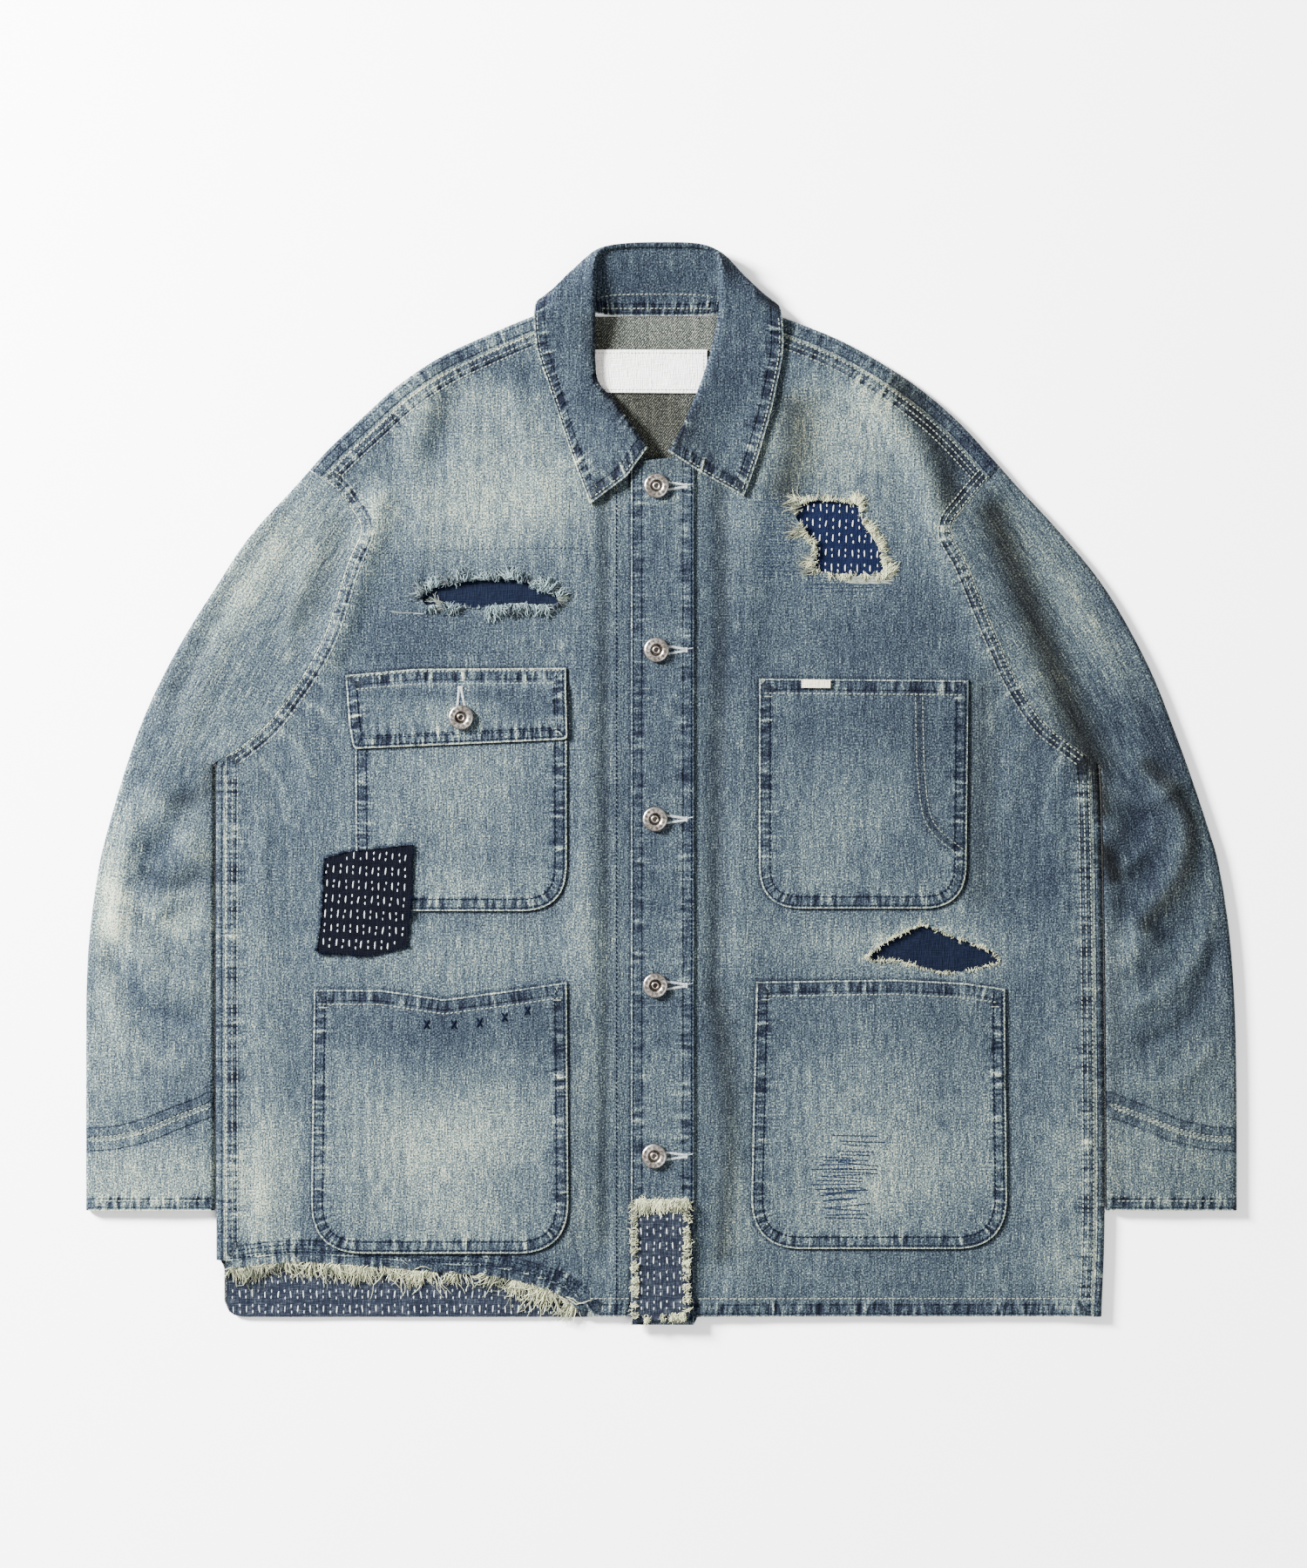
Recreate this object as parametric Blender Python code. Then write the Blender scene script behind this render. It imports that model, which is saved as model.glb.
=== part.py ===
"""A patched work jacket laid flat on its back, front up: cloth walls, patches, cut rips, fringe and buttons.

Sizes are in millimetres and become metres when a mesh is made. X runs to the wearer's left, Y to the collar,
Z up from the surface that the jacket lies on. Right and left in names are the wearer's.
"""

import math

import bmesh
import bpy
import numpy as np
from mathutils.geometry import delaunay_2d_cdt

METRES = 0.001

# Cloth
CLOTH = 1.2  # one layer of denim
COLLAR_CLOTH = 2.0  # the collar is sewn from two layers
LABEL_CLOTH = 1.0
SEAM_GAP = 0.4  # between two pieces that meet at a seam
LABEL_GAP = 0.3  # between the back and the label on it
LAYER = 1.55  # from the middle of one layer to the middle of the one on it
BACKING_DROP = 1.7  # from the middle of a front to the middle of the cloth sewn behind it
FLOOR_LAYER = CLOTH / 2  # middle of the cloth that lies on the surface

# Heights of the front layer
FRONT_LOW = 4.2
FOLD_TOP = 5.7  # middle of the top layer where the body or a sleeve folds over
FOLD_INSET = (FOLD_TOP - FLOOR_LAYER) / 2 + CLOTH / 2  # a fold's reach past the flat cloth
SEAM_RISE_WIDTH = 17.0
SEAM_RISE_FLAT = 4.0  # stays at the fold's height this far from the seam
RIPPED_CORNER_RISE = 34.0  # up the side from the raw hem, which lies low
UNDERLAP_FALL = (3.0, 22.0)  # where the left front comes down beside the right front's edge, and over how far
SLEEVE_PUFF = 0.5
SLEEVE_FLANK = 1.6  # how fast the sleeve's folds grow inward from its edges
SLEEVE_BLEND = 55.0  # how far from the armhole the sleeve takes its own height

# Spacing of the points
EDGE_STEP = 16.0
RAW_STEP = 14.0
RIP_STEP = 4.0
FRONT_STEP = 27.0
SLEEVE_STEP = 26.0
FLOOR_STEP = 75.0
CURVE_STEP = 20.0  # along armholes, the neck and small patches
SHOULDER_STEP = 22.0
SIDE_STEP = 34.0
STRAIGHT_STEP = 30.0
FLOOR_EDGE_STEP = 40.0
SMALL_ROUND = 10.0  # a corner with a smaller radius takes fewer points
FOLD_ANGLES = (0, 45, 90, 135, 180)  # degrees round a side fold, from the floor layer to the top one
EDGE_CLEARANCE = 0.42  # share of a step that inner points keep from every edge
CENTRAL_REACH = 1.0  # to each side, where a surface's slope is measured
MERGED = 0.5  # outline points nearer than this are one
CUT_POINT_GAP = 2.0  # a line's points nearer than this to where it is cut are left out

# Outline of the body, counter-clockwise from the wearer's left hem corner
HEM_Y = -386.0
SIDE_LEFT = [(319.0, -386.0), (321.4, -307.0), (320.4, -139.0), (318.6, -27.0), (317.0, 13.0)]
ARMHOLE_LEFT = [
    (317.0, 14.0), (294.1, 31.5), (276.4, 46.7), (258.7, 74.1), (245.9, 101.4),
    (236.3, 123.9), (221.8, 159.3), (210.0, 184.1), (220.9, 201.5), (232.9, 216.0), (245.4, 229.6),
]
SHOULDER_LEFT = [
    (245.4, 229.9), (214.8, 263.0), (184.7, 288.4), (153.3, 308.8), (124.4, 324.0), (88.2, 338.2), (62.0, 348.0),
]
SHOULDER_RIGHT = [
    (-62.0, 350.0), (-92.9, 339.3), (-125.0, 326.0), (-161.5, 308.8), (-191.6, 288.4), (-215.8, 266.6),
    (-240.0, 244.0), (-255.0, 227.7),
]
ARMHOLE_RIGHT = [
    (-255.0, 227.7), (-244.7, 220.8), (-235.0, 213.0), (-225.5, 200.3), (-217.5, 184.3), (-227.8, 158.1),
    (-241.9, 113.1), (-253.5, 89.0), (-267.7, 67.2), (-283.6, 45.9), (-301.3, 30.0), (-322.6, 15.5),
]
SIDE_RIGHT = [(-322.6, 15.5), (-323.0, -120.0), (-322.6, -345.0)]
BACK_NECK = [(42.0, 339.0), (-48.0, 339.0)]
SIDE_SEAM_DEPTH = 6.8  # from the side fold in to its seam, on the front
SHOULDER_SEAM_DEPTH = 11.8
CUT_SIDE_LEFT = (1.0, -0.76)  # directions of the armhole seam where it crosses the folds
CUT_SIDE_RIGHT = (-1.0, -0.68)
CUT_SHOULDER_RIGHT = (-0.84, 0.56)
HEM_CORNER = [(-317.0, -352.0), (-317.0, -375.0), (-313.5, -383.0), (-304.0, -386.5)]

# Front edges
PLACKET_EDGE = -22.0
PLACKET_SEAM = 23.3
PLACKET_TOP = 233.0
PLACKET_BOTTOM = -391.5
UNDERLAP_EDGE = 20.0
NECK_LEFT = [(52.0, 339.0), (50.0, 312.0), (41.0, 284.0), (30.0, 262.0), (17.0, 244.0), (8.0, 236.5)]
NECK_RIGHT = [(-14.0, 237.5), (-24.0, 249.0), (-39.0, 269.0), (-53.0, 290.0), (-58.0, 314.0), (-58.0, 341.0)]
HEM_CUT = [(-56.0, -386.0), (-50.0, -386.0)]  # where the raw edge ends at the hem
NECK_CUT = [(-14.0, 236.0), (-13.0, 240.0)]  # where the neck ends at the front edge
WAIST = [(200.0, -200.0), (400.0, -200.0)]
RAW_HEM = [
    (-316.0, -351.7), (-269.4, -346.4), (-226.8, -348.5), (-162.9, -353.7), (-120.3, -356.9), (-88.3, -364.5),
    (-69.2, -373.0), (-56.4, -386.0),
]

# Sleeves: outer fold from the shoulder to the cuff's edge, and the cuff seam from the outer fold inwards
SLEEVE_OUTER_LEFT = [
    (245.4, 229.9), (289.3, 181.8), (318.2, 146.5), (339.0, 112.6), (356.8, 77.3), (371.3, 40.3), (384.1, 5.0),
    (396.9, -33.6), (404.1, -59.3), (411.6, -107.0), (415.6, -161.3), (417.0, -226.4), (417.0, -309.0),
]
SLEEVE_OUTER_RIGHT = [
    (-255.0, 227.7), (-297.7, 180.3), (-322.6, 143.3), (-347.1, 104.3), (-368.4, 63.6), (-384.0, 24.7),
    (-398.5, -23.0), (-407.4, -58.3), (-414.0, -104.9), (-416.6, -144.0), (-417.0, -204.4), (-417.0, -309.0),
]
SLEEVE_CLEARANCE = 0.8  # between the body's side and the sleeve's inner fold
CUFF_SEAM = [(417.0, -257.8), (397.0, -256.7), (373.6, -251.3), (352.0, -242.6), (323.0, -231.8)]
CUFF_END = [(-500.0, -309.0), (500.0, -309.0)]

# Folds of the cloth: height, width, points. A trough has a negative height.
BODY_FOLDS = [
    (3.6, 11.0, [(148.6, 285.9), (163.0, 269.1), (184.7, 241.4), (194.9, 213.6), (200.0, 192.0)]),
    (-1.6, 12.0, [(176.0, 283.0), (200.0, 250.0), (216.0, 222.0)]),
    (-1.8, 10.0, [(-149.5, 292.0), (-156.0, 268.0), (-161.5, 240.0)]),
    (2.0, 12.0, [(-172.0, 280.0), (-180.0, 246.0)]),
    (3.4, 10.0, [(-205.0, 205.0), (-209.0, 184.3), (-219.0, 155.0), (-233.0, 112.0), (-242.0, 92.0)]),
    (2.0, 13.0, [(209.0, 168.0), (222.0, 132.0), (238.0, 95.0)]),
    (1.3, 16.0, [(-294.0, -40.0), (-291.0, -180.0), (-287.0, -330.0)]),
    (1.2, 16.0, [(290.0, -40.0), (292.0, -180.0), (290.0, -350.0)]),
    (1.6, 15.0, [(-57.0, 60.0), (-57.0, 0.0), (-56.0, -200.0), (-55.0, -310.0)]),
    (1.6, 15.0, [(60.0, 190.0), (56.0, 0.0), (56.0, -200.0), (54.0, -370.0)]),
]
SLEEVE_FOLDS = [
    (3.2, 11.0, [(334.3, 21.1), (366.4, -3.1), (381.0, -30.0), (373.6, -74.5), (358.5, -91.9), (336.8, -126.6)]),
    (-2.4, 13.0, [(346.0, -22.0), (352.0, -60.0)]),
    (2.4, 12.0, [(-383.3, -20.3), (-394.0, -60.0), (-399.0, -100.5)]),
    (-2.2, 11.0, [(-341.0, -10.0), (-366.0, -50.0)]),
    (2.8, 10.0, [(-362.0, -26.0), (-345.0, -37.0), (-332.0, -48.0)]),
    (2.2, 12.0, [(-392.0, -100.0), (-363.0, -137.0), (-336.0, -148.0)]),
]

# Pockets, flap and patches, as corners and corner radii
POCKET_CHEST_RIGHT = [(-222.0, 68.0, 0), (-221.0, -91.9, 33), (-68.5, -91.9, 33), (-68.5, 68.0, 0)]
FLAP_CHEST_RIGHT = [
    (-228.9, 78.8, 0), (-225.8, 42.1, 0), (-222.8, 25.5, 3), (-141.8, 29.1, 0), (-67.8, 32.4, 3), (-69.3, 84.1, 0),
    (-178.5, 83.3, 0),
]
POCKET_HIP_RIGHT = [
    (-251.5, -149.0, 0), (-254.0, -340.0, 38), (-67.0, -340.0, 38), (-68.5, -143.6, 0), (-111.3, -149.9, 0),
    (-157.1, -155.9, 0), (-202.9, -149.2, 0),
]
POCKET_CHEST_LEFT = [(70.8, 76.3, 0), (70.5, -90.1, 31), (220.5, -90.1, 31), (222.2, 75.0, 0)]
POCKET_HIP_LEFT = [
    (68.7, -143.3, 0), (64.2, -336.6, 38), (250.5, -336.6, 38), (248.5, -148.4, 0), (219.9, -144.2, 0),
    (169.2, -141.7, 0),
]
POCKET_TAB = [(101.4, 75.6, 0), (101.4, 69.7, 0), (122.2, 69.5, 0), (122.2, 75.4, 0)]
PATCH_POCKET = [
    (-227.4, -49.2, 0), (-244.1, -53.9, 0), (-245.7, -91.9, 0), (-249.5, -121.7, 2), (-211.3, -124.3, 0),
    (-184.6, -117.9, 2), (-181.5, -85.8, 0), (-180.0, -43.8, 0),
]
PATCH_PLACKET = [(-21.6, -300.4, 0), (-20.8, -389.6, 2), (20.4, -387.0, 2), (20.0, -303.0, 0), (12.8, -300.8, 0)]
PATCH_HEM = [
    (-315.2, -332.0, 0), (-315.2, -386.4, 12), (-52.0, -386.4, 0), (-52.0, -350.0, 0), (-120.0, -336.0, 0),
]
PATCH_FALL = 8.0  # how far outside a pocket the cloth on it comes down to the front
MOUTH_BAND = 8.0  # hem of a pocket's mouth
MOUTH_DEPTH = 45.0  # how far down a mouth's gape reaches
POCKET_GAPE = 1.6  # how far a pocket's mouth stands up in the middle

# Rips, cut through the fronts, and the cloth sewn behind them
RIP_CHEST_RIGHT = [
    (-174.6, 136.0), (-169.3, 141.4), (-147.9, 146.7), (-126.6, 148.4), (-103.6, 148.4), (-88.4, 141.4),
    (-67.0, 133.7), (-80.8, 129.2), (-103.6, 129.9), (-134.2, 127.6), (-157.1, 129.9), (-169.3, 128.4),
]
RIP_CHEST_LEFT = [
    (94.1, 200.8), (110.8, 205.8), (138.2, 204.4), (144.0, 201.5), (145.5, 189.9), (152.7, 181.3), (158.5, 169.7),
    (160.7, 158.1), (164.2, 152.3), (139.7, 151.5), (119.4, 153.0), (110.8, 155.9), (112.1, 171.0), (102.1, 185.5),
]
RIP_WAIST_LEFT = [
    (148.1, -125.7), (160.7, -115.6), (175.9, -107.1), (188.6, -102.0), (202.9, -107.1), (219.8, -113.7),
    (238.3, -120.6), (245.1, -129.0), (228.2, -134.1), (206.3, -137.5), (186.0, -132.4), (169.2, -127.3),
    (152.3, -128.2),
]
BACKING_CHEST_RIGHT = [(-194.0, 166.0, 3), (-194.0, 98.0, 3), (-59.0, 98.0, 3), (-59.0, 167.0, 3)]
BACKING_CHEST_LEFT = [(80.0, 214.0, 3), (94.0, 140.0, 3), (176.0, 140.0, 3), (166.0, 214.0, 3)]
BACKING_WAIST_LEFT = [(138.0, -92.0, 3), (138.0, -150.0, 3), (254.0, -150.0, 3), (254.0, -92.0, 3)]

# Fringe: four-sided locks drawn out of a thin strip
PLACKET_FRINGE = [(18.0, -303.5), (-20.0, -303.5)]
LOCK_LENGTHS = (0.65, 1.1)  # shares of the fringe's reach
LOCK_LEAN = 0.32
LOCK_MIDDLE = 0.55  # share of a lock's length at which it starts to taper
LOCK_NARROWING = 0.8
LOCK_LIFT = 0.15
LOCK_FILL = 0.62  # a lock's share of its pitch at the root
STRIP_HEIGHT = 0.7
STRIP_DEPTH = 1.2
STRIP_OFF_EDGE = 0.6
ON_CLOTH = CLOTH / 2 + STRIP_HEIGHT / 2 + 0.35  # middle of a strip that lies on a layer

# Collar stations from the wearer's right front end to the centre back, then the left ones back to the front.
# Each has the neck seam, the roll, the middle and the outer edge of the fall, as x, y. A station on the fronts
# takes its heights from the cloth under it, and one behind the neck has them given.
COLLAR_RIGHT_FRONT = [
    ((-13.6, 240.0), (-10.5, 242.9), (-25.0, 222.5), (-51.7, 202.8)),
    ((-20.0, 247.0), (-17.0, 252.5), (-36.0, 232.0), (-56.0, 214.5)),
    ((-29.0, 258.5), (-25.8, 264.5), (-45.0, 246.0), (-61.5, 229.0)),
    ((-40.0, 273.0), (-36.5, 279.0), (-54.0, 262.0), (-67.5, 246.0)),
    ((-51.5, 289.0), (-46.5, 291.0), (-62.0, 280.0), (-75.0, 268.5)),
    ((-56.5, 312.0), (-48.8, 306.0), (-67.0, 300.0), (-82.5, 291.0)),
    ((-57.0, 328.0), (-48.7, 320.0), (-71.0, 318.0), (-90.0, 314.0)),
]
COLLAR_LEFT_FRONT = [
    ((7.5, 238.5), (5.7, 240.3), (30.0, 224.5), (59.5, 208.4)),
    ((13.0, 244.5), (9.5, 247.0), (36.0, 234.0), (64.0, 220.0)),
    ((20.5, 254.5), (15.5, 257.5), (43.0, 246.0), (69.5, 235.6)),
    ((29.5, 268.0), (21.0, 270.0), (48.0, 260.0), (74.0, 251.0)),
    ((38.0, 284.0), (27.3, 284.8), (54.0, 276.0), (79.0, 268.5)),
    ((46.5, 306.0), (33.5, 303.0), (59.0, 298.0), (84.0, 291.0)),
    ((50.0, 325.0), (38.5, 321.0), (63.0, 318.0), (88.0, 314.0)),
]
COLLAR_RIGHT_BACK = [
    ((-57.0, 342.5, 6.2), (-48.6, 341.0, 10.2), (-74.0, 347.5, 11.8), (-92.0, 341.2, 9.6)),
    ((-54.0, 344.5, 3.6), (-48.5, 358.0, 12.5), (-73.5, 361.0, 11.0), (-86.0, 352.5, 1.5)),
    ((-47.0, 342.0, 1.6), (-47.5, 374.0, 14.5), (-61.5, 373.5, 9.5), (-66.0, 356.0, 1.5)),
    ((-36.0, 340.2, 1.3), (-42.0, 385.0, 15.5), (-47.0, 386.0, 8.5), (-44.0, 357.0, 1.5)),
    ((-20.0, 339.8, 1.25), (-25.0, 388.0, 16.0), (-27.0, 390.4, 8.2), (-24.0, 355.0, 1.5)),
]
COLLAR_CENTRE_BACK = ((-2.0, 339.8, 1.25), (-1.5, 388.5, 16.0), (-1.5, 390.5, 8.2), (-1.5, 355.0, 1.5))
COLLAR_LEFT_BACK = [
    ((50.0, 341.5, 6.2), (42.2, 341.0, 10.2), (67.0, 345.5, 11.8), (87.0, 336.5, 9.6)),
    ((48.0, 343.5, 3.6), (43.0, 358.0, 12.5), (67.5, 358.0, 11.0), (82.0, 348.8, 1.5)),
    ((42.0, 341.4, 1.6), (42.6, 372.0, 14.5), (56.5, 370.0, 9.5), (62.0, 354.0, 1.5)),
    ((32.0, 340.2, 1.3), (38.5, 384.0, 15.5), (44.0, 383.5, 8.5), (40.0, 357.0, 1.5)),
    ((18.0, 339.8, 1.25), (24.0, 388.0, 16.0), (26.0, 390.4, 8.2), (22.0, 355.0, 1.5)),
]
LEAF_LIFT = 3.2  # middle of the leaf above the middle of the front, at the roll
LEAF_REST = 2.1  # the same at its outer edge
ROLL_UNDER = (1.3, -1.5)  # where the stand ends below the roll: towards the fall, and up
ROLL_ABOVE = (1.6, 0.9)  # where the fall starts above it
STACK_RIGHT = (-38.0, 12.0)  # where the left front starts to lie under the right leaf, and over how far it rises
STACK_LEFT = (40.0, 12.0)
SECTION_STAND = 2  # spans of the stand, and of each half of the fall
SECTION_FALL = 2

# Label, and the buttons as centre x, y
NECK_LABEL = [(-52.0, 315.0, 0), (-52.0, 284.0, 0), (33.0, 283.5, 0), (33.0, 315.0, 0)]
BUTTON_RADIUS = 9.0
BUTTON_HEIGHT = 3.0
BUTTON_SIDES = 18
BUTTON_PROFILE = [(0.93, 0.0), (1.0, 0.45), (0.8, 1.0), (0.5, 0.75), (0.46, 0.35)]  # shares of radius, height
BUTTON_MIDDLE = 0.6  # height of the rivet, as a share of the button's
BUTTON_CENTRES = [(-3.5, 215.8), (-3.6, 97.0), (-4.6, -25.5), (-4.4, -145.8), (-5.2, -269.3)]
FLAP_BUTTON_CENTRE = (-144.9, 48.2)
BUTTON_OFF_CLOTH = 0.35

DENIM = (0.165, 0.25, 0.34)
FADED_DENIM = (0.30, 0.39, 0.42)
SASHIKO_NAVY = (0.012, 0.018, 0.055)
FRAYED_COTTON = (0.56, 0.58, 0.48)
LABEL_WHITE = (0.82, 0.80, 0.75)
BUTTON_METAL = (0.55, 0.48, 0.42)


def clear_scene():
    for obj in list(bpy.data.objects):
        bpy.data.objects.remove(obj, do_unlink=True)


def material(name, colour, roughness=0.9, metallic=0.0):
    made = bpy.data.materials.new(name)
    made.use_nodes = True
    shader = made.node_tree.nodes["Principled BSDF"]
    shader.inputs["Base Color"].default_value = (*colour, 1.0)
    shader.inputs["Roughness"].default_value = roughness
    shader.inputs["Metallic"].default_value = metallic
    return made


# Lines in the plane


def smooth(points, step=EDGE_STEP):
    """Points about a step apart on a curve through the given ones."""
    given = np.array(points, float)
    padded = np.vstack([2 * given[0] - given[1], given, 2 * given[-1] - given[-2]])
    made = [given[0]]
    for i in range(len(given) - 1):
        before, start, end, after = padded[i : i + 4]
        count = max(1, round(float(np.linalg.norm(end - start)) / step))
        for t in np.arange(1, count + 1) / count:
            bend = 2 * start + (end - before) * t
            bend = bend + (2 * before - 5 * start + 4 * end - after) * t * t
            made.append((bend + (3 * start - before - 3 * end + after) * t**3) / 2)
    return np.array(made)


def straight(points, step=EDGE_STEP):
    made = [np.array(points[0], float)]
    for start, end in zip(points, points[1:]):
        start, end = np.array(start, float), np.array(end, float)
        count = max(1, round(float(np.linalg.norm(end - start)) / step))
        made += [start + (end - start) * k / count for k in range(1, count + 1)]
    return np.array(made)


def rounded(corners, step=EDGE_STEP):
    """A closed outline from corners that each carry a radius."""
    made = []
    for i, (x, y, radius) in enumerate(corners):
        corner = np.array((x, y), float)
        if not radius:
            made.append(corner)
            continue
        before = np.array(corners[i - 1][:2], float) - corner
        after = np.array(corners[(i + 1) % len(corners)][:2], float) - corner
        before /= np.linalg.norm(before)
        after /= np.linalg.norm(after)
        for t in np.linspace(0, 1, 3 if radius < SMALL_ROUND else 5):
            made.append(corner + before * radius * (1 - t) ** 2 + after * radius * t**2)
    return straight([*made, made[0]], step)[:-1]


def offset(line, distance):
    """The line moved to its left."""
    ahead = np.vstack([line[1:] - line[:-1], line[-1:] - line[-2:-1]])
    behind = np.vstack([ahead[:1], ahead[:-1]])
    ahead = ahead / np.linalg.norm(ahead, axis=1)[:, None]
    behind = behind / np.linalg.norm(behind, axis=1)[:, None]
    along = ahead + behind
    along /= np.linalg.norm(along, axis=1)[:, None]
    return line + np.column_stack([-along[:, 1], along[:, 0]]) * distance


def joined(*lines):
    """One closed outline from lines end to end, without doubled points."""
    points = []
    for line in lines:
        for point in np.asarray(line, float):
            if not points or np.hypot(*(point - points[-1])) > MERGED:
                points.append(point)
    while np.hypot(*(points[0] - points[-1])) < MERGED:
        points.pop()
    return np.array(points)


def distance_to(line, x, y):
    """Distance of each point x, y from an open line."""
    line = np.asarray(line, float)
    spots = np.stack([np.asarray(x, float), np.asarray(y, float)], axis=-1)
    best = np.full(spots.shape[:-1], np.inf)
    for start, end in zip(line, line[1:]):
        span = end - start
        share = np.clip(((spots - start) @ span) / max(span @ span, 1e-9), 0, 1)
        away = np.linalg.norm(spots - start - share[..., None] * span, axis=-1)
        best = np.minimum(best, away)
    return best


def inside(outline, x, y):
    hit = np.zeros(np.shape(x), bool)
    for (x0, y0), (x1, y1) in zip(outline, np.roll(outline, -1, axis=0)):
        crosses = (y0 > y) != (y1 > y)
        if y1 != y0:
            hit ^= crosses & (x < (x1 - x0) * (y - y0) / (y1 - y0) + x0)
    return hit


def extended(line, reach=40.0):
    """An open line made longer at both ends."""
    line = np.asarray(line, float)
    before, after = line[0] - line[1], line[-1] - line[-2]
    before, after = before / np.linalg.norm(before), after / np.linalg.norm(after)
    return np.vstack([line[0] + before * reach, line, line[-1] + after * reach])


def crossing(line, other):
    """The span of a line that first crosses another line, and where."""
    for k, (start, end) in enumerate(zip(line, line[1:])):
        for low, high in zip(other, other[1:]):
            span, across, away = end - start, high - low, low - start
            turn = span[0] * across[1] - span[1] * across[0]
            if abs(turn) < 1e-9:
                continue
            share = (away[0] * across[1] - away[1] * across[0]) / turn
            other_share = (away[0] * span[1] - away[1] * span[0]) / turn
            if 0 <= share <= 1 and 0 <= other_share <= 1:
                return k, start + span * share
    raise ValueError("the lines do not cross")


def between(line, first, second):
    """The stretch of a line from one crossing line to another, in the line's own direction."""
    line = extended(line)
    ends = [crossing(line, extended(other)) for other in (first, second)]
    (first_span, start), (last_span, end) = sorted(ends, key=lambda found: found[0])
    middle = line[first_span + 1 : last_span + 1]
    apart = np.minimum(np.linalg.norm(middle - start, axis=1), np.linalg.norm(middle - end, axis=1))
    return np.array([start, *middle[apart > CUT_POINT_GAP], end])


def step_up(value):
    """0 below 0, 1 above 1, and a soft rise between."""
    share = np.clip(value, 0, 1)
    return share * share * (3 - 2 * share)


# The jacket's own lines

side_left = smooth(SIDE_LEFT, SIDE_STEP)
side_right = smooth(SIDE_RIGHT, SIDE_STEP)
shoulder_left = smooth(SHOULDER_LEFT, SHOULDER_STEP)
shoulder_right = smooth(SHOULDER_RIGHT, SHOULDER_STEP)
armhole_left = smooth(ARMHOLE_LEFT, CURVE_STEP)
armhole_right = smooth(ARMHOLE_RIGHT, CURVE_STEP)
SEAMS_ON_FRONT = [
    offset(side_left, SIDE_SEAM_DEPTH),
    offset(side_right, SIDE_SEAM_DEPTH),
    offset(shoulder_left, SHOULDER_SEAM_DEPTH),
    offset(shoulder_right, SHOULDER_SEAM_DEPTH),
]


# Heights


def folds_at(folds, x, y):
    total = np.zeros(np.shape(x))
    for height, width, points in folds:
        total = total + height * np.exp(-((distance_to(points, x, y) / width) ** 2))
    return total


def front_height(x, y):
    """Middle of the front's cloth. It rises to the folds at the sides and shoulders."""
    x, y = np.asarray(x, float), np.asarray(y, float)
    rise = np.zeros(np.shape(x))
    for seam in SEAMS_ON_FRONT:
        away = np.maximum(distance_to(seam, x, y) - SEAM_RISE_FLAT, 0)
        rise = np.maximum(rise, np.exp(-((away / SEAM_RISE_WIDTH) ** 2)))
    ripped_corner = np.where(x < 0, step_up((y - HEM_Y) / RIPPED_CORNER_RISE), 1.0)
    level = FRONT_LOW + (FOLD_TOP - FRONT_LOW) * rise * ripped_corner
    return level + (1 - rise) * folds_at(BODY_FOLDS, x, y)


def left_front_height(x, y):
    """The left front lies on the right front's edge under the placket."""
    start, width = UNDERLAP_FALL
    past_edge = np.asarray(x, float) - UNDERLAP_EDGE
    return front_height(x, y) + LAYER * (1 - step_up((past_edge - start) / width))


def moved_out(height, x, y, away):
    """Points of a surface moved along its normal."""
    x, y, away = np.asarray(x, float), np.asarray(y, float), np.asarray(away, float)
    reach = CENTRAL_REACH
    slope_x = (height(x + reach, y) - height(x - reach, y)) / (2 * reach)
    slope_y = (height(x, y + reach) - height(x, y - reach)) / (2 * reach)
    length = np.sqrt(slope_x**2 + slope_y**2 + 1)
    return np.column_stack(
        [x - slope_x / length * away, y - slope_y / length * away, height(x, y) + away / length]
    )


# Meshes


def triangulated(outline, step, holes=(), lines=()):
    """Points and triangles of a region, with a staggered grid of points inside and lines kept as edges."""
    loops = [outline, *holes, *lines]
    spots, edges = [], []
    for loop in loops:
        first = len(spots)
        spots += [tuple(map(float, point)) for point in loop]
        edges += [(first + k, first + (k + 1) % len(loop)) for k in range(len(loop))]
    low, high = outline.min(axis=0), outline.max(axis=0)
    for row, y in enumerate(np.arange(low[1] + step / 2, high[1], step * math.sin(math.radians(60)))):
        x = np.arange(low[0] + step * (0.5 if row % 2 else 1.0), high[0], step)
        y = np.full(len(x), y)
        keep = inside(outline, x, y)
        for hole in holes:
            keep &= ~inside(hole, x, y)
        for loop in loops:
            keep &= distance_to(np.vstack([loop, loop[:1]]), x, y) > EDGE_CLEARANCE * step
        spots += list(zip(x[keep].tolist(), y[keep].tolist()))
    points, _, faces, *_ = delaunay_2d_cdt(spots, edges, [], 0, 1e-4)
    points = np.array([tuple(point) for point in points])
    faces = np.array(faces)
    centre = points[faces].mean(axis=1)
    keep = inside(outline, centre[:, 0], centre[:, 1])
    for hole in holes:
        keep &= ~inside(hole, centre[:, 0], centre[:, 1])
    return points, faces[keep]


def only_used(points, faces):
    used, index = np.unique(faces, return_inverse=True)
    return points[used], index.reshape(faces.shape)


def make_object(name, points, faces, finish):
    mesh = bpy.data.meshes.new(name)
    faces = [tuple(int(i) for i in face) for face in faces]
    mesh.from_pydata([tuple(float(v) * METRES for v in point) for point in points], [], faces)
    work = bmesh.new()
    work.from_mesh(mesh)
    bmesh.ops.recalc_face_normals(work, faces=work.faces)
    work.to_mesh(mesh)
    work.free()
    mesh.materials.append(finish)
    mesh.shade_smooth()
    mesh.set_sharp_from_angle(angle=math.radians(40))
    obj = bpy.data.objects.new(name, mesh)
    bpy.context.scene.collection.objects.link(obj)
    return obj


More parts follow.
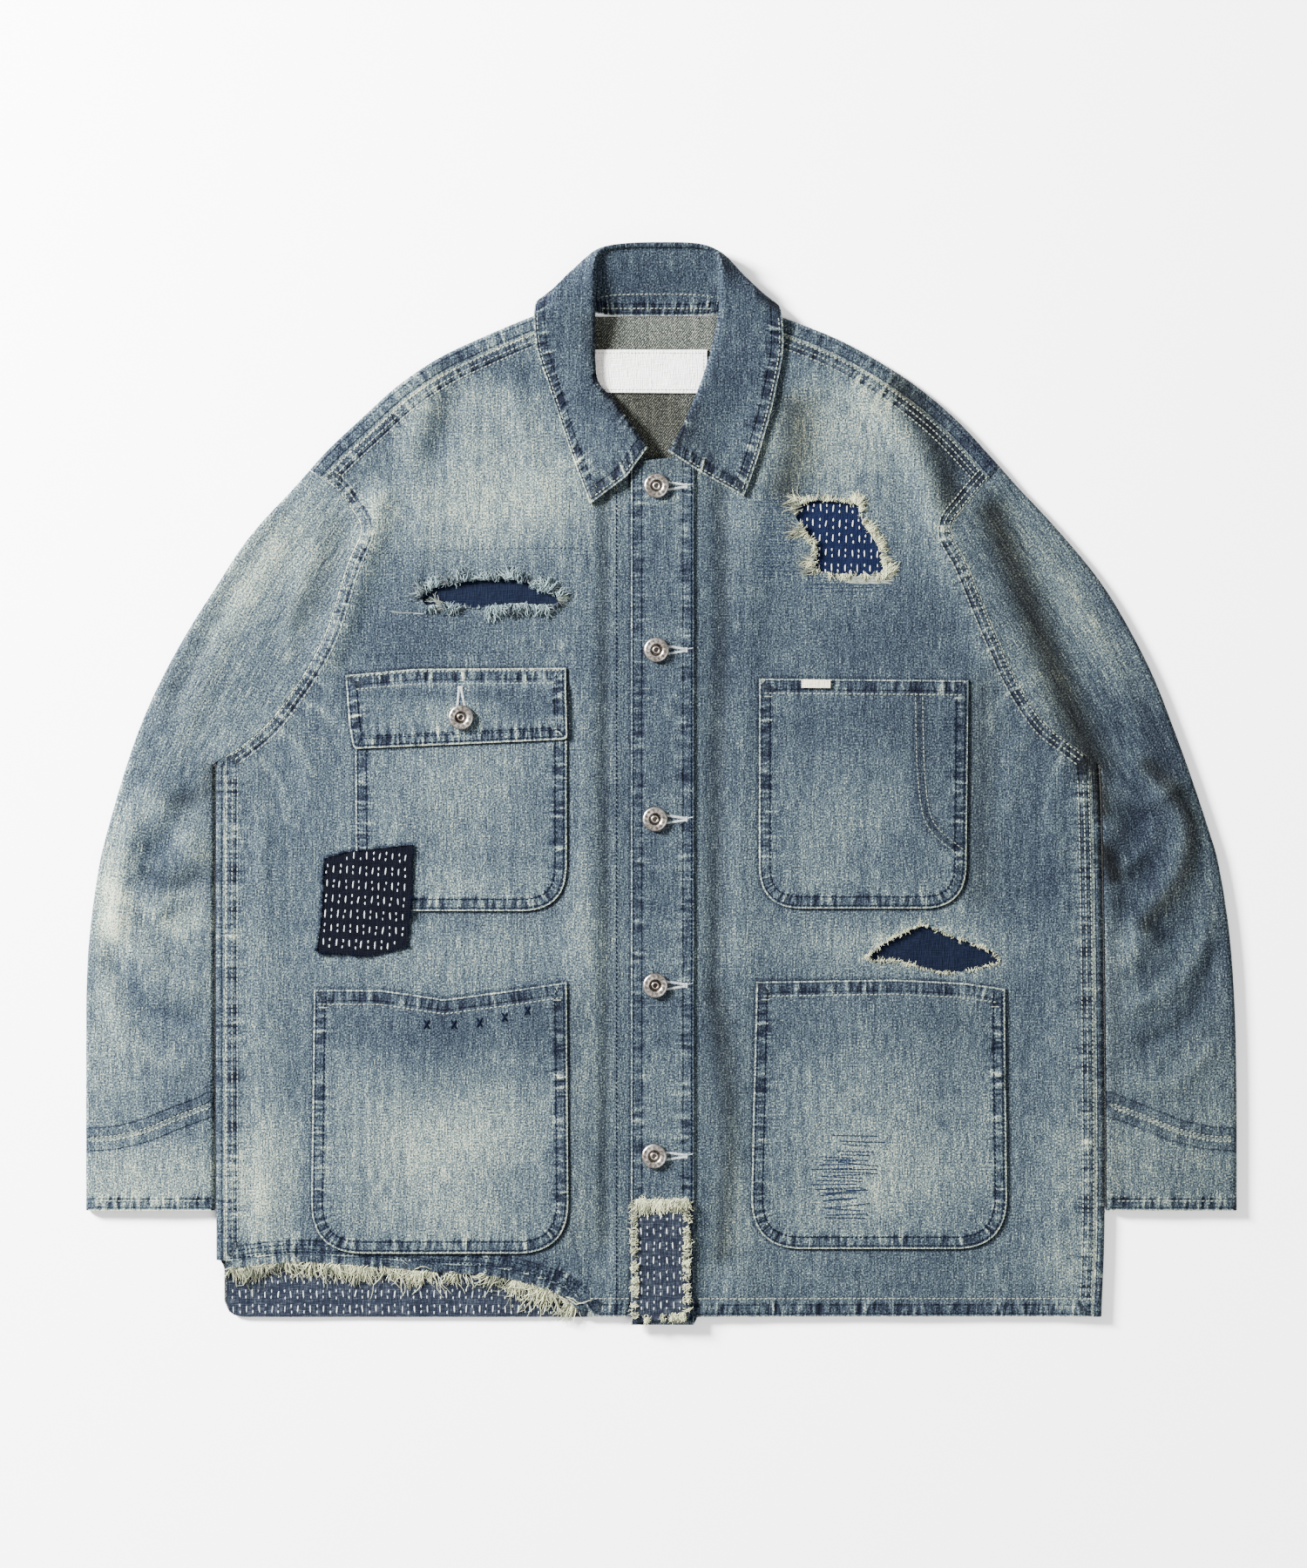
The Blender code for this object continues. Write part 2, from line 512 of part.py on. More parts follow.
def make_cloth(name, points, faces, finish, thickness=CLOTH):
    """A wall with the given surface in its middle."""
    obj = make_object(name, points, faces, finish)
    wall = obj.modifiers.new("Wall", "SOLIDIFY")
    wall.thickness = thickness * METRES
    wall.offset = 0.0
    wall.use_even_offset = False
    return obj


def welded(points, faces, within=0.02):
    """Points at one place made one."""
    places = np.round(points / within).astype(int)
    _, first, index = np.unique(places, axis=0, return_index=True, return_inverse=True)
    index = index.reshape(-1)
    merged = [[int(index[i]) for i in face] for face in faces]
    return points[first], [face for face in merged if len(set(face)) == len(face)]


class Surface:
    """Collects faces given by their corners' places, and welds them into one surface."""

    def __init__(self):
        self.points, self.faces = [], []

    def add(self, points, faces):
        first = len(self.points)
        self.points += [tuple(point) for point in points]
        self.faces += [[first + int(i) for i in face] for face in faces]

    def add_grid(self, rows):
        """Quads between rows of points, each row as long as the next."""
        rows = np.asarray(rows, float)
        count, width = rows.shape[:2]
        quads = [
            (r * width + c, r * width + c + 1, (r + 1) * width + c + 1, (r + 1) * width + c)
            for r in range(count - 1)
            for c in range(width - 1)
        ]
        self.add(rows.reshape(-1, 3), quads)

    def cloth(self, name, finish, thickness=CLOTH):
        points, faces = welded(np.array(self.points), self.faces)
        return make_cloth(name, points, faces, finish, thickness)


# The back, with its wraps round the side and shoulder folds


def fold_profile(top, reach):
    """(out, height) from the flat cloth round a fold to the top layer, and in again by reach."""
    radius = (top - FLOOR_LAYER) / 2
    turn = np.radians(FOLD_ANGLES)
    round_fold = [(radius * math.sin(a), FLOOR_LAYER + radius * (1 - math.cos(a))) for a in turn]
    return [*round_fold, (-reach, top)]


def fold_rows(border, outward, profile):
    """A row of points for each step of the profile, along a border of flat cloth."""
    return [np.column_stack([border + outward * out, np.full(len(border), z)]) for out, z in profile]


def outward_of(border, first=None, last=None):
    """Unit directions to the right of a border, with its ends cut along other lines if given."""
    away = border - offset(border, 1.0)
    if first is not None:
        away[0] = first
    if last is not None:
        away[-1] = last
    return away


def build_back(finish):
    side = {name: offset(line, FOLD_INSET) for name, line in (("left", side_left), ("right", side_right))}
    shoulder = {
        name: offset(line, FOLD_INSET) for name, line in (("left", shoulder_left), ("right", shoulder_right))
    }
    at_left, at_right = (offset(line, SEAM_GAP / 2) for line in (armhole_left, armhole_right))
    hole_left = between(at_left, side["left"], shoulder["left"])
    hole_right = between(at_right, shoulder["right"], side["right"])
    side["left"][-1], side["right"][0] = hole_left[0], hole_right[-1]
    shoulder["left"][0], shoulder["right"][-1] = hole_left[-1], hole_right[0]
    outline = joined(
        straight([HEM_CORNER[-1], side["left"][0]], FLOOR_EDGE_STEP), side["left"], hole_left, shoulder["left"],
        straight(BACK_NECK, SHOULDER_STEP), shoulder["right"], hole_right, side["right"], HEM_CORNER,
    )
    surface = Surface()
    points, faces = triangulated(outline, FLOOR_STEP)
    surface.add(np.column_stack([points, np.full(len(points), FLOOR_LAYER)]), faces)
    side_reach = SIDE_SEAM_DEPTH - FOLD_INSET - SEAM_GAP / 2
    shoulder_reach = SHOULDER_SEAM_DEPTH - FOLD_INSET - SEAM_GAP / 2
    wraps = (
        (side["left"], side_reach, None, CUT_SIDE_LEFT),
        (side["right"], side_reach, CUT_SIDE_RIGHT, None),
        (shoulder["left"], shoulder_reach, None, None),
        (shoulder["right"], shoulder_reach, None, CUT_SHOULDER_RIGHT),
    )
    for border, reach, first, last in wraps:
        rows = fold_rows(border, outward_of(border, first, last), fold_profile(FOLD_TOP, reach))
        surface.add_grid(rows[::-1])
    return surface.cloth("back", finish)


# Fronts, and all that is made from their points


def front_outline_right():
    armhole = offset(armhole_right, SEAM_GAP / 2)
    seam = offset(side_right, SIDE_SEAM_DEPTH + SEAM_GAP / 2)
    shoulder = offset(shoulder_right, SHOULDER_SEAM_DEPTH + SEAM_GAP / 2)
    raw, neck = smooth(RAW_HEM, RAW_STEP), smooth(NECK_RIGHT, CURVE_STEP)
    edge = [RAW_HEM[-1], (UNDERLAP_EDGE, HEM_Y), (UNDERLAP_EDGE, PLACKET_TOP - 1), NECK_RIGHT[0]]
    return joined(
        between(armhole, shoulder, seam), between(seam, armhole, raw), between(raw, seam, HEM_CUT),
        straight(edge, STRAIGHT_STEP), between(neck, NECK_CUT, shoulder), between(shoulder, neck, armhole),
    )


def front_outline_left():
    armhole = offset(armhole_left, SEAM_GAP / 2)
    seam = offset(side_left, SIDE_SEAM_DEPTH + SEAM_GAP / 2)
    shoulder = offset(shoulder_left, SHOULDER_SEAM_DEPTH + SEAM_GAP / 2)
    neck = smooth(NECK_LEFT, CURVE_STEP)
    bottom = [(PLACKET_EDGE, PLACKET_BOTTOM), (PLACKET_SEAM, PLACKET_BOTTOM), (PLACKET_SEAM + 3, HEM_Y), seam[0]]
    edge = [NECK_LEFT[-1], (PLACKET_EDGE, PLACKET_TOP), (PLACKET_EDGE, PLACKET_BOTTOM)]
    return joined(
        straight(bottom, STRAIGHT_STEP), seam[:-2], between(seam, armhole, WAIST)[-2:],
        between(armhole, seam, shoulder), between(shoulder, armhole, neck), neck[1:], straight(edge, STRAIGHT_STEP),
    )


def pocket_lift(outline, x, y):
    """A pocket's mouth stands a little off the front in the middle."""
    left, right = outline[:, 0].min(), outline[:, 0].max()
    across = np.clip((x - left) / (right - left), 0, 1)
    below = np.maximum(outline[:, 1].max() - MOUTH_BAND - y, 0)
    return POCKET_GAPE * 4 * across * (1 - across) * np.exp(-((below / MOUTH_DEPTH) ** 2))


class FrontPanel:
    """One front: its triangles, and the pieces cut from the same points."""

    def __init__(self, outline, height, rips, pieces):
        self.height = height
        self.points, self.faces = triangulated(outline, FRONT_STEP, rips, pieces)
        self.centres = self.points[self.faces].mean(axis=1)

    def build(self, name, finish):
        x, y = self.points.T
        return make_cloth(name, *only_used(np.column_stack([x, y, self.height(x, y)]), self.faces), finish)

    def build_piece(self, name, outline, away, finish):
        """The part of the panel inside an outline, moved out by away, a number or a function of x, y."""
        keep = inside(outline, self.centres[:, 0], self.centres[:, 1])
        points, faces = only_used(self.points, self.faces[keep])
        x, y = points.T
        distance = away(x, y) if callable(away) else np.full(len(x), away)
        return make_cloth(name, moved_out(self.height, x, y, distance), faces, finish)


def over(outline, x, y):
    """Layers of cloth added by a piece: 1 on it, down to 0 a little outside."""
    away = distance_to(np.vstack([outline, outline[:1]]), x, y)
    away = np.where(inside(outline, x, y), 0, away)
    return step_up(1 - away / PATCH_FALL)


def build_backing(name, outline, height, finish):
    """Cloth sewn behind a rip, one layer under the front."""
    points, faces = triangulated(outline, FRONT_STEP)
    x, y = points.T
    return make_cloth(name, moved_out(height, x, y, np.full(len(x), -BACKING_DROP)), faces, finish)


# Sleeves and cuffs: two layers joined by a fold along each side


def sleeve_height(outer, inner, x, y):
    """The top layer of a sleeve: it leaves the armhole at the front's height and swells between its folds."""
    to_outer, to_inner = distance_to(outer, x, y), distance_to(inner, x, y)
    share = to_outer / (to_outer + to_inner + 1e-6)
    swell = 4 * share * (1 - share)
    own = FOLD_TOP + SLEEVE_PUFF * swell + np.clip(SLEEVE_FLANK * swell, 0, 1) * folds_at(SLEEVE_FOLDS, x, y)
    armhole = armhole_left if outer[0][0] > 0 else armhole_right
    weight = step_up(distance_to(armhole, x, y) / SLEEVE_BLEND)
    return (1 - weight) * front_height(x, y) + weight * own


def build_tube(name, outer, inner, start, end, height, finish, outer_cut=None):
    """A flat tube. Its outline runs down the outer fold, along the end, up the inner fold and along the start.
    Outer_cut is the direction in which the start crosses the outer fold."""
    outline = joined(outer, end, inner[::-1], start)
    following = np.roll(outline, -1, axis=0)
    clockwise = np.sum(outline[:, 0] * following[:, 1] - following[:, 0] * outline[:, 1]) < 0
    surface = Surface()
    points, faces = triangulated(outline, SLEEVE_STEP)
    surface.add(np.column_stack([points, height(*points.T)]), faces)
    points, faces = triangulated(outline, FLOOR_STEP)
    surface.add(np.column_stack([points, np.full(len(points), FLOOR_LAYER)]), faces[:, ::-1])
    for border in (outer, inner[::-1]):
        away = offset(border, 1 if clockwise else -1) - border
        if border is outer and outer_cut is not None:
            away[0] = outer_cut
        radius = (height(*border.T) - FLOOR_LAYER) / 2
        rows = []
        for angle in np.radians(FOLD_ANGLES):
            place = border + away * (radius * math.sin(angle))[:, None]
            rows.append(np.column_stack([place, FLOOR_LAYER + radius * (1 - math.cos(angle))]))
        surface.add_grid(rows if clockwise else rows[::-1])
    return surface.cloth(name, finish)


def split_line(line, y):
    """An open line that runs down, cut at a height y into its upper and lower parts."""
    k = int(np.argmax(line[:, 1] < y))
    share = (line[k - 1][1] - y) / (line[k - 1][1] - line[k][1])
    cut = line[k - 1] + (line[k] - line[k - 1]) * share
    return np.vstack([line[:k], cut]), np.vstack([cut, line[k:]])


def build_sleeve(side, finish):
    """A sleeve and its cuff."""
    left = side == "left"
    sign = 1 if left else -1
    outer = smooth(SLEEVE_OUTER_LEFT if left else SLEEVE_OUTER_RIGHT, STRAIGHT_STEP)
    outer = offset(outer, -FOLD_INSET * sign)
    body_side = side_left[::-1] if left else side_right
    inner = offset(body_side, (FOLD_INSET + SLEEVE_CLEARANCE) * sign)
    armhole = offset(armhole_left if left else armhole_right, -SEAM_GAP / 2)
    outer, inner = extended(outer, 20), extended(inner, 20)
    start = between(armhole, inner, outer)
    start = start if left else start[::-1]
    outer, inner = between(outer, armhole, CUFF_END), between(inner, armhole, CUFF_END)
    seam = smooth([(x * sign, y) for x, y in CUFF_SEAM], SHOULDER_STEP)
    outer_sleeve, outer_cuff = split_line(outer, seam[0][1])
    inner_sleeve, inner_cuff = split_line(inner, seam[-1][1])
    gap = np.array((0, SEAM_GAP / 2))
    seam = np.vstack([outer_cuff[:1], seam[1:-1], inner_cuff[:1]])

    def height(x, y):
        return sleeve_height(outer, inner, x, y)

    parts = ((outer_sleeve, outer_cuff), (inner_sleeve, inner_cuff))
    upper = [np.vstack([sleeve[:-1], cuff[:1] + gap]) for sleeve, cuff in parts]
    cut = None if left else CUT_SHOULDER_RIGHT
    build_tube(f"sleeve_{side}", *upper, start, seam + gap, height, finish, cut)
    lower = [np.vstack([cuff[:1] - gap, cuff[1:]]) for _, cuff in parts]
    end = straight([lower[0][-1], lower[1][-1]], SHOULDER_STEP)
    build_tube(f"cuff_{side}", *lower, (seam - gap)[::-1], end, height, finish)


# Collar


def section(neck, roll, middle, edge):
    """One cut through the collar: up the stand, round the roll and down the fall."""
    neck, roll, middle, edge = (np.array(p, float) for p in (neck, roll, middle, edge))
    back = (middle - roll) * (1, 1, 0)
    back = back / max(np.linalg.norm(back), 1e-6)
    under, above = (roll + back * out + (0, 0, rise) for out, rise in (ROLL_UNDER, ROLL_ABOVE))
    stand = [neck + (under - neck) * t for t in np.linspace(0, 1, SECTION_STAND + 1)]
    first = [above + (middle - above) * t for t in np.linspace(0, 1, SECTION_FALL + 1)]
    second = [middle + (edge - middle) * t for t in np.linspace(0, 1, SECTION_FALL + 1)[1:]]
    return np.array([*stand, roll, *first, *second])


def on_front(station, height):
    """Heights for a station whose fall lies on a front."""
    neck, roll, middle, edge = station
    base = [float(height(*spot)) for spot in station]
    under_leaf = max(base[0], base[1])
    return (
        (*neck, base[0]),
        (*roll, under_leaf + LEAF_LIFT / 2),
        (*middle, base[2] + (LEAF_LIFT + LEAF_REST) / 2),
        (*edge, base[3] + LEAF_REST),
    )


def build_collar(finish):
    def under_right_leaf(x, y):
        start, width = STACK_RIGHT
        return front_height(x, y) + 2 * LAYER * step_up((x - start) / width)

    def under_left_leaf(x, y):
        start, width = STACK_LEFT
        return left_front_height(x, y) + LAYER * step_up((start - x) / width)

    right = [on_front(station, under_right_leaf) for station in COLLAR_RIGHT_FRONT] + COLLAR_RIGHT_BACK
    left = [on_front(station, under_left_leaf) for station in COLLAR_LEFT_FRONT] + COLLAR_LEFT_BACK
    stations = [*right, COLLAR_CENTRE_BACK, *left[::-1]]
    surface = Surface()
    surface.add_grid([section(*station) for station in stations])
    return surface.cloth("collar", finish, COLLAR_CLOTH)


# Fringe


def build_fringe(name, line, count, reach, height, finish, seed):
    """Locks to the right of a line, rising from one thin strip. Each lock is four-sided and ends in a point."""
    random = np.random.default_rng(seed)
    lengths = np.concatenate([[0], np.cumsum(np.linalg.norm(np.diff(line, axis=0), axis=1))])
    cells = [0.0]
    for k in range(count):
        cells += [(k + 0.5 - LOCK_FILL / 2) / count, (k + 0.5 + LOCK_FILL / 2) / count]
    cells = np.array([*cells, 1.0]) * lengths[-1]
    along = np.column_stack([np.interp(cells, lengths, line[:, i]) for i in (0, 1)])
    away = along - offset(along, 1.0)
    points, faces = [], []
    for spot, out in zip(along, away):
        back, front = spot + out * STRIP_OFF_EDGE, spot + out * (STRIP_OFF_EDGE + STRIP_DEPTH)
        z = float(height(*front))
        points += [(*back, z), (*front, z - STRIP_HEIGHT / 2), (*front, z + STRIP_HEIGHT / 2)]
    last = len(along) - 1
    for k in range(last):
        a, b = 3 * k, 3 * k + 3
        faces += [(a, b, b + 1, a + 1), (a, a + 2, b + 2, b)]
        if k % 2 == 0:
            faces.append((a + 1, b + 1, b + 2, a + 2))
            continue
        length = reach * random.uniform(*LOCK_LENGTHS)
        lean = random.uniform(-LOCK_LEAN, LOCK_LEAN)
        out = (away[k] + away[k + 1]) / 2
        side = np.array((-out[1], out[0]))
        root = (along[k] + along[k + 1]) / 2 + out * (STRIP_OFF_EDGE + STRIP_DEPTH)
        middle = root + (out + side * lean / 2) * length * LOCK_MIDDLE
        tip = root + (out + side * lean) * length
        half = np.linalg.norm(along[k + 1] - along[k]) / 2 * LOCK_NARROWING
        thick = STRIP_HEIGHT / 2 * LOCK_NARROWING
        z = float(height(*middle)) + LOCK_LIFT
        first = len(points)
        for place, lift in ((middle + side * half, -thick), (middle - side * half, -thick),
                            (middle - side * half, thick), (middle + side * half, thick)):
            points.append((*place, z + lift))
        points.append((*tip, float(height(*tip)) + LOCK_LIFT))
        ring = (a + 1, b + 1, b + 2, a + 2)
        same_way = np.dot(along[k + 1] - along[k], side) < 0
        new = [first + i for i in ((0, 1, 2, 3) if same_way else (1, 0, 3, 2))]
        for i in range(4):
            j = (i + 1) % 4
            faces += [(ring[i], ring[j], new[j], new[i]), (new[i], new[j], first + 4)]
    faces += [(0, 1, 2), (3 * last, 3 * last + 2, 3 * last + 1)]
    return make_object(name, points, faces, finish)


# Buttons


def build_button(name, centre, under, finish):
    """A tack button: a rounded ring with a sunk middle."""
    base = under + CLOTH / 2 + BUTTON_OFF_CLOTH
    angles = np.arange(BUTTON_SIDES) * 2 * math.pi / BUTTON_SIDES
    points = [(*centre, base)]
    for share, rise in BUTTON_PROFILE:
        radius = share * BUTTON_RADIUS
        points += [
            (centre[0] + radius * math.cos(a), centre[1] + radius * math.sin(a), base + rise * BUTTON_HEIGHT)
            for a in angles
        ]
    top = len(points)
    points.append((*centre, base + BUTTON_HEIGHT * BUTTON_MIDDLE))
    faces = []
    for k in range(BUTTON_SIDES):
        j = (k + 1) % BUTTON_SIDES
        faces.append((0, 1 + j, 1 + k))
        for ring in range(len(BUTTON_PROFILE) - 1):
            a = 1 + ring * BUTTON_SIDES
            faces.append((a + k, a + j, a + BUTTON_SIDES + j, a + BUTTON_SIDES + k))
        a = 1 + (len(BUTTON_PROFILE) - 1) * BUTTON_SIDES
        faces.append((a + k, a + j, top))
    return make_object(name, points, faces, finish)


def build_flat_piece(name, corners, z, thickness, finish):
    points = [(x, y, z) for x, y, _ in corners]
    return make_cloth(name, np.array(points), [tuple(range(len(points)))], finish, thickness)


def build_right_front(denim, navy, metal):
    pocket, flap = rounded(POCKET_CHEST_RIGHT), rounded(FLAP_CHEST_RIGHT, CURVE_STEP)
    hip, patch = rounded(POCKET_HIP_RIGHT, CURVE_STEP), rounded(PATCH_POCKET, CURVE_STEP)
    rip = np.array(RIP_CHEST_RIGHT[::-1])
    panel = FrontPanel(front_outline_right(), front_height, [rip], [pocket, flap, hip, patch])
    panel.build("front_right", denim)
    panel.build_piece("pocket_chest_right", pocket, LAYER, denim)
    panel.build_piece("flap_chest_right", flap, lambda x, y: LAYER * (1 + over(pocket, x, y)), denim)
    panel.build_piece("pocket_hip_right", hip, lambda x, y: LAYER + pocket_lift(hip, x, y), denim)
    panel.build_piece("patch_pocket", patch, lambda x, y: LAYER * (1 + over(pocket, x, y)), navy)
    build_backing("backing_chest_right", rounded(BACKING_CHEST_RIGHT), front_height, navy)
    x, y = FLAP_BUTTON_CENTRE
    build_button("button_flap", (x, y), float(front_height(x, y)) + 2 * LAYER, metal)


def build_left_front(denim, navy, label, metal):
    pocket, hip = rounded(POCKET_CHEST_LEFT), rounded(POCKET_HIP_LEFT, CURVE_STEP)
    tab, patch = rounded(POCKET_TAB, STRAIGHT_STEP), rounded(PATCH_PLACKET, CURVE_STEP)
    placket = straight([
        (PLACKET_EDGE, PLACKET_TOP), (PLACKET_EDGE, PLACKET_BOTTOM), (PLACKET_SEAM, PLACKET_BOTTOM),
        (PLACKET_SEAM, PLACKET_TOP + 2), (NECK_LEFT[-1]), (PLACKET_EDGE, PLACKET_TOP),
    ], STRAIGHT_STEP)[:-1]
    rips = [np.array(line[::-1]) for line in (RIP_CHEST_LEFT, RIP_WAIST_LEFT)]
    seam = straight([(PLACKET_SEAM, PLACKET_BOTTOM), (PLACKET_SEAM, PLACKET_TOP + 2)], STRAIGHT_STEP)
    pieces = [pocket, hip, tab, patch, np.vstack([seam, seam[::-1]])]
    panel = FrontPanel(front_outline_left(), left_front_height, rips, pieces)
    panel.build("front_left", denim)
    panel.build_piece("placket", placket, LAYER, denim)
    panel.build_piece("pocket_chest_left", pocket, lambda x, y: LAYER + pocket_lift(pocket, x, y), denim)
    panel.build_piece("pocket_hip_left", hip, lambda x, y: LAYER + pocket_lift(hip, x, y), denim)
    panel.build_piece("pocket_tab", tab, lambda x, y: 2 * LAYER + pocket_lift(pocket, x, y), label)
    panel.build_piece("patch_placket", patch, 2 * LAYER, navy)
    build_backing("backing_chest_left", rounded(BACKING_CHEST_LEFT), left_front_height, navy)
    build_backing("backing_waist_left", rounded(BACKING_WAIST_LEFT), left_front_height, navy)
    for number, (x, y) in enumerate(BUTTON_CENTRES, 1):
        build_button(f"button_{number}", (x, y), float(left_front_height(x, y)) + LAYER, metal)


def build_all_fringe(cotton):
    raw = smooth(RAW_HEM, RAW_STEP)
    build_fringe("fringe_hem", raw[1:-2], 72, 11.0, front_height, cotton, 1)
    rip = np.array(RIP_CHEST_RIGHT)
    upper, lower = smooth(rip[1:7], RIP_STEP), smooth(rip[7:], RIP_STEP)

    def on_right(x, y):
        return front_height(x, y) + ON_CLOTH

    def on_left(x, y):
        return left_front_height(x, y) + ON_CLOTH

    def on_placket(x, y):
        return left_front_height(x, y) + 2 * LAYER + ON_CLOTH

    build_fringe("fringe_chest_right_upper", upper[::-1], 26, 8.0, on_right, cotton, 2)
    build_fringe("fringe_chest_right_lower", lower[::-1], 24, 8.0, on_right, cotton, 3)
    rip = np.array(RIP_CHEST_LEFT)
    build_fringe("fringe_chest_left", smooth(rip[2:8], RIP_STEP)[::-1], 14, 9.0, on_left, cotton, 4)
    top = straight(PLACKET_FRINGE, RIP_STEP)
    build_fringe("fringe_placket", top, 12, 5.0, on_placket, cotton, 5)


def build_jacket():
    clear_scene()
    denim = material("denim", DENIM)
    faded = material("faded denim", FADED_DENIM)
    navy = material("sashiko", SASHIKO_NAVY)
    cotton = material("frayed cotton", FRAYED_COTTON)
    label = material("label", LABEL_WHITE)
    metal = material("button metal", BUTTON_METAL, 0.35, 1.0)
    build_back(denim)
    build_right_front(denim, navy, metal)
    build_left_front(denim, navy, label, metal)
    for side in ("left", "right"):
        build_sleeve(side, faded)
    build_collar(denim)
    build_backing("patch_hem", rounded(PATCH_HEM, SHOULDER_STEP), front_height, navy)
    build_all_fringe(cotton)
    build_flat_piece("neck_label", NECK_LABEL, CLOTH + LABEL_GAP + LABEL_CLOTH / 2, LABEL_CLOTH, label)


build_jacket()
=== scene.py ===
"""Looks of a patched denim work jacket that lies flat on its back, front up.

Fine cloth shells follow the solids' forms, and carry their sewing, sashiko, frays, darning and buttons.
Sizes are in millimetres and become metres when a mesh is made. X runs to the wearer's left, Y to the collar
and Z up. Right and left in names are the wearer's, so the right front is on the viewer's left.
"""

import math

import bpy
import numpy as np
from mathutils.geometry import delaunay_2d_cdt
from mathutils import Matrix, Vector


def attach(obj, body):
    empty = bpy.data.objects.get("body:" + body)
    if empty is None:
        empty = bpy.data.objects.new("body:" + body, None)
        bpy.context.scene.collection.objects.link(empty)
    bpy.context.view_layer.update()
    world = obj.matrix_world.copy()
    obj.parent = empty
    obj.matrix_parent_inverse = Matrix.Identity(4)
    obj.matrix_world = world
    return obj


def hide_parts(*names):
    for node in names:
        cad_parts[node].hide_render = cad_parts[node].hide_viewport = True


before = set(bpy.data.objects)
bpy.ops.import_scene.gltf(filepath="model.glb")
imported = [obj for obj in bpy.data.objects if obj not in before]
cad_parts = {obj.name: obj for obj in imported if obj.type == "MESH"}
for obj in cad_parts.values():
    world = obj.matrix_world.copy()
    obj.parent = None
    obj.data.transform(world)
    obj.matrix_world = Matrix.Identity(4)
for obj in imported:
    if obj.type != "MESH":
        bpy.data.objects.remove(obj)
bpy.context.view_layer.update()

METRES = 0.001
TINY = 1e-12  # the least length to divide by
SHARP_ANGLE = math.radians(50)

# Cloth, as in the solids
CLOTH = 1.2
COLLAR_CLOTH = 2.0
LABEL_CLOTH = 1.0
SEAM_GAP = 0.4
LAYER = 1.55
BACKING_DROP = 1.7
FRINGE_LIFT = 0.2
FLOOR_LAYER = CLOTH / 2
FRONT_LOW = 4.2
FOLD_TOP = 5.7
BACK_TURNED = 2.5  # above it the back's cloth is a turned part, with its seam
FOLD_INSET = (FOLD_TOP - FLOOR_LAYER) / 2 + CLOTH / 2
SEAM_RISE_WIDTH = 17.0
SEAM_FLAT = 4.0
SEAM_REACH = 60.0
RIPPED_CORNER_RISE = 34.0
LAP_START = 3.0
LAP_WIDTH = 22.0
SLEEVE_PUFF = 0.5
SLEEVE_BLEND = 55.0

# Unevenness of the cloth: height, size of its bumps and seed
FRONT_UNEVEN = (0.35, 90, 5)
SLEEVE_UNEVEN = (0.4, 60, 3)
LABEL_UNEVEN = (0.15, 30, 4)
TORN_UNEVEN = 0.35

# Spacing of the points
EDGE_STEP = 4.0
PANEL_STEP = 3.8
POCKET_STEP = 3.4
LABEL_STEP = 6.0
TAB_STEP = 2.0
TORN_STEP = 2.2
HIDDEN_STEP = 26.0
FOLD_STEP = 8
ROW_SPACING = 0.866
FOLD_TURN = range(0, 181, 30)

# Outline of the body, counter-clockwise from the wearer's left hem corner
HEM_Y = -386.0
SIDE_LEFT = [(319, -386), (321.4, -307), (320.4, -139), (318.6, -27), (317, 13)]
ARMHOLE_LEFT = [
    (317, 14), (294.1, 31.5), (276.4, 46.7), (258.7, 74.1), (245.9, 101.4), (236.3, 123.9), (221.8, 159.3),
    (210, 184.1), (220.9, 201.5), (232.9, 216), (245.4, 229.6),
]
SHOULDER_LEFT = [
    (245.4, 229.9), (214.8, 263), (184.7, 288.4), (153.3, 308.8), (124.4, 324), (88.2, 338.2), (62, 348),
]
SHOULDER_RIGHT = [
    (-62, 350), (-92.9, 339.3), (-125, 326), (-161.5, 308.8), (-191.6, 288.4), (-215.8, 266.6), (-240, 244),
    (-255, 227.7),
]
ARMHOLE_RIGHT = [
    (-255, 227.7), (-244.7, 220.8), (-235, 213), (-225.5, 200.3), (-217.5, 184.3), (-227.8, 158.1),
    (-241.9, 113.1), (-253.5, 89), (-267.7, 67.2), (-283.6, 45.9), (-301.3, 30), (-322.6, 15.5),
]
SIDE_RIGHT = [(-322.6, 15.5), (-323, -120), (-322.6, -345)]
BACK_NECK = [(42, 339), (-48, 339)]
SIDE_SEAM_DEPTH = 6.8
SHOULDER_SEAM_DEPTH = 11.8
CUT_SIDE_LEFT = (1, -0.76)
CUT_SIDE_RIGHT = (-1, -0.68)
CUT_SHOULDER_RIGHT = (-0.84, 0.56)
HEM_CORNER = [(-317, -352), (-317, -375), (-313.5, -383), (-304, -386.5)]

# Front edges
PLACKET_EDGE = -22.0
PLACKET_SEAM = 23.3
PLACKET_TOP = 233.0
PLACKET_BOTTOM = -391.5
UNDERLAP_EDGE = 20.0
NECK_LEFT = [(52, 339), (50, 312), (41, 284), (30, 262), (17, 244), (8, 236.5)]
NECK_RIGHT = [(-14, 237.5), (-24, 249), (-39, 269), (-53, 290), (-58, 314), (-58, 341)]
RAW_HEM = [
    (-316, -351.7), (-269.4, -346.4), (-226.8, -348.5), (-162.9, -353.7), (-120.3, -356.9), (-88.3, -364.5),
    (-69.2, -373), (-56.4, -386),
]
HEM_DEPTH = 13.0

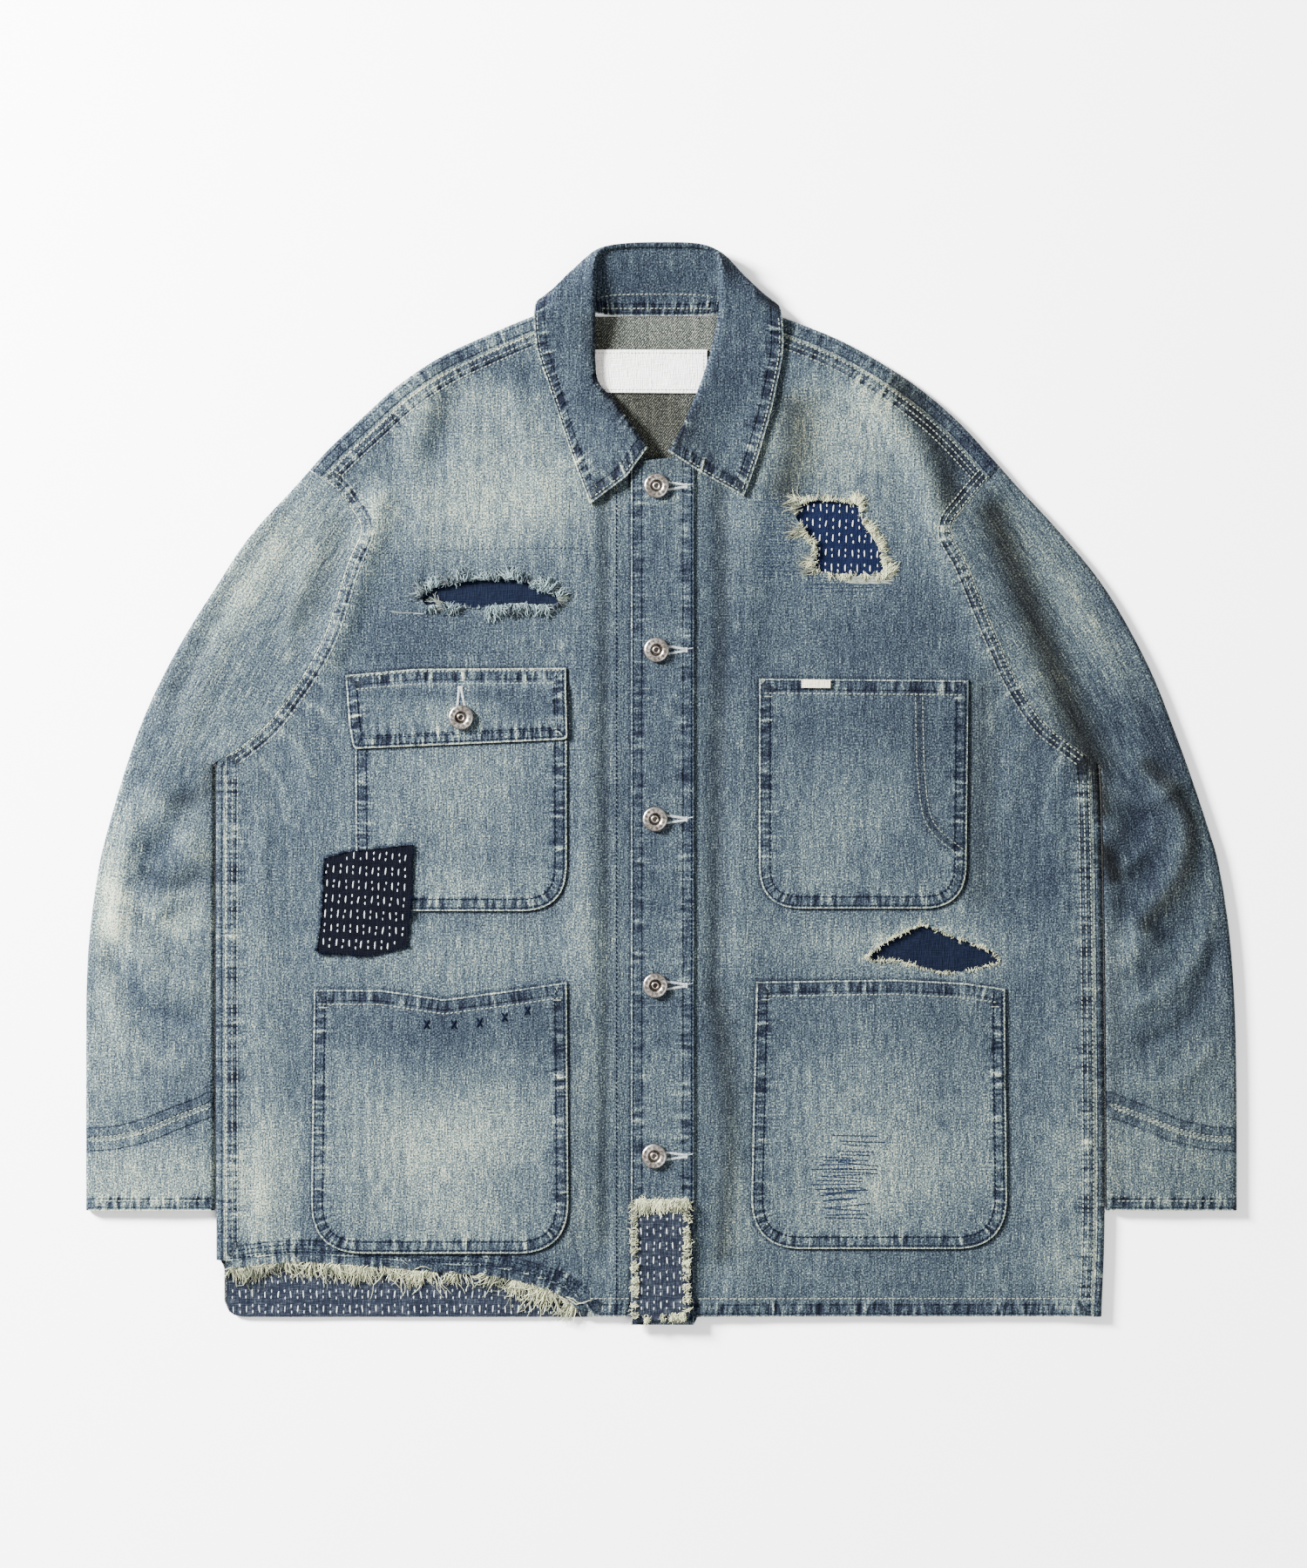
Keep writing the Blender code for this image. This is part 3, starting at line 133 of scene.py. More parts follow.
# Sleeves
SLEEVE_OUTER_LEFT = [
    (245.4, 229.9), (289.3, 181.8), (318.2, 146.5), (339, 112.6), (356.8, 77.3), (371.3, 40.3), (384.1, 5),
    (396.9, -33.6), (404.1, -59.3), (411.6, -107), (415.6, -161.3), (417, -226.4), (417, -309),
]
SLEEVE_OUTER_RIGHT = [
    (-255, 227.7), (-297.7, 180.3), (-322.6, 143.3), (-347.1, 104.3), (-368.4, 63.6), (-384, 24.7),
    (-398.5, -23), (-407.4, -58.3), (-414, -104.9), (-416.6, -144), (-417, -204.4), (-417, -309),
]
SLEEVE_CLEARANCE = 0.8
WEAVE_SHIFT = 700  # keeps the sleeves' weave apart from the body's
CUFF_SEAM = [(417, -257.8), (397, -256.7), (373.6, -251.3), (352, -242.6), (323, -231.8)]
CUFF_END_Y = -309.0
SEAM_RUFFLE = 0.35
END_RUFFLE = 1.2
SLEEVE_AXIS = [(230, 200), (270, 140), (305, 82), (336, 20), (356, -50), (366, -150), (368, -300)]

# Folds of the cloth: height, width, points. A trough has a negative height.
BODY_FOLDS = [
    (3.6, 11, [(148.6, 285.9), (163, 269.1), (184.7, 241.4), (194.9, 213.6), (200, 192)]),
    (-1.6, 12, [(176, 283), (200, 250), (216, 222)]),
    (-1.8, 10, [(-149.5, 292), (-156, 268), (-161.5, 240)]),
    (2, 12, [(-172, 280), (-180, 246)]),
    (3.4, 10, [(-205, 205), (-209, 184.3), (-219, 155), (-233, 112), (-242, 92)]),
    (2, 13, [(209, 168), (222, 132), (238, 95)]),
    (1.3, 16, [(-294, -40), (-291, -180), (-287, -330)]),
    (1.2, 16, [(290, -40), (292, -180), (290, -350)]),
    (1.6, 15, [(-57, 60), (-57, 0), (-56, -200), (-55, -310)]),
    (1.6, 15, [(60, 190), (56, 0), (56, -200), (54, -370)]),
]
SLEEVE_FOLDS = [
    (3.2, 11, [(334.3, 21.1), (366.4, -3.1), (381, -30), (373.6, -74.5), (358.5, -91.9), (336.8, -126.6)]),
    (-2.4, 13, [(346, -22), (352, -60)]),
    (2.4, 12, [(-383.3, -20.3), (-394, -60), (-399, -100.5)]),
    (-2.2, 11, [(-341, -10), (-366, -50)]),
    (2.8, 10, [(-362, -26), (-345, -37), (-332, -48)]),
    (2.2, 12, [(-392, -100), (-363, -137), (-336, -148)]),
]

# Finer creases that only the shells have
BODY_CREASES = [
    (-1, 4.5, [(-39.5, 222), (-40.5, 100), (-39.5, -80), (-40.5, -340)]),
    (0.8, 3, [(-34.5, 224), (-34.8, 60), (-34.5, -200), (-34.5, -386)]),
    (-1, 5, [(44, 212), (45, 130), (40.5, 20), (39, -160)]),
    (0.9, 5, [(-252, 80), (-232, 66)]),
    (0.8, 5, [(-276, 48), (-258, 16), (-256, -10)]),
    (0.8, 5, [(-296, 20), (-290, -20), (-292, -70)]),
    (0.8, 5, [(270, 46), (256, 22), (252, -20)]),
    (0.7, 5, [(292, 24), (284, -20), (286, -60)]),
    (0.8, 6, [(-110, 300), (-96, 240), (-84, 205)]),
    (0.7, 7, [(-182, 240), (-172, 190), (-176, 160)]),
    (0.8, 7, [(112, 300), (102, 250), (106, 226)]),
    (-0.7, 8, [(90, 280), (94, 240), (88, 215)]),
    (0.6, 5, [(-290, -352), (-296, -330), (-288, -300)]),
    (0.6, 6, [(262, -120), (282, -148), (300, -156)]),
    (0.6, 5, [(-60, -344), (-46, -352), (-30, -366)]),
]
WHISKERS = [
    (0.9, 2.2, [(-262, 60), (-244, 52), (-232, 38)]),
    (0.8, 2, [(-276, 38), (-262, 26), (-254, 8)]),
    (0.8, 2, [(-290, 16), (-276, 0), (-272, -26)]),
    (0.8, 2, [(-252, 86), (-236, 84), (-222, 74)]),
    (0.9, 2.2, [(262, 70), (246, 62), (236, 46)]),
    (0.8, 2, [(278, 44), (264, 30), (258, 10)]),
    (0.8, 2, [(294, 22), (282, 4), (280, -24)]),
    (0.7, 1.8, [(-86, 84), (-74, 92), (-70, 104)]),
    (0.7, 1.8, [(220, 66), (236, 74), (250, 70)]),
]
PLACKET_CREASES = [
    (0.5, 2.6, [(21, 214), (12, 206), (-4, 203)]),
    (0.45, 2.6, [(20, 116), (8, 108), (-12, 112)]),
    (0.45, 2.4, [(21, 74), (10, 66), (4, 52)]),
    (0.45, 2.6, [(20, -6), (8, -12), (-16, -8)]),
    (0.4, 2.4, [(20, -50), (8, -60), (-10, -62)]),
    (0.45, 2.6, [(20, -126), (6, -132), (-16, -130)]),
    (0.4, 2.4, [(20, -170), (8, -178)]),
    (0.45, 2.6, [(20, -250), (8, -256), (-14, -252)]),
]
SLEEVE_CREASES = [
    (2.3, 6, [(-372, -8), (-352, -20), (-334, -20)]),
    (2.3, 6, [(-404, -72), (-386, -84), (-362, -92)]),
    (-2.1, 6, [(-372, -66), (-350, -74), (-334, -70)]),
    (1.9, 6, [(-366, -96), (-346, -112), (-334, -120)]),
    (-1.9, 7, [(-398, -128), (-372, -160), (-340, -172)]),
    (1.7, 7, [(-404, -150), (-384, -186), (-350, -206)]),
    (1.5, 8, [(-262, 196), (-300, 140), (-330, 80), (-350, 20)]),
    (-1.5, 9, [(-276, 196), (-316, 138), (-350, 70)]),
    (1.9, 6, [(-250, 170), (-262, 140), (-272, 96)]),
    (2.3, 6, [(330, -6), (352, -14), (372, -2)]),
    (-2.3, 6, [(334, -88), (352, -96), (368, -112)]),
    (2.1, 6, [(336, -60), (352, -46), (356, -32)]),
    (1.9, 7, [(400, -70), (394, -110), (372, -146), (342, -160)]),
    (-1.7, 7, [(404, -120), (384, -168), (350, -190)]),
    (1.5, 8, [(254, 200), (296, 140), (330, 80), (352, 20)]),
    (-1.2, 10, [(236, 170), (262, 130), (300, 80)]),
    (1.3, 7, [(400, -190), (372, -216), (340, -214)]),
]

# Pockets and patches: corners with radii. A pocket's first four go down one side, along the bottom and up.
POCKET_CHEST_RIGHT = [(-222, 68, 0), (-221, -91.9, 33), (-68.5, -91.9, 33), (-68.5, 68, 0)]
FLAP_CHEST_RIGHT = [
    (-228.9, 78.8, 0), (-225.8, 42.1, 0), (-222.8, 25.5, 3), (-141.8, 29.1, 0), (-67.8, 32.4, 3),
    (-69.3, 84.1, 0), (-178.5, 83.3, 0),
]
POCKET_HIP_RIGHT = [
    (-251.5, -149, 0), (-254, -340, 38), (-67, -340, 38), (-68.5, -143.6, 0), (-111.3, -149.9, 0),
    (-157.1, -155.9, 0), (-202.9, -149.2, 0),
]
POCKET_CHEST_LEFT = [(70.8, 76.3, 0), (70.5, -90.1, 31), (220.5, -90.1, 31), (222.2, 75, 0)]
POCKET_HIP_LEFT = [
    (68.7, -143.3, 0), (64.2, -336.6, 38), (250.5, -336.6, 38), (248.5, -148.4, 0), (219.9, -144.2, 0),
    (169.2, -141.7, 0),
]
POCKET_TAB = [(101.4, 75.6, 0), (101.4, 69.7, 0), (122.2, 69.5, 0), (122.2, 75.4, 0)]
PEN_DIVISION = [(186.5, 66.5), (187.7, 14.8), (191.3, -18.6), (197.8, -33.1), (209.8, -43.8), (219.1, -51)]
PATCH_POCKET = [
    (-227.4, -49.2, 0), (-244.1, -53.9, 0), (-245.7, -91.9, 0), (-249.5, -121.7, 2), (-211.3, -124.3, 0),
    (-184.6, -117.9, 2), (-181.5, -85.8, 0), (-180, -43.8, 0),
]
PATCH_PLACKET = [(-21.6, -300.4, 0), (-20.8, -389.6, 2), (20.4, -387, 2), (20, -303, 0), (12.8, -300.8, 0)]
PATCH_HEM = [(-315.2, -332, 0), (-315.2, -386.4, 12), (-52, -386.4, 0), (-52, -350, 0), (-120, -336, 0)]
PATCH_FALL = 8.0
POCKET_GAPE = 1.6
MOUTH_BAND = 8.0
MOUTH_FADE = 45.0

# Rips and the cloth behind them
RIP_CHEST_RIGHT = [
    (-174.6, 136), (-169.3, 141.4), (-147.9, 146.7), (-126.6, 148.4), (-103.6, 148.4), (-88.4, 141.4),
    (-67, 133.7), (-80.8, 129.2), (-103.6, 129.9), (-134.2, 127.6), (-157.1, 129.9), (-169.3, 128.4),
]
RIP_CHEST_LEFT = [
    (94.1, 200.8), (110.8, 205.8), (138.2, 204.4), (144, 201.5), (145.5, 189.9), (152.7, 181.3),
    (158.5, 169.7), (160.7, 158.1), (164.2, 152.3), (139.7, 151.5), (119.4, 153), (110.8, 155.9),
    (112.1, 171), (102.1, 185.5),
]
RIP_WAIST_LEFT = [
    (148.1, -125.7), (160.7, -115.6), (175.9, -107.1), (188.6, -102), (202.9, -107.1), (219.8, -113.7),
    (238.3, -120.6), (245.1, -129), (228.2, -134.1), (206.3, -137.5), (186, -132.4), (169.2, -127.3),
    (152.3, -128.2),
]
BACKING_CHEST_RIGHT = [(-194, 166, 3), (-194, 98, 3), (-59, 98, 3), (-59, 167, 3)]
BACKING_CHEST_LEFT = [(80, 214, 3), (94, 140, 3), (176, 140, 3), (166, 214, 3)]
BACKING_WAIST_LEFT = [(138, -92, 3), (138, -150, 3), (254, -150, 3), (254, -92, 3)]

# Collar stations: neck seam, roll, middle and outer edge of the fall
COLLAR_RIGHT_FRONT = [
    ((-13.6, 240), (-10.5, 242.9), (-25, 222.5), (-51.7, 202.8)),
    ((-20, 247), (-17, 252.5), (-36, 232), (-56, 214.5)),
    ((-29, 258.5), (-25.8, 264.5), (-45, 246), (-61.5, 229)),
    ((-40, 273), (-36.5, 279), (-54, 262), (-67.5, 246)),
    ((-51.5, 289), (-46.5, 291), (-62, 280), (-75, 268.5)),
    ((-56.5, 312), (-48.8, 306), (-67, 300), (-82.5, 291)),
    ((-57, 328), (-48.7, 320), (-71, 318), (-90, 314)),
]
COLLAR_LEFT_FRONT = [
    ((7.5, 238.5), (5.7, 240.3), (30, 224.5), (59.5, 208.4)),
    ((13, 244.5), (9.5, 247), (36, 234), (64, 220)),
    ((20.5, 254.5), (15.5, 257.5), (43, 246), (69.5, 235.6)),
    ((29.5, 268), (21, 270), (48, 260), (74, 251)),
    ((38, 284), (27.3, 284.8), (54, 276), (79, 268.5)),
    ((46.5, 306), (33.5, 303), (59, 298), (84, 291)),
    ((50, 325), (38.5, 321), (63, 318), (88, 314)),
]
COLLAR_RIGHT_BACK = [
    ((-57, 342.5, 6.2), (-48.6, 341, 10.2), (-74, 347.5, 11.8), (-92, 341.2, 9.6)),
    ((-54, 344.5, 3.6), (-48.5, 358, 12.5), (-73.5, 361, 11), (-86, 352.5, 1.5)),
    ((-47, 342, 1.6), (-47.5, 374, 14.5), (-61.5, 373.5, 9.5), (-66, 356, 1.5)),
    ((-36, 340.2, 1.3), (-42, 385, 15.5), (-47, 386, 8.5), (-44, 357, 1.5)),
    ((-20, 339.8, 1.25), (-25, 388, 16), (-27, 390.4, 8.2), (-24, 355, 1.5)),
]
COLLAR_CENTRE_BACK = ((-2, 339.8, 1.25), (-1.5, 388.5, 16), (-1.5, 390.5, 8.2), (-1.5, 355, 1.5))
COLLAR_LEFT_BACK = [
    ((50, 341.5, 6.2), (42.2, 341, 10.2), (67, 345.5, 11.8), (87, 336.5, 9.6)),
    ((48, 343.5, 3.6), (43, 358, 12.5), (67.5, 358, 11), (82, 348.8, 1.5)),
    ((42, 341.4, 1.6), (42.6, 372, 14.5), (56.5, 370, 9.5), (62, 354, 1.5)),
    ((32, 340.2, 1.3), (38.5, 384, 15.5), (44, 383.5, 8.5), (40, 357, 1.5)),
    ((18, 339.8, 1.25), (24, 388, 16), (26, 390.4, 8.2), (22, 355, 1.5)),
]
LEAF_LIFT = 3.2
LEAF_REST = 2.1
LEAF_STEP_WIDTH = 12.0  # the fronts' edges under the leaves: width and middle of the step over each
LEAF_STEP_RIGHT_X = -38.0
LEAF_STEP_LEFT_X = 40.0
ROLL_SHAPE = ((-1.5, 1.3), (0.9, 1.6))  # under and above the roll: rise, and how far behind it
SECTION_COUNTS = (5, 5, 2, 2, 4, 4, 4, 4)  # points up the stand, round the roll and down the fall
STAND_COUNT = 12
FALL_COUNT = 17
STATION_STEPS = 5

NECK_LABEL = [(-52, 315, 0), (-52, 284, 0), (33, 283.5, 0), (33, 315, 0)]
BUTTON_CENTRES = [(-3.5, 215.8), (-3.6, 97), (-4.6, -25.5), (-4.4, -145.8), (-5.2, -269.3)]
FLAP_BUTTON_CENTRE = (-144.9, 48.2)
BUTTON_OFF_CLOTH = 0.35
LABEL_GAP = 0.3

# Fading and painted shade: strength, centre x and y, radii across and along, turn in degrees. A positive
# strength is paler. Darker spots towards the wearer's left, away from the light, are partly painted shade.
BODY_FADES_AND_SHADE = [
    (0.22, -128, 262, 58, 66, 0), (0.14, -120, 196, 80, 34, 0), (-0.10, -160, 104, 76, 36, 0),
    (-0.04, -50, 110, 18, 110, 0), (0.22, -290, -292, 26, 66, 0), (0.12, -150, -120, 112, 20, 0),
    (0.05, -268, -60, 26, 90, 0), (0.14, 116, 262, 52, 60, 0), (0.10, 150, 214, 50, 36, 0),
    (-0.10, 160, 110, 86, 40, 0), (-0.12, 56, 60, 20, 130, 0), (0.16, 292, -310, 26, 66, 0),
    (0.17, 160, -116, 100, 18, 0), (-0.12, 274, -60, 24, 90, 0), (-0.12, -100, -352, 60, 10, 0),
    (0.06, 60, -300, 26, 60, 0), (-0.24, -128, 304, 76, 12, -14), (-0.10, 50, -210, 14, 90, 0),
    (-0.10, 118, 306, 76, 12, 14), (-0.12, 0, -40, 16, 260, 0), (-0.14, 222, 250, 30, 24, 0),
    (-0.10, -236, 250, 34, 22, 0), (-0.07, 286, -330, 22, 50, 0), (-0.05, 282, -60, 20, 70, 0),
    (-0.07, 150, -379, 150, 9, 0), (-0.06, -282, -60, 20, 70, 0), (0.14, 0, -225, 14, 40, 0),
    (0.05, 0, 40, 14, 50, 0),
]
COLLAR_FADES = [(0.16, -62, 236, 16, 20, 0), (0.08, 60, 270, 16, 26, 0), (-0.06, -2, 366, 70, 20, 0)]
POCKET_FADES = [
    (0.13, -142, -22, 50, 44, 0), (-0.16, -168, -176, 80, 20, 0), (0.28, -162, -262, 66, 54, 0),
    (-0.12, 150, 48, 66, 20, 0), (0.06, 142, -24, 50, 34, 0), (0.10, 145, -74, 50, 14, 0),
    (-0.06, 158, -172, 84, 20, 0), (0.07, 236, -230, 16, 44, 0), (0.26, 158, -276, 64, 48, 0),
    (0.06, -150, 50, 60, 10, 0), (0.14, -142, -76, 54, 14, 0), (0.10, -162, -318, 66, 16, 0),
    (-0.14, -98, 56, 22, 9, 0), (-0.10, -150, 66, 60, 4, 0), (-0.20, 187, 24, 4.5, 44, 0),
    (-0.16, 193, -22, 4.5, 14, 20), (-0.16, 208, -42, 4.5, 14, 49), (-0.07, 206, 22, 11, 42, 0),
]
# The darker spots on the left sleeve are painted shade, as that sleeve lies away from the light.
SLEEVE_FADES_AND_SHADE = [
    (0.15, -300, 150, 30, 62, -40), (-0.08, -322, 98, 26, 28, 0), (-0.08, -356, -16, 46, 40, 0),
    (0.16, -398, -90, 12, 70, 0), (-0.08, -366, -66, 22, 40, 0), (-0.09, -354, -180, 30, 40, 0),
    (0.18, -376, -286, 46, 30, 0), (0.20, -345, -100, 20, 8, 12), (0.16, -350, -80, 18, 6, 10),
    (-0.10, 300, 140, 40, 80, 40), (-0.30, 350, 20, 40, 50, 0), (-0.22, 372, -90, 46, 60, 0),
    (-0.04, 374, -200, 50, 50, 0), (0.02, 376, -290, 50, 34, 0), (0.17, 318, 104, 15, 70, 40),
    (-0.16, 324, -56, 8, 14, 0), (-0.03, 362, -60, 14, 50, 0),
]

# Painted shade in hollows, folds and on the sleeve that lies away from the light: strength, width and points
SHADES = [
    (0.55, 6, [(-40.5, 224), (-41, 60), (-40, -120), (-41, -330)]),
    (0.60, 7, [(43, 212), (45, 120), (41, 0), (39.5, -160)]),
    (0.80, 9, [(39.5, -150), (46, -200), (50, -260), (44, -340)]),
    (1, 15, [(98, 272), (98, 238), (90, 214)]),
    (0.98, 12, [(172, 288), (190, 262), (206, 230), (210, 206)]),
    (1.12, 17, [(240, 196), (253, 163), (278, 100), (303, 38), (313, 14)]),
    (0.40, 12, [(-160, 300), (-160, 262)]),
    (0.45, 10, [(-238, 186), (-246, 150), (-262, 120)]),
    (0.30, 12, [(-276, 190), (-318, 130), (-352, 60)]),
    (0.65, 8, [(-327, 10), (-331, -6), (-350, -14)]),
    (0.40, 16, [(-350, -76), (-336, -64)]),
    (1.02, 8.5, [(352, 14), (366, 0), (383, -29), (377, -66), (350, -102)]),
    (1.15, 10, [(322, -48), (328, -66)]),
    (1.15, 9, [(297, 48), (306, 30), (315, 8), (320, -20)]),
    (0.24, 60, [(272, 160), (340, 60), (378, -40), (384, -290)]),
    (0.50, 12, [(330, -10), (326, -120), (324, -300)]),
    (0.30, 10, [(-63, -160), (-62, -330)]),
    (0.50, 12, [(232, 70), (230, -80)]),
    (0.30, 5.4, [(187, 62), (188.2, 14), (191.8, -18), (199, -33), (211, -44)]),
    (0.90, 24, [(-16, 288), (4, 262)]),
    (0.60, 10, [(-50, 330), (-44, 300), (-30, 270)]),
    (0.40, 7, [(-30, 232), (0, 230), (36, 236)]),
]

# Stitched lines
STITCH_PITCH = 3.2
STITCH_LENGTH = 2.3
STITCH_WIDTH = 0.85
STITCH_LENGTHS = (0.88, 1.1)  # shares of the length, at random
STITCH_SLANT = 6.0  # degrees from the row, and how much they vary
STITCH_STRAY = 3.0
FELLED_ROWS = (1.6, 5.4, 9.2)
POCKET_ROWS = (1.8, 8.2)
FLAP_ROWS = (2.0, 7.2)
MOUTH_ROW = 10.5
DIVISION_ROWS = (-2.6, 2.6)
RAW_HEM_ROWS = (7.4, 12.6)
CUFF_ROWS = (-1.6, 1.8)
CUFF_END_ROW = 7.0
EDGE_ROW = 1.8
FACING_ROW_X = -32.6
COLLAR_ROW = 2.6
COLLAR_PARTS = 23  # parts of the collar's length, of which these rows take some
LEAF_ROW_PARTS = 7
STAND_ROW_PARTS = (9, 14)
DIVISION_WIDTH = 0.55
BAR_TACK_PLACE = (4.0, -9.0)  # inward and up from a pocket's top corner
BAR_TACK_LENGTH = 5.0
BAR_TACK = {"pitch": 1.1, "length": 1.4}
CROSS_SIZE = (8.6, 1.5)
PATCH_CROSSES = [(-170, -174), (-150.4, -174), (-131.7, -172.6), (-113.6, -168.7), (-97.1, -163.9)]
CHEST_PATCH_LINE = [(-218, 166), (-120, 170.5), (-54, 171), (-54, 97), (-140, 95), (-218, 94)]

# Sashiko
SASHIKO_BAND = 10.7
SASHIKO_COLUMN = 4.7
SASHIKO_LONG = ((0, 5.6),)
SASHIKO_SHORT = ((2.3, 2.2), (-2.3, 2.2))
DASH_SIZE = (0.92, 0.8)
DASH_MARGIN = 1.8  # bare cloth inside an outline
DASH_STRAY = 0.25
DASH_LENGTHS = (0.85, 1.1)
DASH_LEAN = 4.0
BAND_SHIFT = 0.3

# Screen brightness, 0 to 255, and the light from a surface that shows as it
SCREEN = (0, 27, 41, 69, 98, 124, 139, 159, 180, 197, 215, 228, 244, 255)
LIGHT_OF = (0.0, 0.01, 0.02, 0.05, 0.10, 0.18, 0.25, 0.40, 0.67, 1.0, 1.5, 2.0, 2.8, 3.6)
WHITE_LIGHT = 6.4  # from a white surface on this stage


def seen(red, green, blue):
    """The colour of a surface that shows on the screen as this one, 0 to 255."""
    return (*np.interp((red, green, blue), SCREEN, LIGHT_OF) / WHITE_LIGHT, 1.0)


# Lines in the plane


def curved(given, counts):
    """A curve through points, with a count of spans between each two of them."""
    padded = np.vstack([2 * given[0] - given[1], given, 2 * given[-1] - given[-2]])
    made = [given[0]]
    for i, count in enumerate(counts):
        before, start, end, after = padded[i : i + 4]
        for t in np.arange(1, count + 1) / count:
            bend = 2 * start + (end - before) * t + (2 * before - 5 * start + 4 * end - after) * t * t
            made.append((bend + (3 * start - before - 3 * end + after) * t**3) / 2)
    return np.array(made)


def spans(start, end, step):
    """How many steps fit between two points."""
    return max(1, round(float(np.linalg.norm(end - start)) / step))


def smooth(points, step=EDGE_STEP):
    """Points about a step apart on a curve through the given ones, in any number of dimensions."""
    given = np.array(points, float)
    return curved(given, [spans(start, end, step) for start, end in zip(given, given[1:])])


def straight(points, step=EDGE_STEP):
    """Points about a step apart on straight lines between the given ones."""
    given = [np.array(point, float) for point in points]
    made = [given[0]]
    for start, end in zip(given, given[1:]):
        count = spans(start, end, step)
        made += [start + (end - start) * k / count for k in range(1, count + 1)]
    return np.array(made)


def rounded_line(corners, step=EDGE_STEP):
    """An open line through corners that each carry a radius, apart from its two ends."""
    spots = [np.array(corner[:2], float) for corner in corners]
    made = [spots[0]]
    for before, corner, after, (*_, radius) in zip(spots, spots[1:], spots[2:], corners[1:]):
        if not radius:
            made.append(corner)
            continue
        back, on = unit(before - corner), unit(after - corner)
        for t in np.linspace(0, 1, max(3, round(radius * 1.5 / step))):
            made.append(corner + back * radius * (1 - t) ** 2 + on * radius * t**2)
    return straight([*made, spots[-1]], step)


def rounded(corners, step=EDGE_STEP):
    """A closed outline from corners that each carry a radius. Its first corner is a sharp one."""
    return rounded_line([*corners, corners[0]], step)[:-1]


def unit(vectors):
    """Vectors with a length of 1, from one or from rows of them."""
    return vectors / np.maximum(np.linalg.norm(vectors, axis=-1, keepdims=True), TINY)


def leftward(headings):
    """Plane directions a quarter turn to the left of the given ones."""
    return np.column_stack([-headings[:, 1], headings[:, 0]])


def rotated(vectors, angle):
    """Plane vectors turned by an angle each."""
    x, y = vectors[:, 0], vectors[:, 1]
    return np.column_stack([x * np.cos(angle) - y * np.sin(angle), x * np.sin(angle) + y * np.cos(angle)])


def offset(line, distance):
    """The line moved to its left."""
    ahead = np.vstack([line[1:] - line[:-1], line[-1:] - line[-2:-1]])
    behind = unit(np.vstack([ahead[:1], ahead[:-1]]))
    ahead = unit(ahead)
    along = unit(ahead + behind)
    mitre = np.maximum(np.abs(np.sum(along * ahead, axis=1)), 0.5)
    return line + leftward(along) * (distance / mitre)[:, None]


def joined(*lines):
    """One closed outline from lines end to end, without doubled points."""
    points = []
    for line in lines:
        for point in np.asarray(line, float):
            if not points or np.hypot(*(point - points[-1])) > 0.5:
                points.append(point)
    while np.hypot(*(points[0] - points[-1])) < 0.5:
        points.pop()
    return np.array(points)


def closed(line):
    """The line with its first point again at its end."""
    return np.vstack([line, line[:1]])


def nearest(line, x, y, reach=None):
    """Distance of each point from an open line, and how far along the line its nearest spot is. Past the
    reach of the line, if one is given, the distance is infinite."""
    line = np.asarray(line, float)
    x, y = np.asarray(x, float), np.asarray(y, float)
    best, run = np.full(x.shape, np.inf), np.zeros(x.shape)
    near = np.ones(x.shape, bool)
    if reach is not None:
        low, high = line.min(axis=0) - reach, line.max(axis=0) + reach
        near = (x > low[0]) & (x < high[0]) & (y > low[1]) & (y < high[1])
    if not near.any():
        return best, run
    px, py = x[near], y[near]
    closest, along, passed = np.full(px.shape, np.inf), np.zeros(px.shape), 0.0
    for start, end in zip(line, line[1:]):
        span = end - start
        length = max(math.hypot(*span), 1e-6)
        share = np.clip(((px - start[0]) * span[0] + (py - start[1]) * span[1]) / length**2, 0, 1)
        away = np.hypot(px - start[0] - share * span[0], py - start[1] - share * span[1])
        closer = away < closest
        closest = np.where(closer, away, closest)
        along = np.where(closer, passed + share * length, along)
        passed += length
    best[near], run[near] = closest, along
    return best, run


def distance_to(line, x, y, reach=None):
    """Distance of each point from an open line."""
    return nearest(line, x, y, reach)[0]


def inside(outline, x, y):
    """Whether each point lies inside a closed outline."""
    hit = np.zeros(np.shape(x), bool)
    for (x0, y0), (x1, y1) in zip(outline, np.roll(outline, -1, axis=0)):
        if y1 != y0:
            hit ^= ((y0 > y) != (y1 > y)) & (x < (x1 - x0) * (y - y0) / (y1 - y0) + x0)
    return hit


def extended(line, reach=40.0):
    """An open line made longer at both ends."""
    line = np.asarray(line, float)
    before, after = unit(line[0] - line[1]), unit(line[-1] - line[-2])
    return np.vstack([line[0] + before * reach, line, line[-1] + after * reach])


def cross(first, second):
    """How far a plane vector turns to another."""
    return first[0] * second[1] - first[1] * second[0]


def crossing(line, other):
    """The span of a line that first crosses another line, and where."""
    for k, (start, end) in enumerate(zip(line, line[1:])):
        for low, high in zip(other, other[1:]):
            span, across, away = end - start, high - low, low - start
            turn = cross(span, across)
            if abs(turn) < 1e-9:
                continue
            share, other_share = cross(away, across) / turn, cross(away, span) / turn
            if 0 <= share <= 1 and 0 <= other_share <= 1:
                return k, start + span * share
    raise ValueError("the lines do not cross")


def between(line, first, second):
    """The stretch of a line from one crossing line to another, in the line's own direction."""
    line = extended(line)
    ends = [crossing(line, extended(other)) for other in (first, second)]
    (first_span, start), (last_span, end) = sorted(ends, key=lambda found: found[0])
    middle = line[first_span + 1 : last_span + 1]
    apart = np.minimum(np.hypot(*(middle - start).T), np.hypot(*(middle - end).T))
    return np.array([start, *middle[apart > 1], end])


def step_up(value):
    """0 below 0, 1 above 1, and a soft rise between."""
    share = np.clip(value, 0, 1)
    return share * share * (3 - 2 * share)


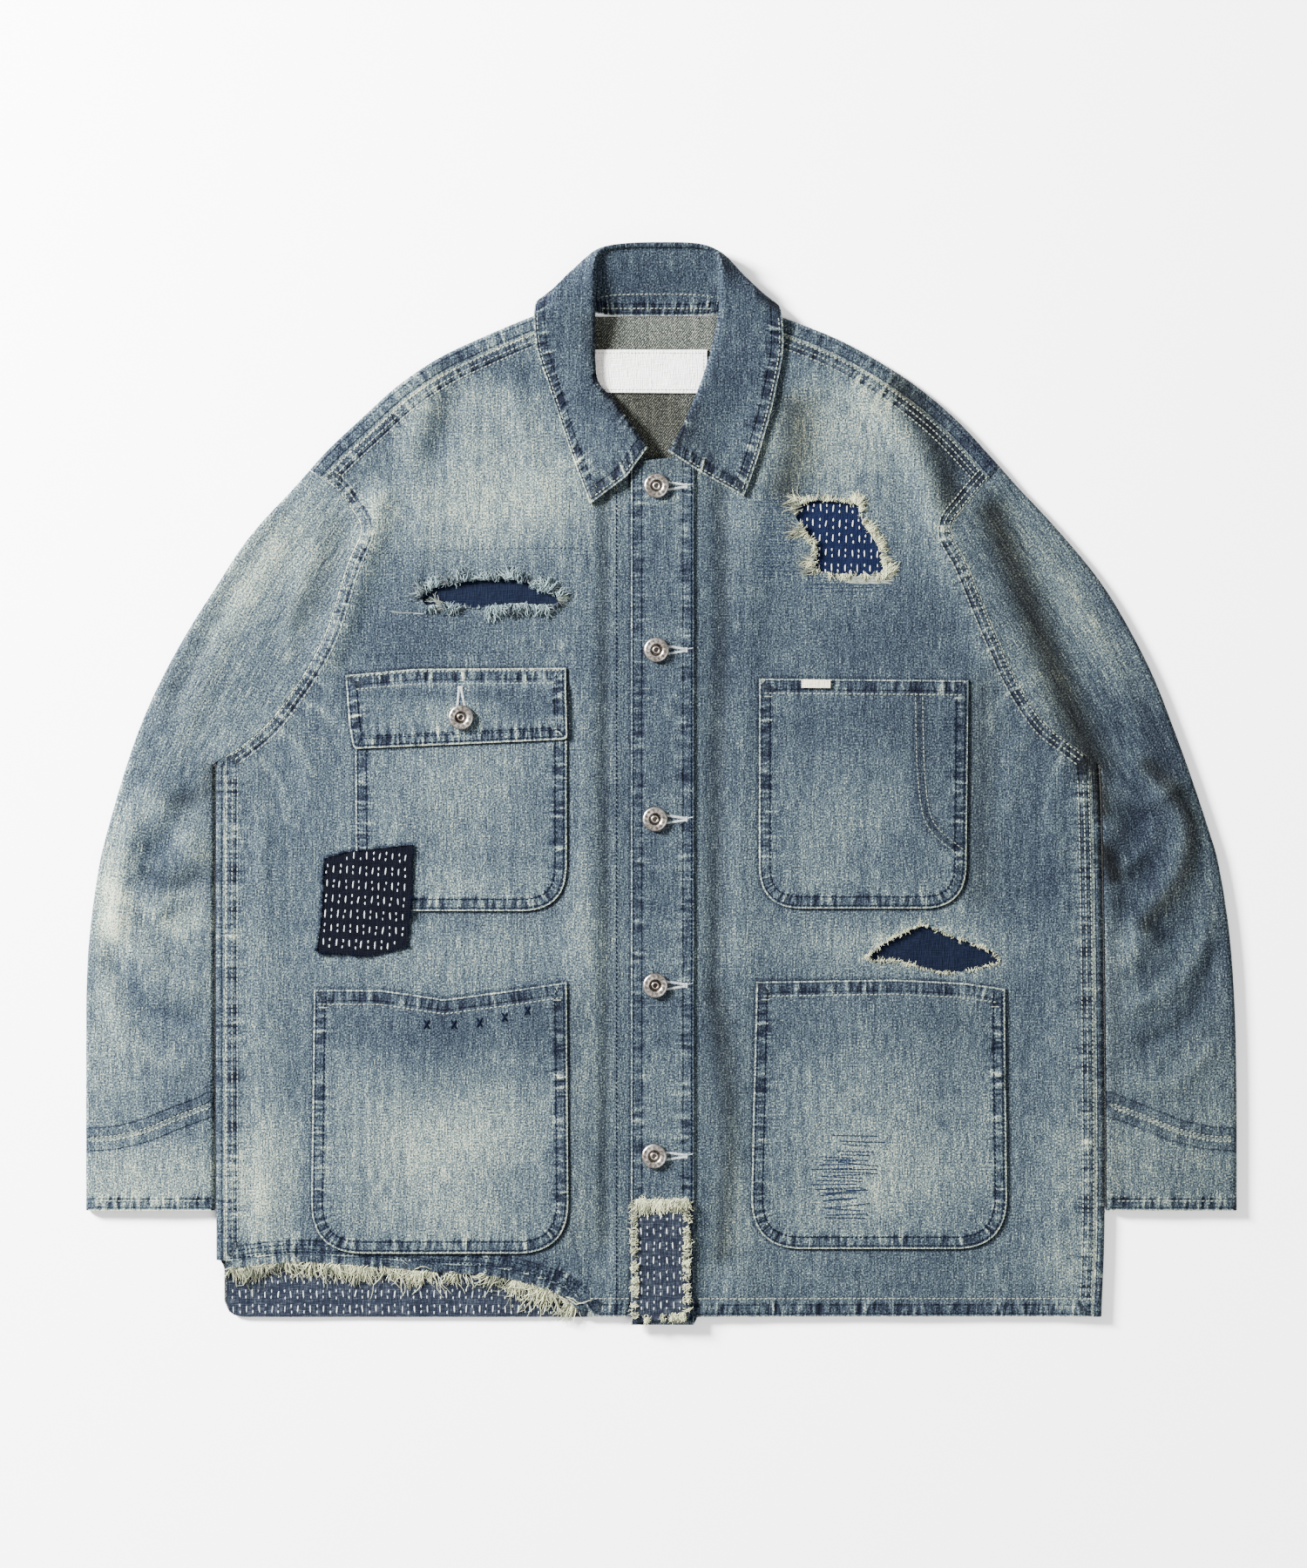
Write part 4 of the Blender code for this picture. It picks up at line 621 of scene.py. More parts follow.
def wobble(x, y, size, seed):
    """Smooth random unevenness from about -1 to 1, with bumps about a size apart."""
    random = np.random.default_rng(seed)
    total = np.zeros(np.shape(x))
    for _ in range(7):
        angle, phase = random.uniform(0, 2 * math.pi, 2)
        pace = 2 * math.pi / size * random.uniform(0.6, 1.4)
        total += np.sin(pace * (x * math.cos(angle) + y * math.sin(angle)) + phase)
    return total / 4


# The jacket's own lines

side_left, side_right = smooth(SIDE_LEFT), smooth(SIDE_RIGHT)
shoulder_left, shoulder_right = smooth(SHOULDER_LEFT), smooth(SHOULDER_RIGHT)
armhole_left, armhole_right = smooth(ARMHOLE_LEFT), smooth(ARMHOLE_RIGHT)
neck_left, neck_right = smooth(NECK_LEFT), smooth(NECK_RIGHT)
raw_hem = smooth(RAW_HEM)
seam_side_left, seam_side_right = (offset(line, SIDE_SEAM_DEPTH) for line in (side_left, side_right))
seam_shoulder_left, seam_shoulder_right = (
    offset(line, SHOULDER_SEAM_DEPTH) for line in (shoulder_left, shoulder_right)
)
FRONT_SEAMS = (seam_side_left, seam_side_right, seam_shoulder_left, seam_shoulder_right)


# Heights


def bell(away, width):
    """1 on a line and nearly 0 at twice a width from it."""
    return np.exp(-((away / width) ** 2))


def folds_at(folds, x, y):
    """The height that folds add at each point."""
    total = np.zeros(np.shape(x))
    for height, width, points in folds:
        total = total + height * bell(distance_to(smooth(points, FOLD_STEP), x, y, 3 * width), width)
    return total


def uneven(x, y, height, size, seed):
    """Unevenness with bumps of a height and about a size apart."""
    return height * wobble(x, y, size, seed)


def front_height(x, y):
    """Middle of the front's cloth, with the solids' folds and the finer creases."""
    x, y = np.asarray(x, float), np.asarray(y, float)
    rise = np.zeros(np.shape(x))
    for seam in FRONT_SEAMS:
        away = np.maximum(distance_to(seam[::3], x, y, SEAM_REACH) - SEAM_FLAT, 0)
        rise = np.maximum(rise, bell(away, SEAM_RISE_WIDTH))
    ripped_corner = np.where(x < 0, step_up((y - HEM_Y) / RIPPED_CORNER_RISE), 1.0)
    level = FRONT_LOW + (FOLD_TOP - FRONT_LOW) * rise * ripped_corner
    own = folds_at(BODY_FOLDS, x, y) + folds_at(BODY_CREASES, x, y) + uneven(x, y, *FRONT_UNEVEN)
    return level + (1 - rise) * own


def left_front_height(x, y):
    """The left front lies on the right front's edge under the placket."""
    beyond = (np.asarray(x, float) - UNDERLAP_EDGE - LAP_START) / LAP_WIDTH
    return front_height(x, y) + LAYER * (1 - step_up(beyond))


def placket_height(x, y):
    """Middle of the left front's cloth under the placket, with the placket's creases."""
    return left_front_height(x, y) + folds_at(PLACKET_CREASES, x, y)


def points_at(flat, z):
    """Plane points at heights."""
    return np.column_stack([flat, np.broadcast_to(z, len(flat))])


def moved_out(height, x, y, away):
    """Points of a surface moved along its normal."""
    x, y = np.asarray(x, float), np.asarray(y, float)
    slope_x = (height(x + 1, y) - height(x - 1, y)) / 2
    slope_y = (height(x, y + 1) - height(x, y - 1)) / 2
    length = np.sqrt(slope_x**2 + slope_y**2 + 1)
    places = [x - slope_x / length * away, y - slope_y / length * away, height(x, y) + away / length]
    return np.column_stack(places)


# Meshes


def triangulated(outline, step, holes=()):
    """Points and triangles of a region, with a staggered grid of points inside."""
    loops = [outline, *holes]

    def within(places):
        kept = inside(outline, *places.T)
        for hole in holes:
            kept &= ~inside(hole, *places.T)
        return kept

    spots, edges = [], []
    for loop in loops:
        first = len(spots)
        spots += [tuple(map(float, point)) for point in loop]
        edges += [(first + k, first + (k + 1) % len(loop)) for k in range(len(loop))]
    low, high = outline.min(axis=0), outline.max(axis=0)
    rows = [np.zeros((0, 2))]
    for row, y in enumerate(np.arange(low[1] + step / 2, high[1], step * ROW_SPACING)):
        x = np.arange(low[0] + step * (0.5 if row % 2 else 1.0), high[0], step)
        rows.append(np.column_stack([x, np.full(len(x), y)]))
    grid = np.vstack(rows)
    kept = within(grid)
    for loop in loops:
        kept &= distance_to(closed(loop), *grid.T) > 0.5 * min(step, 2 * EDGE_STEP)
    spots += [tuple(spot) for spot in grid[kept].tolist()]
    points, _, faces, *_ = delaunay_2d_cdt(spots, edges, [], 0, 1e-4)
    points, faces = (np.array([tuple(part) for part in parts]) for parts in (points, faces))
    return points, faces[within(points[faces].mean(axis=1))]


def grid_faces(rows, columns, flip=False):
    """Triangles of a grid of points, given row by row."""
    first = (np.arange(rows - 1)[:, None] * columns + np.arange(columns - 1)).reshape(-1)
    quads = np.column_stack([first, first + 1, first + columns + 1, first + columns])
    faces = np.vstack([quads[:, [0, 1, 2]], quads[:, [0, 2, 3]]])
    return faces[:, ::-1] if flip else faces


def welded(points, faces, within=0.02):
    """Points at one place made one."""
    places = np.round(points / within).astype(int)
    _, first, index = np.unique(places, axis=0, return_index=True, return_inverse=True)
    faces = index.reshape(-1)[faces]
    whole = (faces[:, 0] != faces[:, 1]) & (faces[:, 1] != faces[:, 2]) & (faces[:, 0] != faces[:, 2])
    return points[first], faces[whole]


def face_normals(points, faces):
    """Normals of triangles, each twice as long as the triangle's area."""
    corners = points[faces]
    return np.cross(corners[:, 1] - corners[:, 0], corners[:, 2] - corners[:, 0])


def vertex_normals(points, faces):
    """Unit normals of the points of a surface."""
    normal = face_normals(points, faces)
    total = np.zeros_like(points)
    for k in range(3):
        np.add.at(total, faces[:, k], normal)
    return unit(total)


def make_mesh(name, points, faces, finishes, traits=None, face_finish=None):
    """An object from millimetre points and triangles, riding on the jacket."""
    mesh = bpy.data.meshes.new(name)
    mesh.vertices.add(len(points))
    mesh.vertices.foreach_set("co", (np.asarray(points) * METRES).astype(np.float32).ravel())
    mesh.loops.add(3 * len(faces))
    mesh.loops.foreach_set("vertex_index", np.asarray(faces, np.int32).ravel())
    mesh.polygons.add(len(faces))
    mesh.polygons.foreach_set("loop_start", np.arange(0, 3 * len(faces), 3, dtype=np.int32))
    if face_finish is not None:
        mesh.polygons.foreach_set("material_index", np.asarray(face_finish, np.int32))
    mesh.update(calc_edges=True)
    mesh.validate()
    for key, values in (traits or {}).items():
        kind = "FLOAT_VECTOR" if values.ndim == 2 else "FLOAT"
        layer = mesh.attributes.new(key, kind, "POINT")
        layer.data.foreach_set("vector" if values.ndim == 2 else "value", values.astype(np.float32).ravel())
    for finish in finishes:
        mesh.materials.append(finish)
    mesh.shade_smooth()
    mesh.set_sharp_from_angle(angle=SHARP_ANGLE)
    obj = bpy.data.objects.new(name, mesh)
    bpy.context.scene.collection.objects.link(obj)
    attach(obj, "root")
    return obj


def make_shell(name, points, faces, finishes, traits, thickness=CLOTH):
    """A closed wall with the given surface in its middle. Its inner side takes the second finish."""
    normal = vertex_normals(points, faces)
    both = np.vstack([points + normal * thickness / 2, points - normal * thickness / 2])
    count = len(points)
    edges = np.vstack([faces[:, [0, 1]], faces[:, [1, 2]], faces[:, [2, 0]]])
    _, index, times = np.unique(np.sort(edges, axis=1), axis=0, return_inverse=True, return_counts=True)
    rim = edges[times[index.reshape(-1)] == 1]
    a, b = rim.T
    rims = np.vstack([np.column_stack([b, a, a + count]), np.column_stack([b, a + count, b + count])])
    every = np.vstack([faces, rims, faces[:, ::-1] + count])
    face_finish = np.zeros(len(every), int)
    face_finish[len(faces) + len(rims) :] = len(finishes) - 1
    doubled = {key: np.concatenate([values, values]) for key, values in traits.items()}
    return make_mesh(name, both, every, finishes, doubled, face_finish)


# What the cloth's colour follows

NO_SEAM = 40.0
SEAM_WEAR_REACH = 24.0
BESIDE_REACH = 12.0
SEAM_SHIFT = 977.0  # between the runs of two seams, so that their puckers differ
FADE_UNEVEN = (0.05, 120, 9)
RIDGE_WEAR_AND_SHADE = 0.05  # paler wear for each mm that a fold stands up, and painted shade for each mm that a trough sinks
WHISKER_WEAR = 0.2
BLOB_SPREAD = 1.4


def blobs_at(blobs, x, y):
    """The fading and painted shade that soft spots add at each point."""
    total = np.zeros(np.shape(x))
    for strength, cx, cy, across, along, turn in blobs:
        angle = math.radians(turn)
        u = ((x - cx) * math.cos(angle) + (y - cy) * math.sin(angle)) / across
        v = ((y - cy) * math.cos(angle) - (x - cx) * math.sin(angle)) / along
        total = total + strength * np.exp(-(u * u + v * v) / BLOB_SPREAD)
    return total


def closest_of(lines, x, y, reach):
    """Distance from the nearest of some lines, and NO_SEAM past their reach."""
    away = np.full(len(x), NO_SEAM)
    for line in lines:
        away = np.minimum(away, distance_to(line, x, y, reach))
    return away


def traits_of(points, seams=(), raw=(), fades=(), base=0.0, seam_side=None, ruffle=1.0, beside=()):
    """Attributes for the cloth's material: distance from the nearest seam and place along it, distance from
    the nearest raw edge and from pieces that lie on it, where painted contact shade goes, fading with painted
    shade, painted shade in hollows, and where the point is on the weave."""
    x, y = points[:, 0], points[:, 1]
    edge, run = np.full(len(points), NO_SEAM), np.zeros(len(points))
    for number, seam in enumerate(seams):
        away, along = nearest(seam, x, y, SEAM_WEAR_REACH)
        closer = away < edge
        edge = np.where(closer, away, edge)
        run = np.where(closer, along + number * SEAM_SHIFT, run)
    if seam_side is not None:
        edge = np.where(seam_side, edge, NO_SEAM)
    # Painted shade along the lines of SHADES
    shade = np.zeros(len(points))
    for strength, width, line in SHADES:
        away = distance_to(smooth(line, FOLD_STEP), x, y, 3 * width)
        shade = np.maximum(shade, strength * bell(away, width))
    fade = base + blobs_at(fades, x, y) + uneven(x, y, *FADE_UNEVEN)
    if fades is BODY_FADES_AND_SHADE:
        # Paler wear on the folds' ridges, and painted shade in their troughs
        fade = fade + RIDGE_WEAR_AND_SHADE * folds_at([*BODY_FOLDS, *BODY_CREASES], x, y)
        fade = fade + WHISKER_WEAR * folds_at([*WHISKERS, *PLACKET_CREASES], x, y)
    return {
        "edge": edge, "run": run, "raw": closest_of(raw, x, y, SEAM_WEAR_REACH), "shade": shade, "fade": fade,
        "grain": np.column_stack([x, y, np.zeros(len(points))]), "ruffle": np.full(len(points), ruffle),
        "beside": closest_of(beside, x, y, BESIDE_REACH),
    }


# Materials


class Nodes:
    """Short names for a material's nodes."""

    def __init__(self, name):
        self.material = bpy.data.materials.new(name)
        self.material.use_nodes = True
        self.tree = self.material.node_tree
        self.shader = self.tree.nodes["Principled BSDF"]

    def put(self, socket, value):
        """Links a socket to another one, or sets its value."""
        if isinstance(value, bpy.types.NodeSocket):
            self.tree.links.new(value, socket)
        else:
            socket.default_value = value

    def trait(self, name, vector=False):
        """An attribute of the mesh."""
        node = self.tree.nodes.new("ShaderNodeAttribute")
        node.attribute_name = name
        return node.outputs["Vector" if vector else "Fac"]

    def math(self, operation, first, second=0.0, third=0.0, clamp=False):
        node = self.tree.nodes.new("ShaderNodeMath")
        node.operation, node.use_clamp = operation, clamp
        for socket, value in zip(node.inputs, (first, second, third)):
            self.put(socket, value)
        return node.outputs[0]

    def sum(self, *values):
        total = values[0]
        for value in values[1:]:
            total = self.math("ADD", total, value)
        return total

    def times(self, first, second):
        return self.math("MULTIPLY", first, second)

    def weighted(self, total, *parts):
        """A value with others added to it, each times its weight."""
        for value, weight in parts:
            total = self.sum(total, self.times(value, weight))
        return total

    def stretched(self, vector, x, y, z=1.0):
        """The vector with each part divided by a size."""
        node = self.tree.nodes.new("ShaderNodeVectorMath")
        node.operation = "DIVIDE"
        self.put(node.inputs[0], vector)
        node.inputs[1].default_value = (x, y, z)
        return node.outputs[0]

    def combined(self, x, y):
        """A vector of two values."""
        node = self.tree.nodes.new("ShaderNodeCombineXYZ")
        self.put(node.inputs[0], x)
        self.put(node.inputs[1], y)
        return node.outputs[0]

    def noise(self, vector, detail=2.0, roughness=0.5):
        """Noise with its middle at 0 and about 1 from trough to crest."""
        node = self.tree.nodes.new("ShaderNodeTexNoise")
        node.inputs["Scale"].default_value = 1.0
        node.inputs["Detail"].default_value = detail
        node.inputs["Roughness"].default_value = roughness
        self.put(node.inputs["Vector"], vector)
        spread = self.math("SUBTRACT", node.outputs["Fac"], 0.5)
        return self.times(spread, 1.7)

    def speckled(self, size, detail):
        """Noise in space, with bumps of a size in metres."""
        place = self.tree.nodes.new("ShaderNodeTexCoord").outputs["Object"]
        return self.noise(self.stretched(place, size, size, size), detail)

    def band(self, value, low, high, soft):
        """1 where the value is between low and high, with soft ends."""
        past = self.math("SUBTRACT", value, low - soft)
        up = self.math("SMOOTH_MIN", 1.0, self.math("DIVIDE", past, soft), 0.0)
        down = self.math("DIVIDE", self.math("SUBTRACT", high + soft, value), soft)
        both = self.math("MINIMUM", up, down)
        return self.math("MINIMUM", self.math("MAXIMUM", both, 0.0), 1.0)

    def ramp(self, factor, stops):
        """The colour at a factor between stops of (position, colour)."""
        node = self.tree.nodes.new("ShaderNodeValToRGB")
        elements = node.color_ramp.elements
        while len(elements) < len(stops):
            elements.new(0.5)
        for element, (position, colour) in zip(elements, stops):
            element.position, element.color = position, colour
        self.put(node.inputs["Fac"], factor)
        return node.outputs["Color"]

    def mix(self, factor, first, second, blend="MIX"):
        node = self.tree.nodes.new("ShaderNodeMix")
        node.data_type, node.blend_type = "RGBA", blend
        self.put(node.inputs["Factor"], factor)
        self.put(node.inputs["A"], first)
        self.put(node.inputs["B"], second)
        return node.outputs["Result"]

    def with_painted_shade(self, colour, share):
        """A colour darkened and browned by painted shade, as much as the cloth's shade trait says."""
        shaded_colour = self.mix(1.0, colour, PAINTED_SHADE_TINT, "MULTIPLY")
        return self.mix(self.times(self.trait("shade"), share), colour, shaded_colour)

    def bump(self, height, distance, strength=1.0):
        """Gives the surface a relief, its distance in mm."""
        node = self.tree.nodes.new("ShaderNodeBump")
        node.inputs["Distance"].default_value = distance * METRES
        node.inputs["Strength"].default_value = strength
        self.put(node.inputs["Height"], height)
        self.put(self.shader.inputs["Normal"], node.outputs["Normal"])

    def finish(self, colour, roughness, sheen=0.0, metallic=0.0):
        """Sets the surface, and returns the material."""
        self.put(self.shader.inputs["Base Color"], colour)
        self.put(self.shader.inputs["Roughness"], roughness)
        self.shader.inputs["Metallic"].default_value = metallic
        self.shader.inputs["Sheen Weight"].default_value = sheen
        self.shader.inputs["Specular IOR Level"].default_value = 0.03 if metallic == 0 else 0.5
        return self.material


DENIM_STOPS = [
    (0.0, seen(34, 41, 62)), (0.2, seen(62, 74, 96)), (0.42, seen(97, 111, 126)), (0.6, seen(130, 144, 152)),
    (0.78, seen(163, 175, 173)), (0.9, seen(188, 197, 188)), (1.0, seen(220, 222, 206)),
]
INSIDE_STOPS = [(0.0, seen(56, 62, 68)), (0.5, seen(128, 134, 131)), (1.0, seen(200, 202, 192))]
METAL_STOPS = [
    (0.0, (0.03, 0.022, 0.016, 1.0)), (0.5, (0.17, 0.145, 0.125, 1.0)), (1.0, (0.46, 0.445, 0.42, 1.0)),
]
# Tint of the painted shade in the cloth's hollows and folds
PAINTED_SHADE_TINT = (0.18, 0.15, 0.125, 1.0)

# Sizes in the denim's weave, across and along its warp
CLOUD_SIZE = (46.0, 60.0)
SCUFF_SIZE = (7.0, 9.0)
CREASE_SIZE = (19.0, 15.0)
TWILL_PITCH = 1.7

# Bands beside a seam, a piece that lies on the cloth, where painted contact shade goes, and a raw edge: from,
# to and how soft their ends are
NEAR_SEAM = (1.4, 8.4, 2.0)
SEAM_HALO = (8.0, 12.0, 8.0)
SEAM_EDGE = (-1.0, 0.6, 0.8)
SEWN_GROOVES = ((1.7, 2.0, 0.7), (8.0, 8.4, 0.7))
CONTACT_SHADE_BAND = (-1.0, 0.4, 2.4)
FRAYING_BAND = (-1.0, 2.0, 6.0)


def weave_parts(nodes, grain):
    """Speckle of the twill, fine slub and broad slub along the warp."""
    sizes = ((1.0, 1.2, 1.0), (1.1, 12.0, 1.0), (5.0, 120.0, 2.0))
    return [nodes.noise(nodes.stretched(grain, across, along), detail) for across, along, detail in sizes]


def make_denim(name, level):
    """Twill that is paler where worn, puckered along its seams, with painted shade in hollows and by pieces
    on it.
    """
    nodes = Nodes(name)
    grain, ruffle = nodes.trait("grain", vector=True), nodes.trait("ruffle")
    edge, run = nodes.trait("edge"), nodes.trait("run")
    speckle, slub, broad = weave_parts(nodes, grain)
    cloud = nodes.noise(nodes.stretched(grain, *CLOUD_SIZE), 4.0, 0.6)
    scuff = nodes.noise(nodes.stretched(grain, *SCUFF_SIZE), 3.0, 0.6)

    along_seam = nodes.combined(nodes.math("DIVIDE", run, 3.6), nodes.math("DIVIDE", edge, 17.0))
    gather = nodes.noise(nodes.combined(nodes.math("DIVIDE", run, 21.0), 0.0), 1.0)
    gather = nodes.times(nodes.sum(1.0, nodes.times(gather, 1.8)), ruffle)
    pucker = nodes.times(nodes.noise(along_seam, 1.0), gather)
    near, halo = nodes.band(edge, *NEAR_SEAM), nodes.band(edge, *SEAM_HALO)
    worn = nodes.times(nodes.band(edge, *SEAM_EDGE), nodes.sum(0.3, nodes.times(ruffle, 0.6)))
    rows = nodes.math("MAXIMUM", *(nodes.band(edge, *groove) for groove in SEWN_GROOVES))
    # Painted contact shade beside pieces that lie on the cloth
    contact_shade = nodes.band(nodes.trait("beside"), *CONTACT_SHADE_BAND)
    fraying = nodes.band(nodes.trait("raw"), *FRAYING_BAND)

    creased = nodes.math("ABSOLUTE", nodes.noise(nodes.stretched(grain, *CREASE_SIZE), 3.0, 0.55))
    thin = nodes.math("SUBTRACT", 1.0, nodes.times(creased, 16.0), clamp=True)
    patchy = nodes.times(nodes.math("ADD", cloud, 0.25, clamp=True), thin)

    level = nodes.weighted(
        nodes.sum(level, nodes.trait("fade")),
        (speckle, 0.96), (slub, 0.38), (broad, 0.18), (cloud, 0.14), (scuff, 0.10), (patchy, 0.10),
        (near, nodes.sum(nodes.times(pucker, 0.70), -0.10)), (halo, nodes.times(pucker, 0.34)), (worn, 0.42),
        (rows, -0.14), (contact_shade, -0.30), (fraying, nodes.sum(nodes.times(scuff, 0.4), 0.05)),
    )
    relief = nodes.weighted(
        0.0, (speckle, 0.35), (slub, 0.12), (scuff, 0.10), (near, nodes.times(pucker, 1.5)), (worn, -0.4),
        (rows, -0.5), (patchy, 0.5),
    )
    nodes.bump(relief, 0.9, 0.8)
    return nodes.finish(nodes.with_painted_shade(nodes.ramp(level, DENIM_STOPS), 0.85), 0.88, sheen=0.02)


def make_wrong_side():
    """Inside of the denim: pale weft with grey-blue twill lines, with painted shade in its hollows."""
    nodes = Nodes("denim_inside")
    grain = nodes.trait("grain", vector=True)
    speckle, slub, broad = weave_parts(nodes, grain)
    split = nodes.tree.nodes.new("ShaderNodeSeparateXYZ")
    nodes.put(split.inputs[0], grain)
    diagonal = nodes.math("SUBTRACT", split.outputs[0], nodes.times(split.outputs[1], 0.75))
    twill = nodes.math("SINE", nodes.times(diagonal, 2 * math.pi / TWILL_PITCH))
    level = nodes.weighted(0.44, (twill, 0.26), (speckle, 1.3), (broad, 0.3), (slub, 0.1))
    nodes.bump(nodes.weighted(0.0, (twill, 0.2), (speckle, 0.2)), 0.6, 0.7)
    return nodes.finish(nodes.with_painted_shade(nodes.ramp(level, INSIDE_STOPS), 1.0), 0.9, sheen=0.02)


def make_plain_weave(name, dark, middle, pale, roughness=0.9):
    """A tightly woven cloth of one colour, with crossing yarns."""
    nodes = Nodes(name)
    grain = nodes.trait("grain", vector=True)
    across = nodes.noise(nodes.stretched(grain, 0.9, 7.0), 2.0)
    down = nodes.noise(nodes.stretched(grain, 7.0, 0.9), 2.0)
    cloud = nodes.noise(nodes.stretched(grain, 12.0, 12.0), 3.0)
    level = nodes.weighted(0.5, (across, 0.5), (down, 0.5), (cloud, 0.25))
    nodes.bump(nodes.sum(across, down), 0.5, 0.8)
    return nodes.finish(nodes.ramp(level, [(0.0, dark), (0.5, middle), (1.0, pale)]), roughness, sheen=0.01)


def make_thread(name, dark, pale, sheen=0.15):
    """Cotton thread, each strand with a tone of its own."""
    nodes = Nodes(name)
    level = nodes.weighted(nodes.trait("tone"), (nodes.speckled(0.0006, 1.0), 0.3))
    return nodes.finish(nodes.ramp(level, [(0.0, dark), (1.0, pale)]), 0.85, sheen=sheen)


def make_metal():
    """Worn copper and silver, with painted shade from the tone in the button's recesses."""
    nodes = Nodes("button_metal")
    fine = nodes.speckled(0.0011, 3.0)
    level = nodes.weighted(nodes.trait("tone"), (fine, 0.3), (nodes.speckled(0.006, 2.0), 0.5))
    nodes.bump(fine, 0.12, 0.5)
    return nodes.finish(nodes.ramp(level, METAL_STOPS), nodes.weighted(0.34, (fine, 0.2)), metallic=1.0)


DENIM = make_denim("denim", 0.47)
FADED = make_denim("faded_denim", 0.56)
WRONG_SIDE = make_wrong_side()
SASHIKO = make_plain_weave("sashiko_cloth", seen(8, 10, 22), seen(17, 21, 40), seen(36, 42, 66))
WORN_SASHIKO = make_plain_weave(
    "worn_sashiko_cloth", seen(26, 34, 58), seen(70, 79, 101), seen(150, 157, 165)
)
BLUE_SASHIKO = make_plain_weave("blue_sashiko_cloth", seen(20, 30, 70), seen(34, 48, 96), seen(62, 76, 122))
INDIGO = make_plain_weave("indigo_cloth", seen(20, 28, 56), seen(33, 45, 76), seen(56, 70, 100))
LABEL_SHADES = [(0.42, 0.405, 0.39, 1.0), (0.60, 0.585, 0.57, 1.0), (0.74, 0.73, 0.71, 1.0)]
TAB_SHADES = [(0.30, 0.26, 0.19, 1.0), (0.44, 0.40, 0.31, 1.0), (0.56, 0.51, 0.42, 1.0)]
LABEL = make_plain_weave("label_cloth", *LABEL_SHADES, 0.7)
TAB = make_plain_weave("tab_cloth", *TAB_SHADES, 0.8)
COTTON = make_thread("frayed_cotton", seen(44, 68, 92), seen(196, 210, 212))
RAW_COTTON = make_thread("raw_cotton", seen(128, 137, 122), seen(246, 247, 226))
CREAM = make_thread("cream_thread", seen(132, 142, 142), seen(200, 205, 196), sheen=0.05)
NAVY = make_thread("navy_thread", seen(12, 17, 40), seen(30, 42, 78), sheen=0.0)
MENDING = make_thread("mending_thread", seen(30, 44, 80), seen(70, 88, 124), sheen=0.0)
WHITE = make_thread("sashiko_thread", seen(166, 178, 190), seen(236, 239, 238))
METAL = make_metal()


def area_of(points, faces):
    """Area of a surface in square metres."""
    return float(np.linalg.norm(face_normals(points, faces), axis=1).sum()) / 2 * METRES**2


def keep(obj, *nodes):
    """Hides the solids that a piece stands for."""
    if nodes:
        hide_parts(*nodes)


def keep_cloth(name, points, faces, finishes, traits, area=None, thickness=CLOTH):
    """A shell of cloth in place of the solid with its name. The area given is not used."""
    cloth = name + "_cloth"
    area_of(points, faces) if area is None else area
    keep(make_shell(cloth, points, faces, finishes, traits, thickness), name)


# Surfaces that later pieces are laid on


class Surface:
    """A cloth's middle: a height over the plane, and how far the cloth is moved out from it."""

    def __init__(self, height, away=0.0):
        self.height, self.away = height, away

    def moved(self, x, y):
        """How far the cloth is moved out at each point."""
        return self.away(x, y) if callable(self.away) else self.away

    def places(self, x, y, lift=0.0):
        return moved_out(self.height, x, y, self.moved(x, y) + lift)

    def top(self, x, y, lift=0.0):
        """Points on the cloth's outer side."""
        return self.places(x, y, CLOTH / 2 + lift)


def over(outline, x, y):
    """Layers of cloth added by a piece: 1 on it, down to 0 a little outside."""
    away = np.where(inside(outline, x, y), 0, distance_to(closed(outline), x, y, 2 * PATCH_FALL))
    return step_up(1 - away / PATCH_FALL)


def pocket_lift(outline, x, y):
    """A pocket's mouth stands a little off the front in the middle."""
    left, right = outline[:, 0].min(), outline[:, 0].max()
    across = np.clip((x - left) / (right - left), 0, 1)
    below = np.maximum(outline[:, 1].max() - MOUTH_BAND - y, 0)
    return POCKET_GAPE * 4 * across * (1 - across) * bell(below, MOUTH_FADE)


def above(height, layers=0, outline=None, pocket=None):
    """A surface some layers of cloth over a height, one more over an outline, or lifted as a pocket is."""
    if outline is not None:
        return Surface(height, lambda x, y: LAYER * (layers + over(outline, x, y)))
    if pocket is not None:
        return Surface(height, lambda x, y: LAYER * layers + pocket_lift(pocket, x, y))
    return Surface(height, LAYER * layers)


pocket_chest_right, flap_chest_right = rounded(POCKET_CHEST_RIGHT), rounded(FLAP_CHEST_RIGHT)
pocket_hip_right, patch_pocket = rounded(POCKET_HIP_RIGHT), rounded(PATCH_POCKET)
pocket_chest_left, pocket_hip_left = rounded(POCKET_CHEST_LEFT), rounded(POCKET_HIP_LEFT)

ON_FRONT_RIGHT = above(front_height)
ON_FRONT_LEFT = above(left_front_height)
ON_PLACKET = above(placket_height, 1)
ON_POCKET_CHEST_RIGHT = above(front_height, 1)
ON_FLAP = above(front_height, 1, pocket_chest_right)
ON_POCKET_HIP_RIGHT = above(front_height, 1, pocket=pocket_hip_right)
ON_POCKET_CHEST_LEFT = above(left_front_height, 1, pocket=pocket_chest_left)
ON_POCKET_HIP_LEFT = above(left_front_height, 1, pocket=pocket_hip_left)
ON_TAB = above(left_front_height, 2, pocket=pocket_chest_left)
ON_PATCH_POCKET = above(front_height, 1, pocket_chest_right)
ON_PATCH_PLACKET = above(placket_height, 2)
BEHIND_RIGHT = Surface(front_height, -BACKING_DROP)
BEHIND_LEFT = Surface(left_front_height, -BACKING_DROP)
BEHIND_FRINGE = Surface(front_height, FRINGE_LIFT - BACKING_DROP)


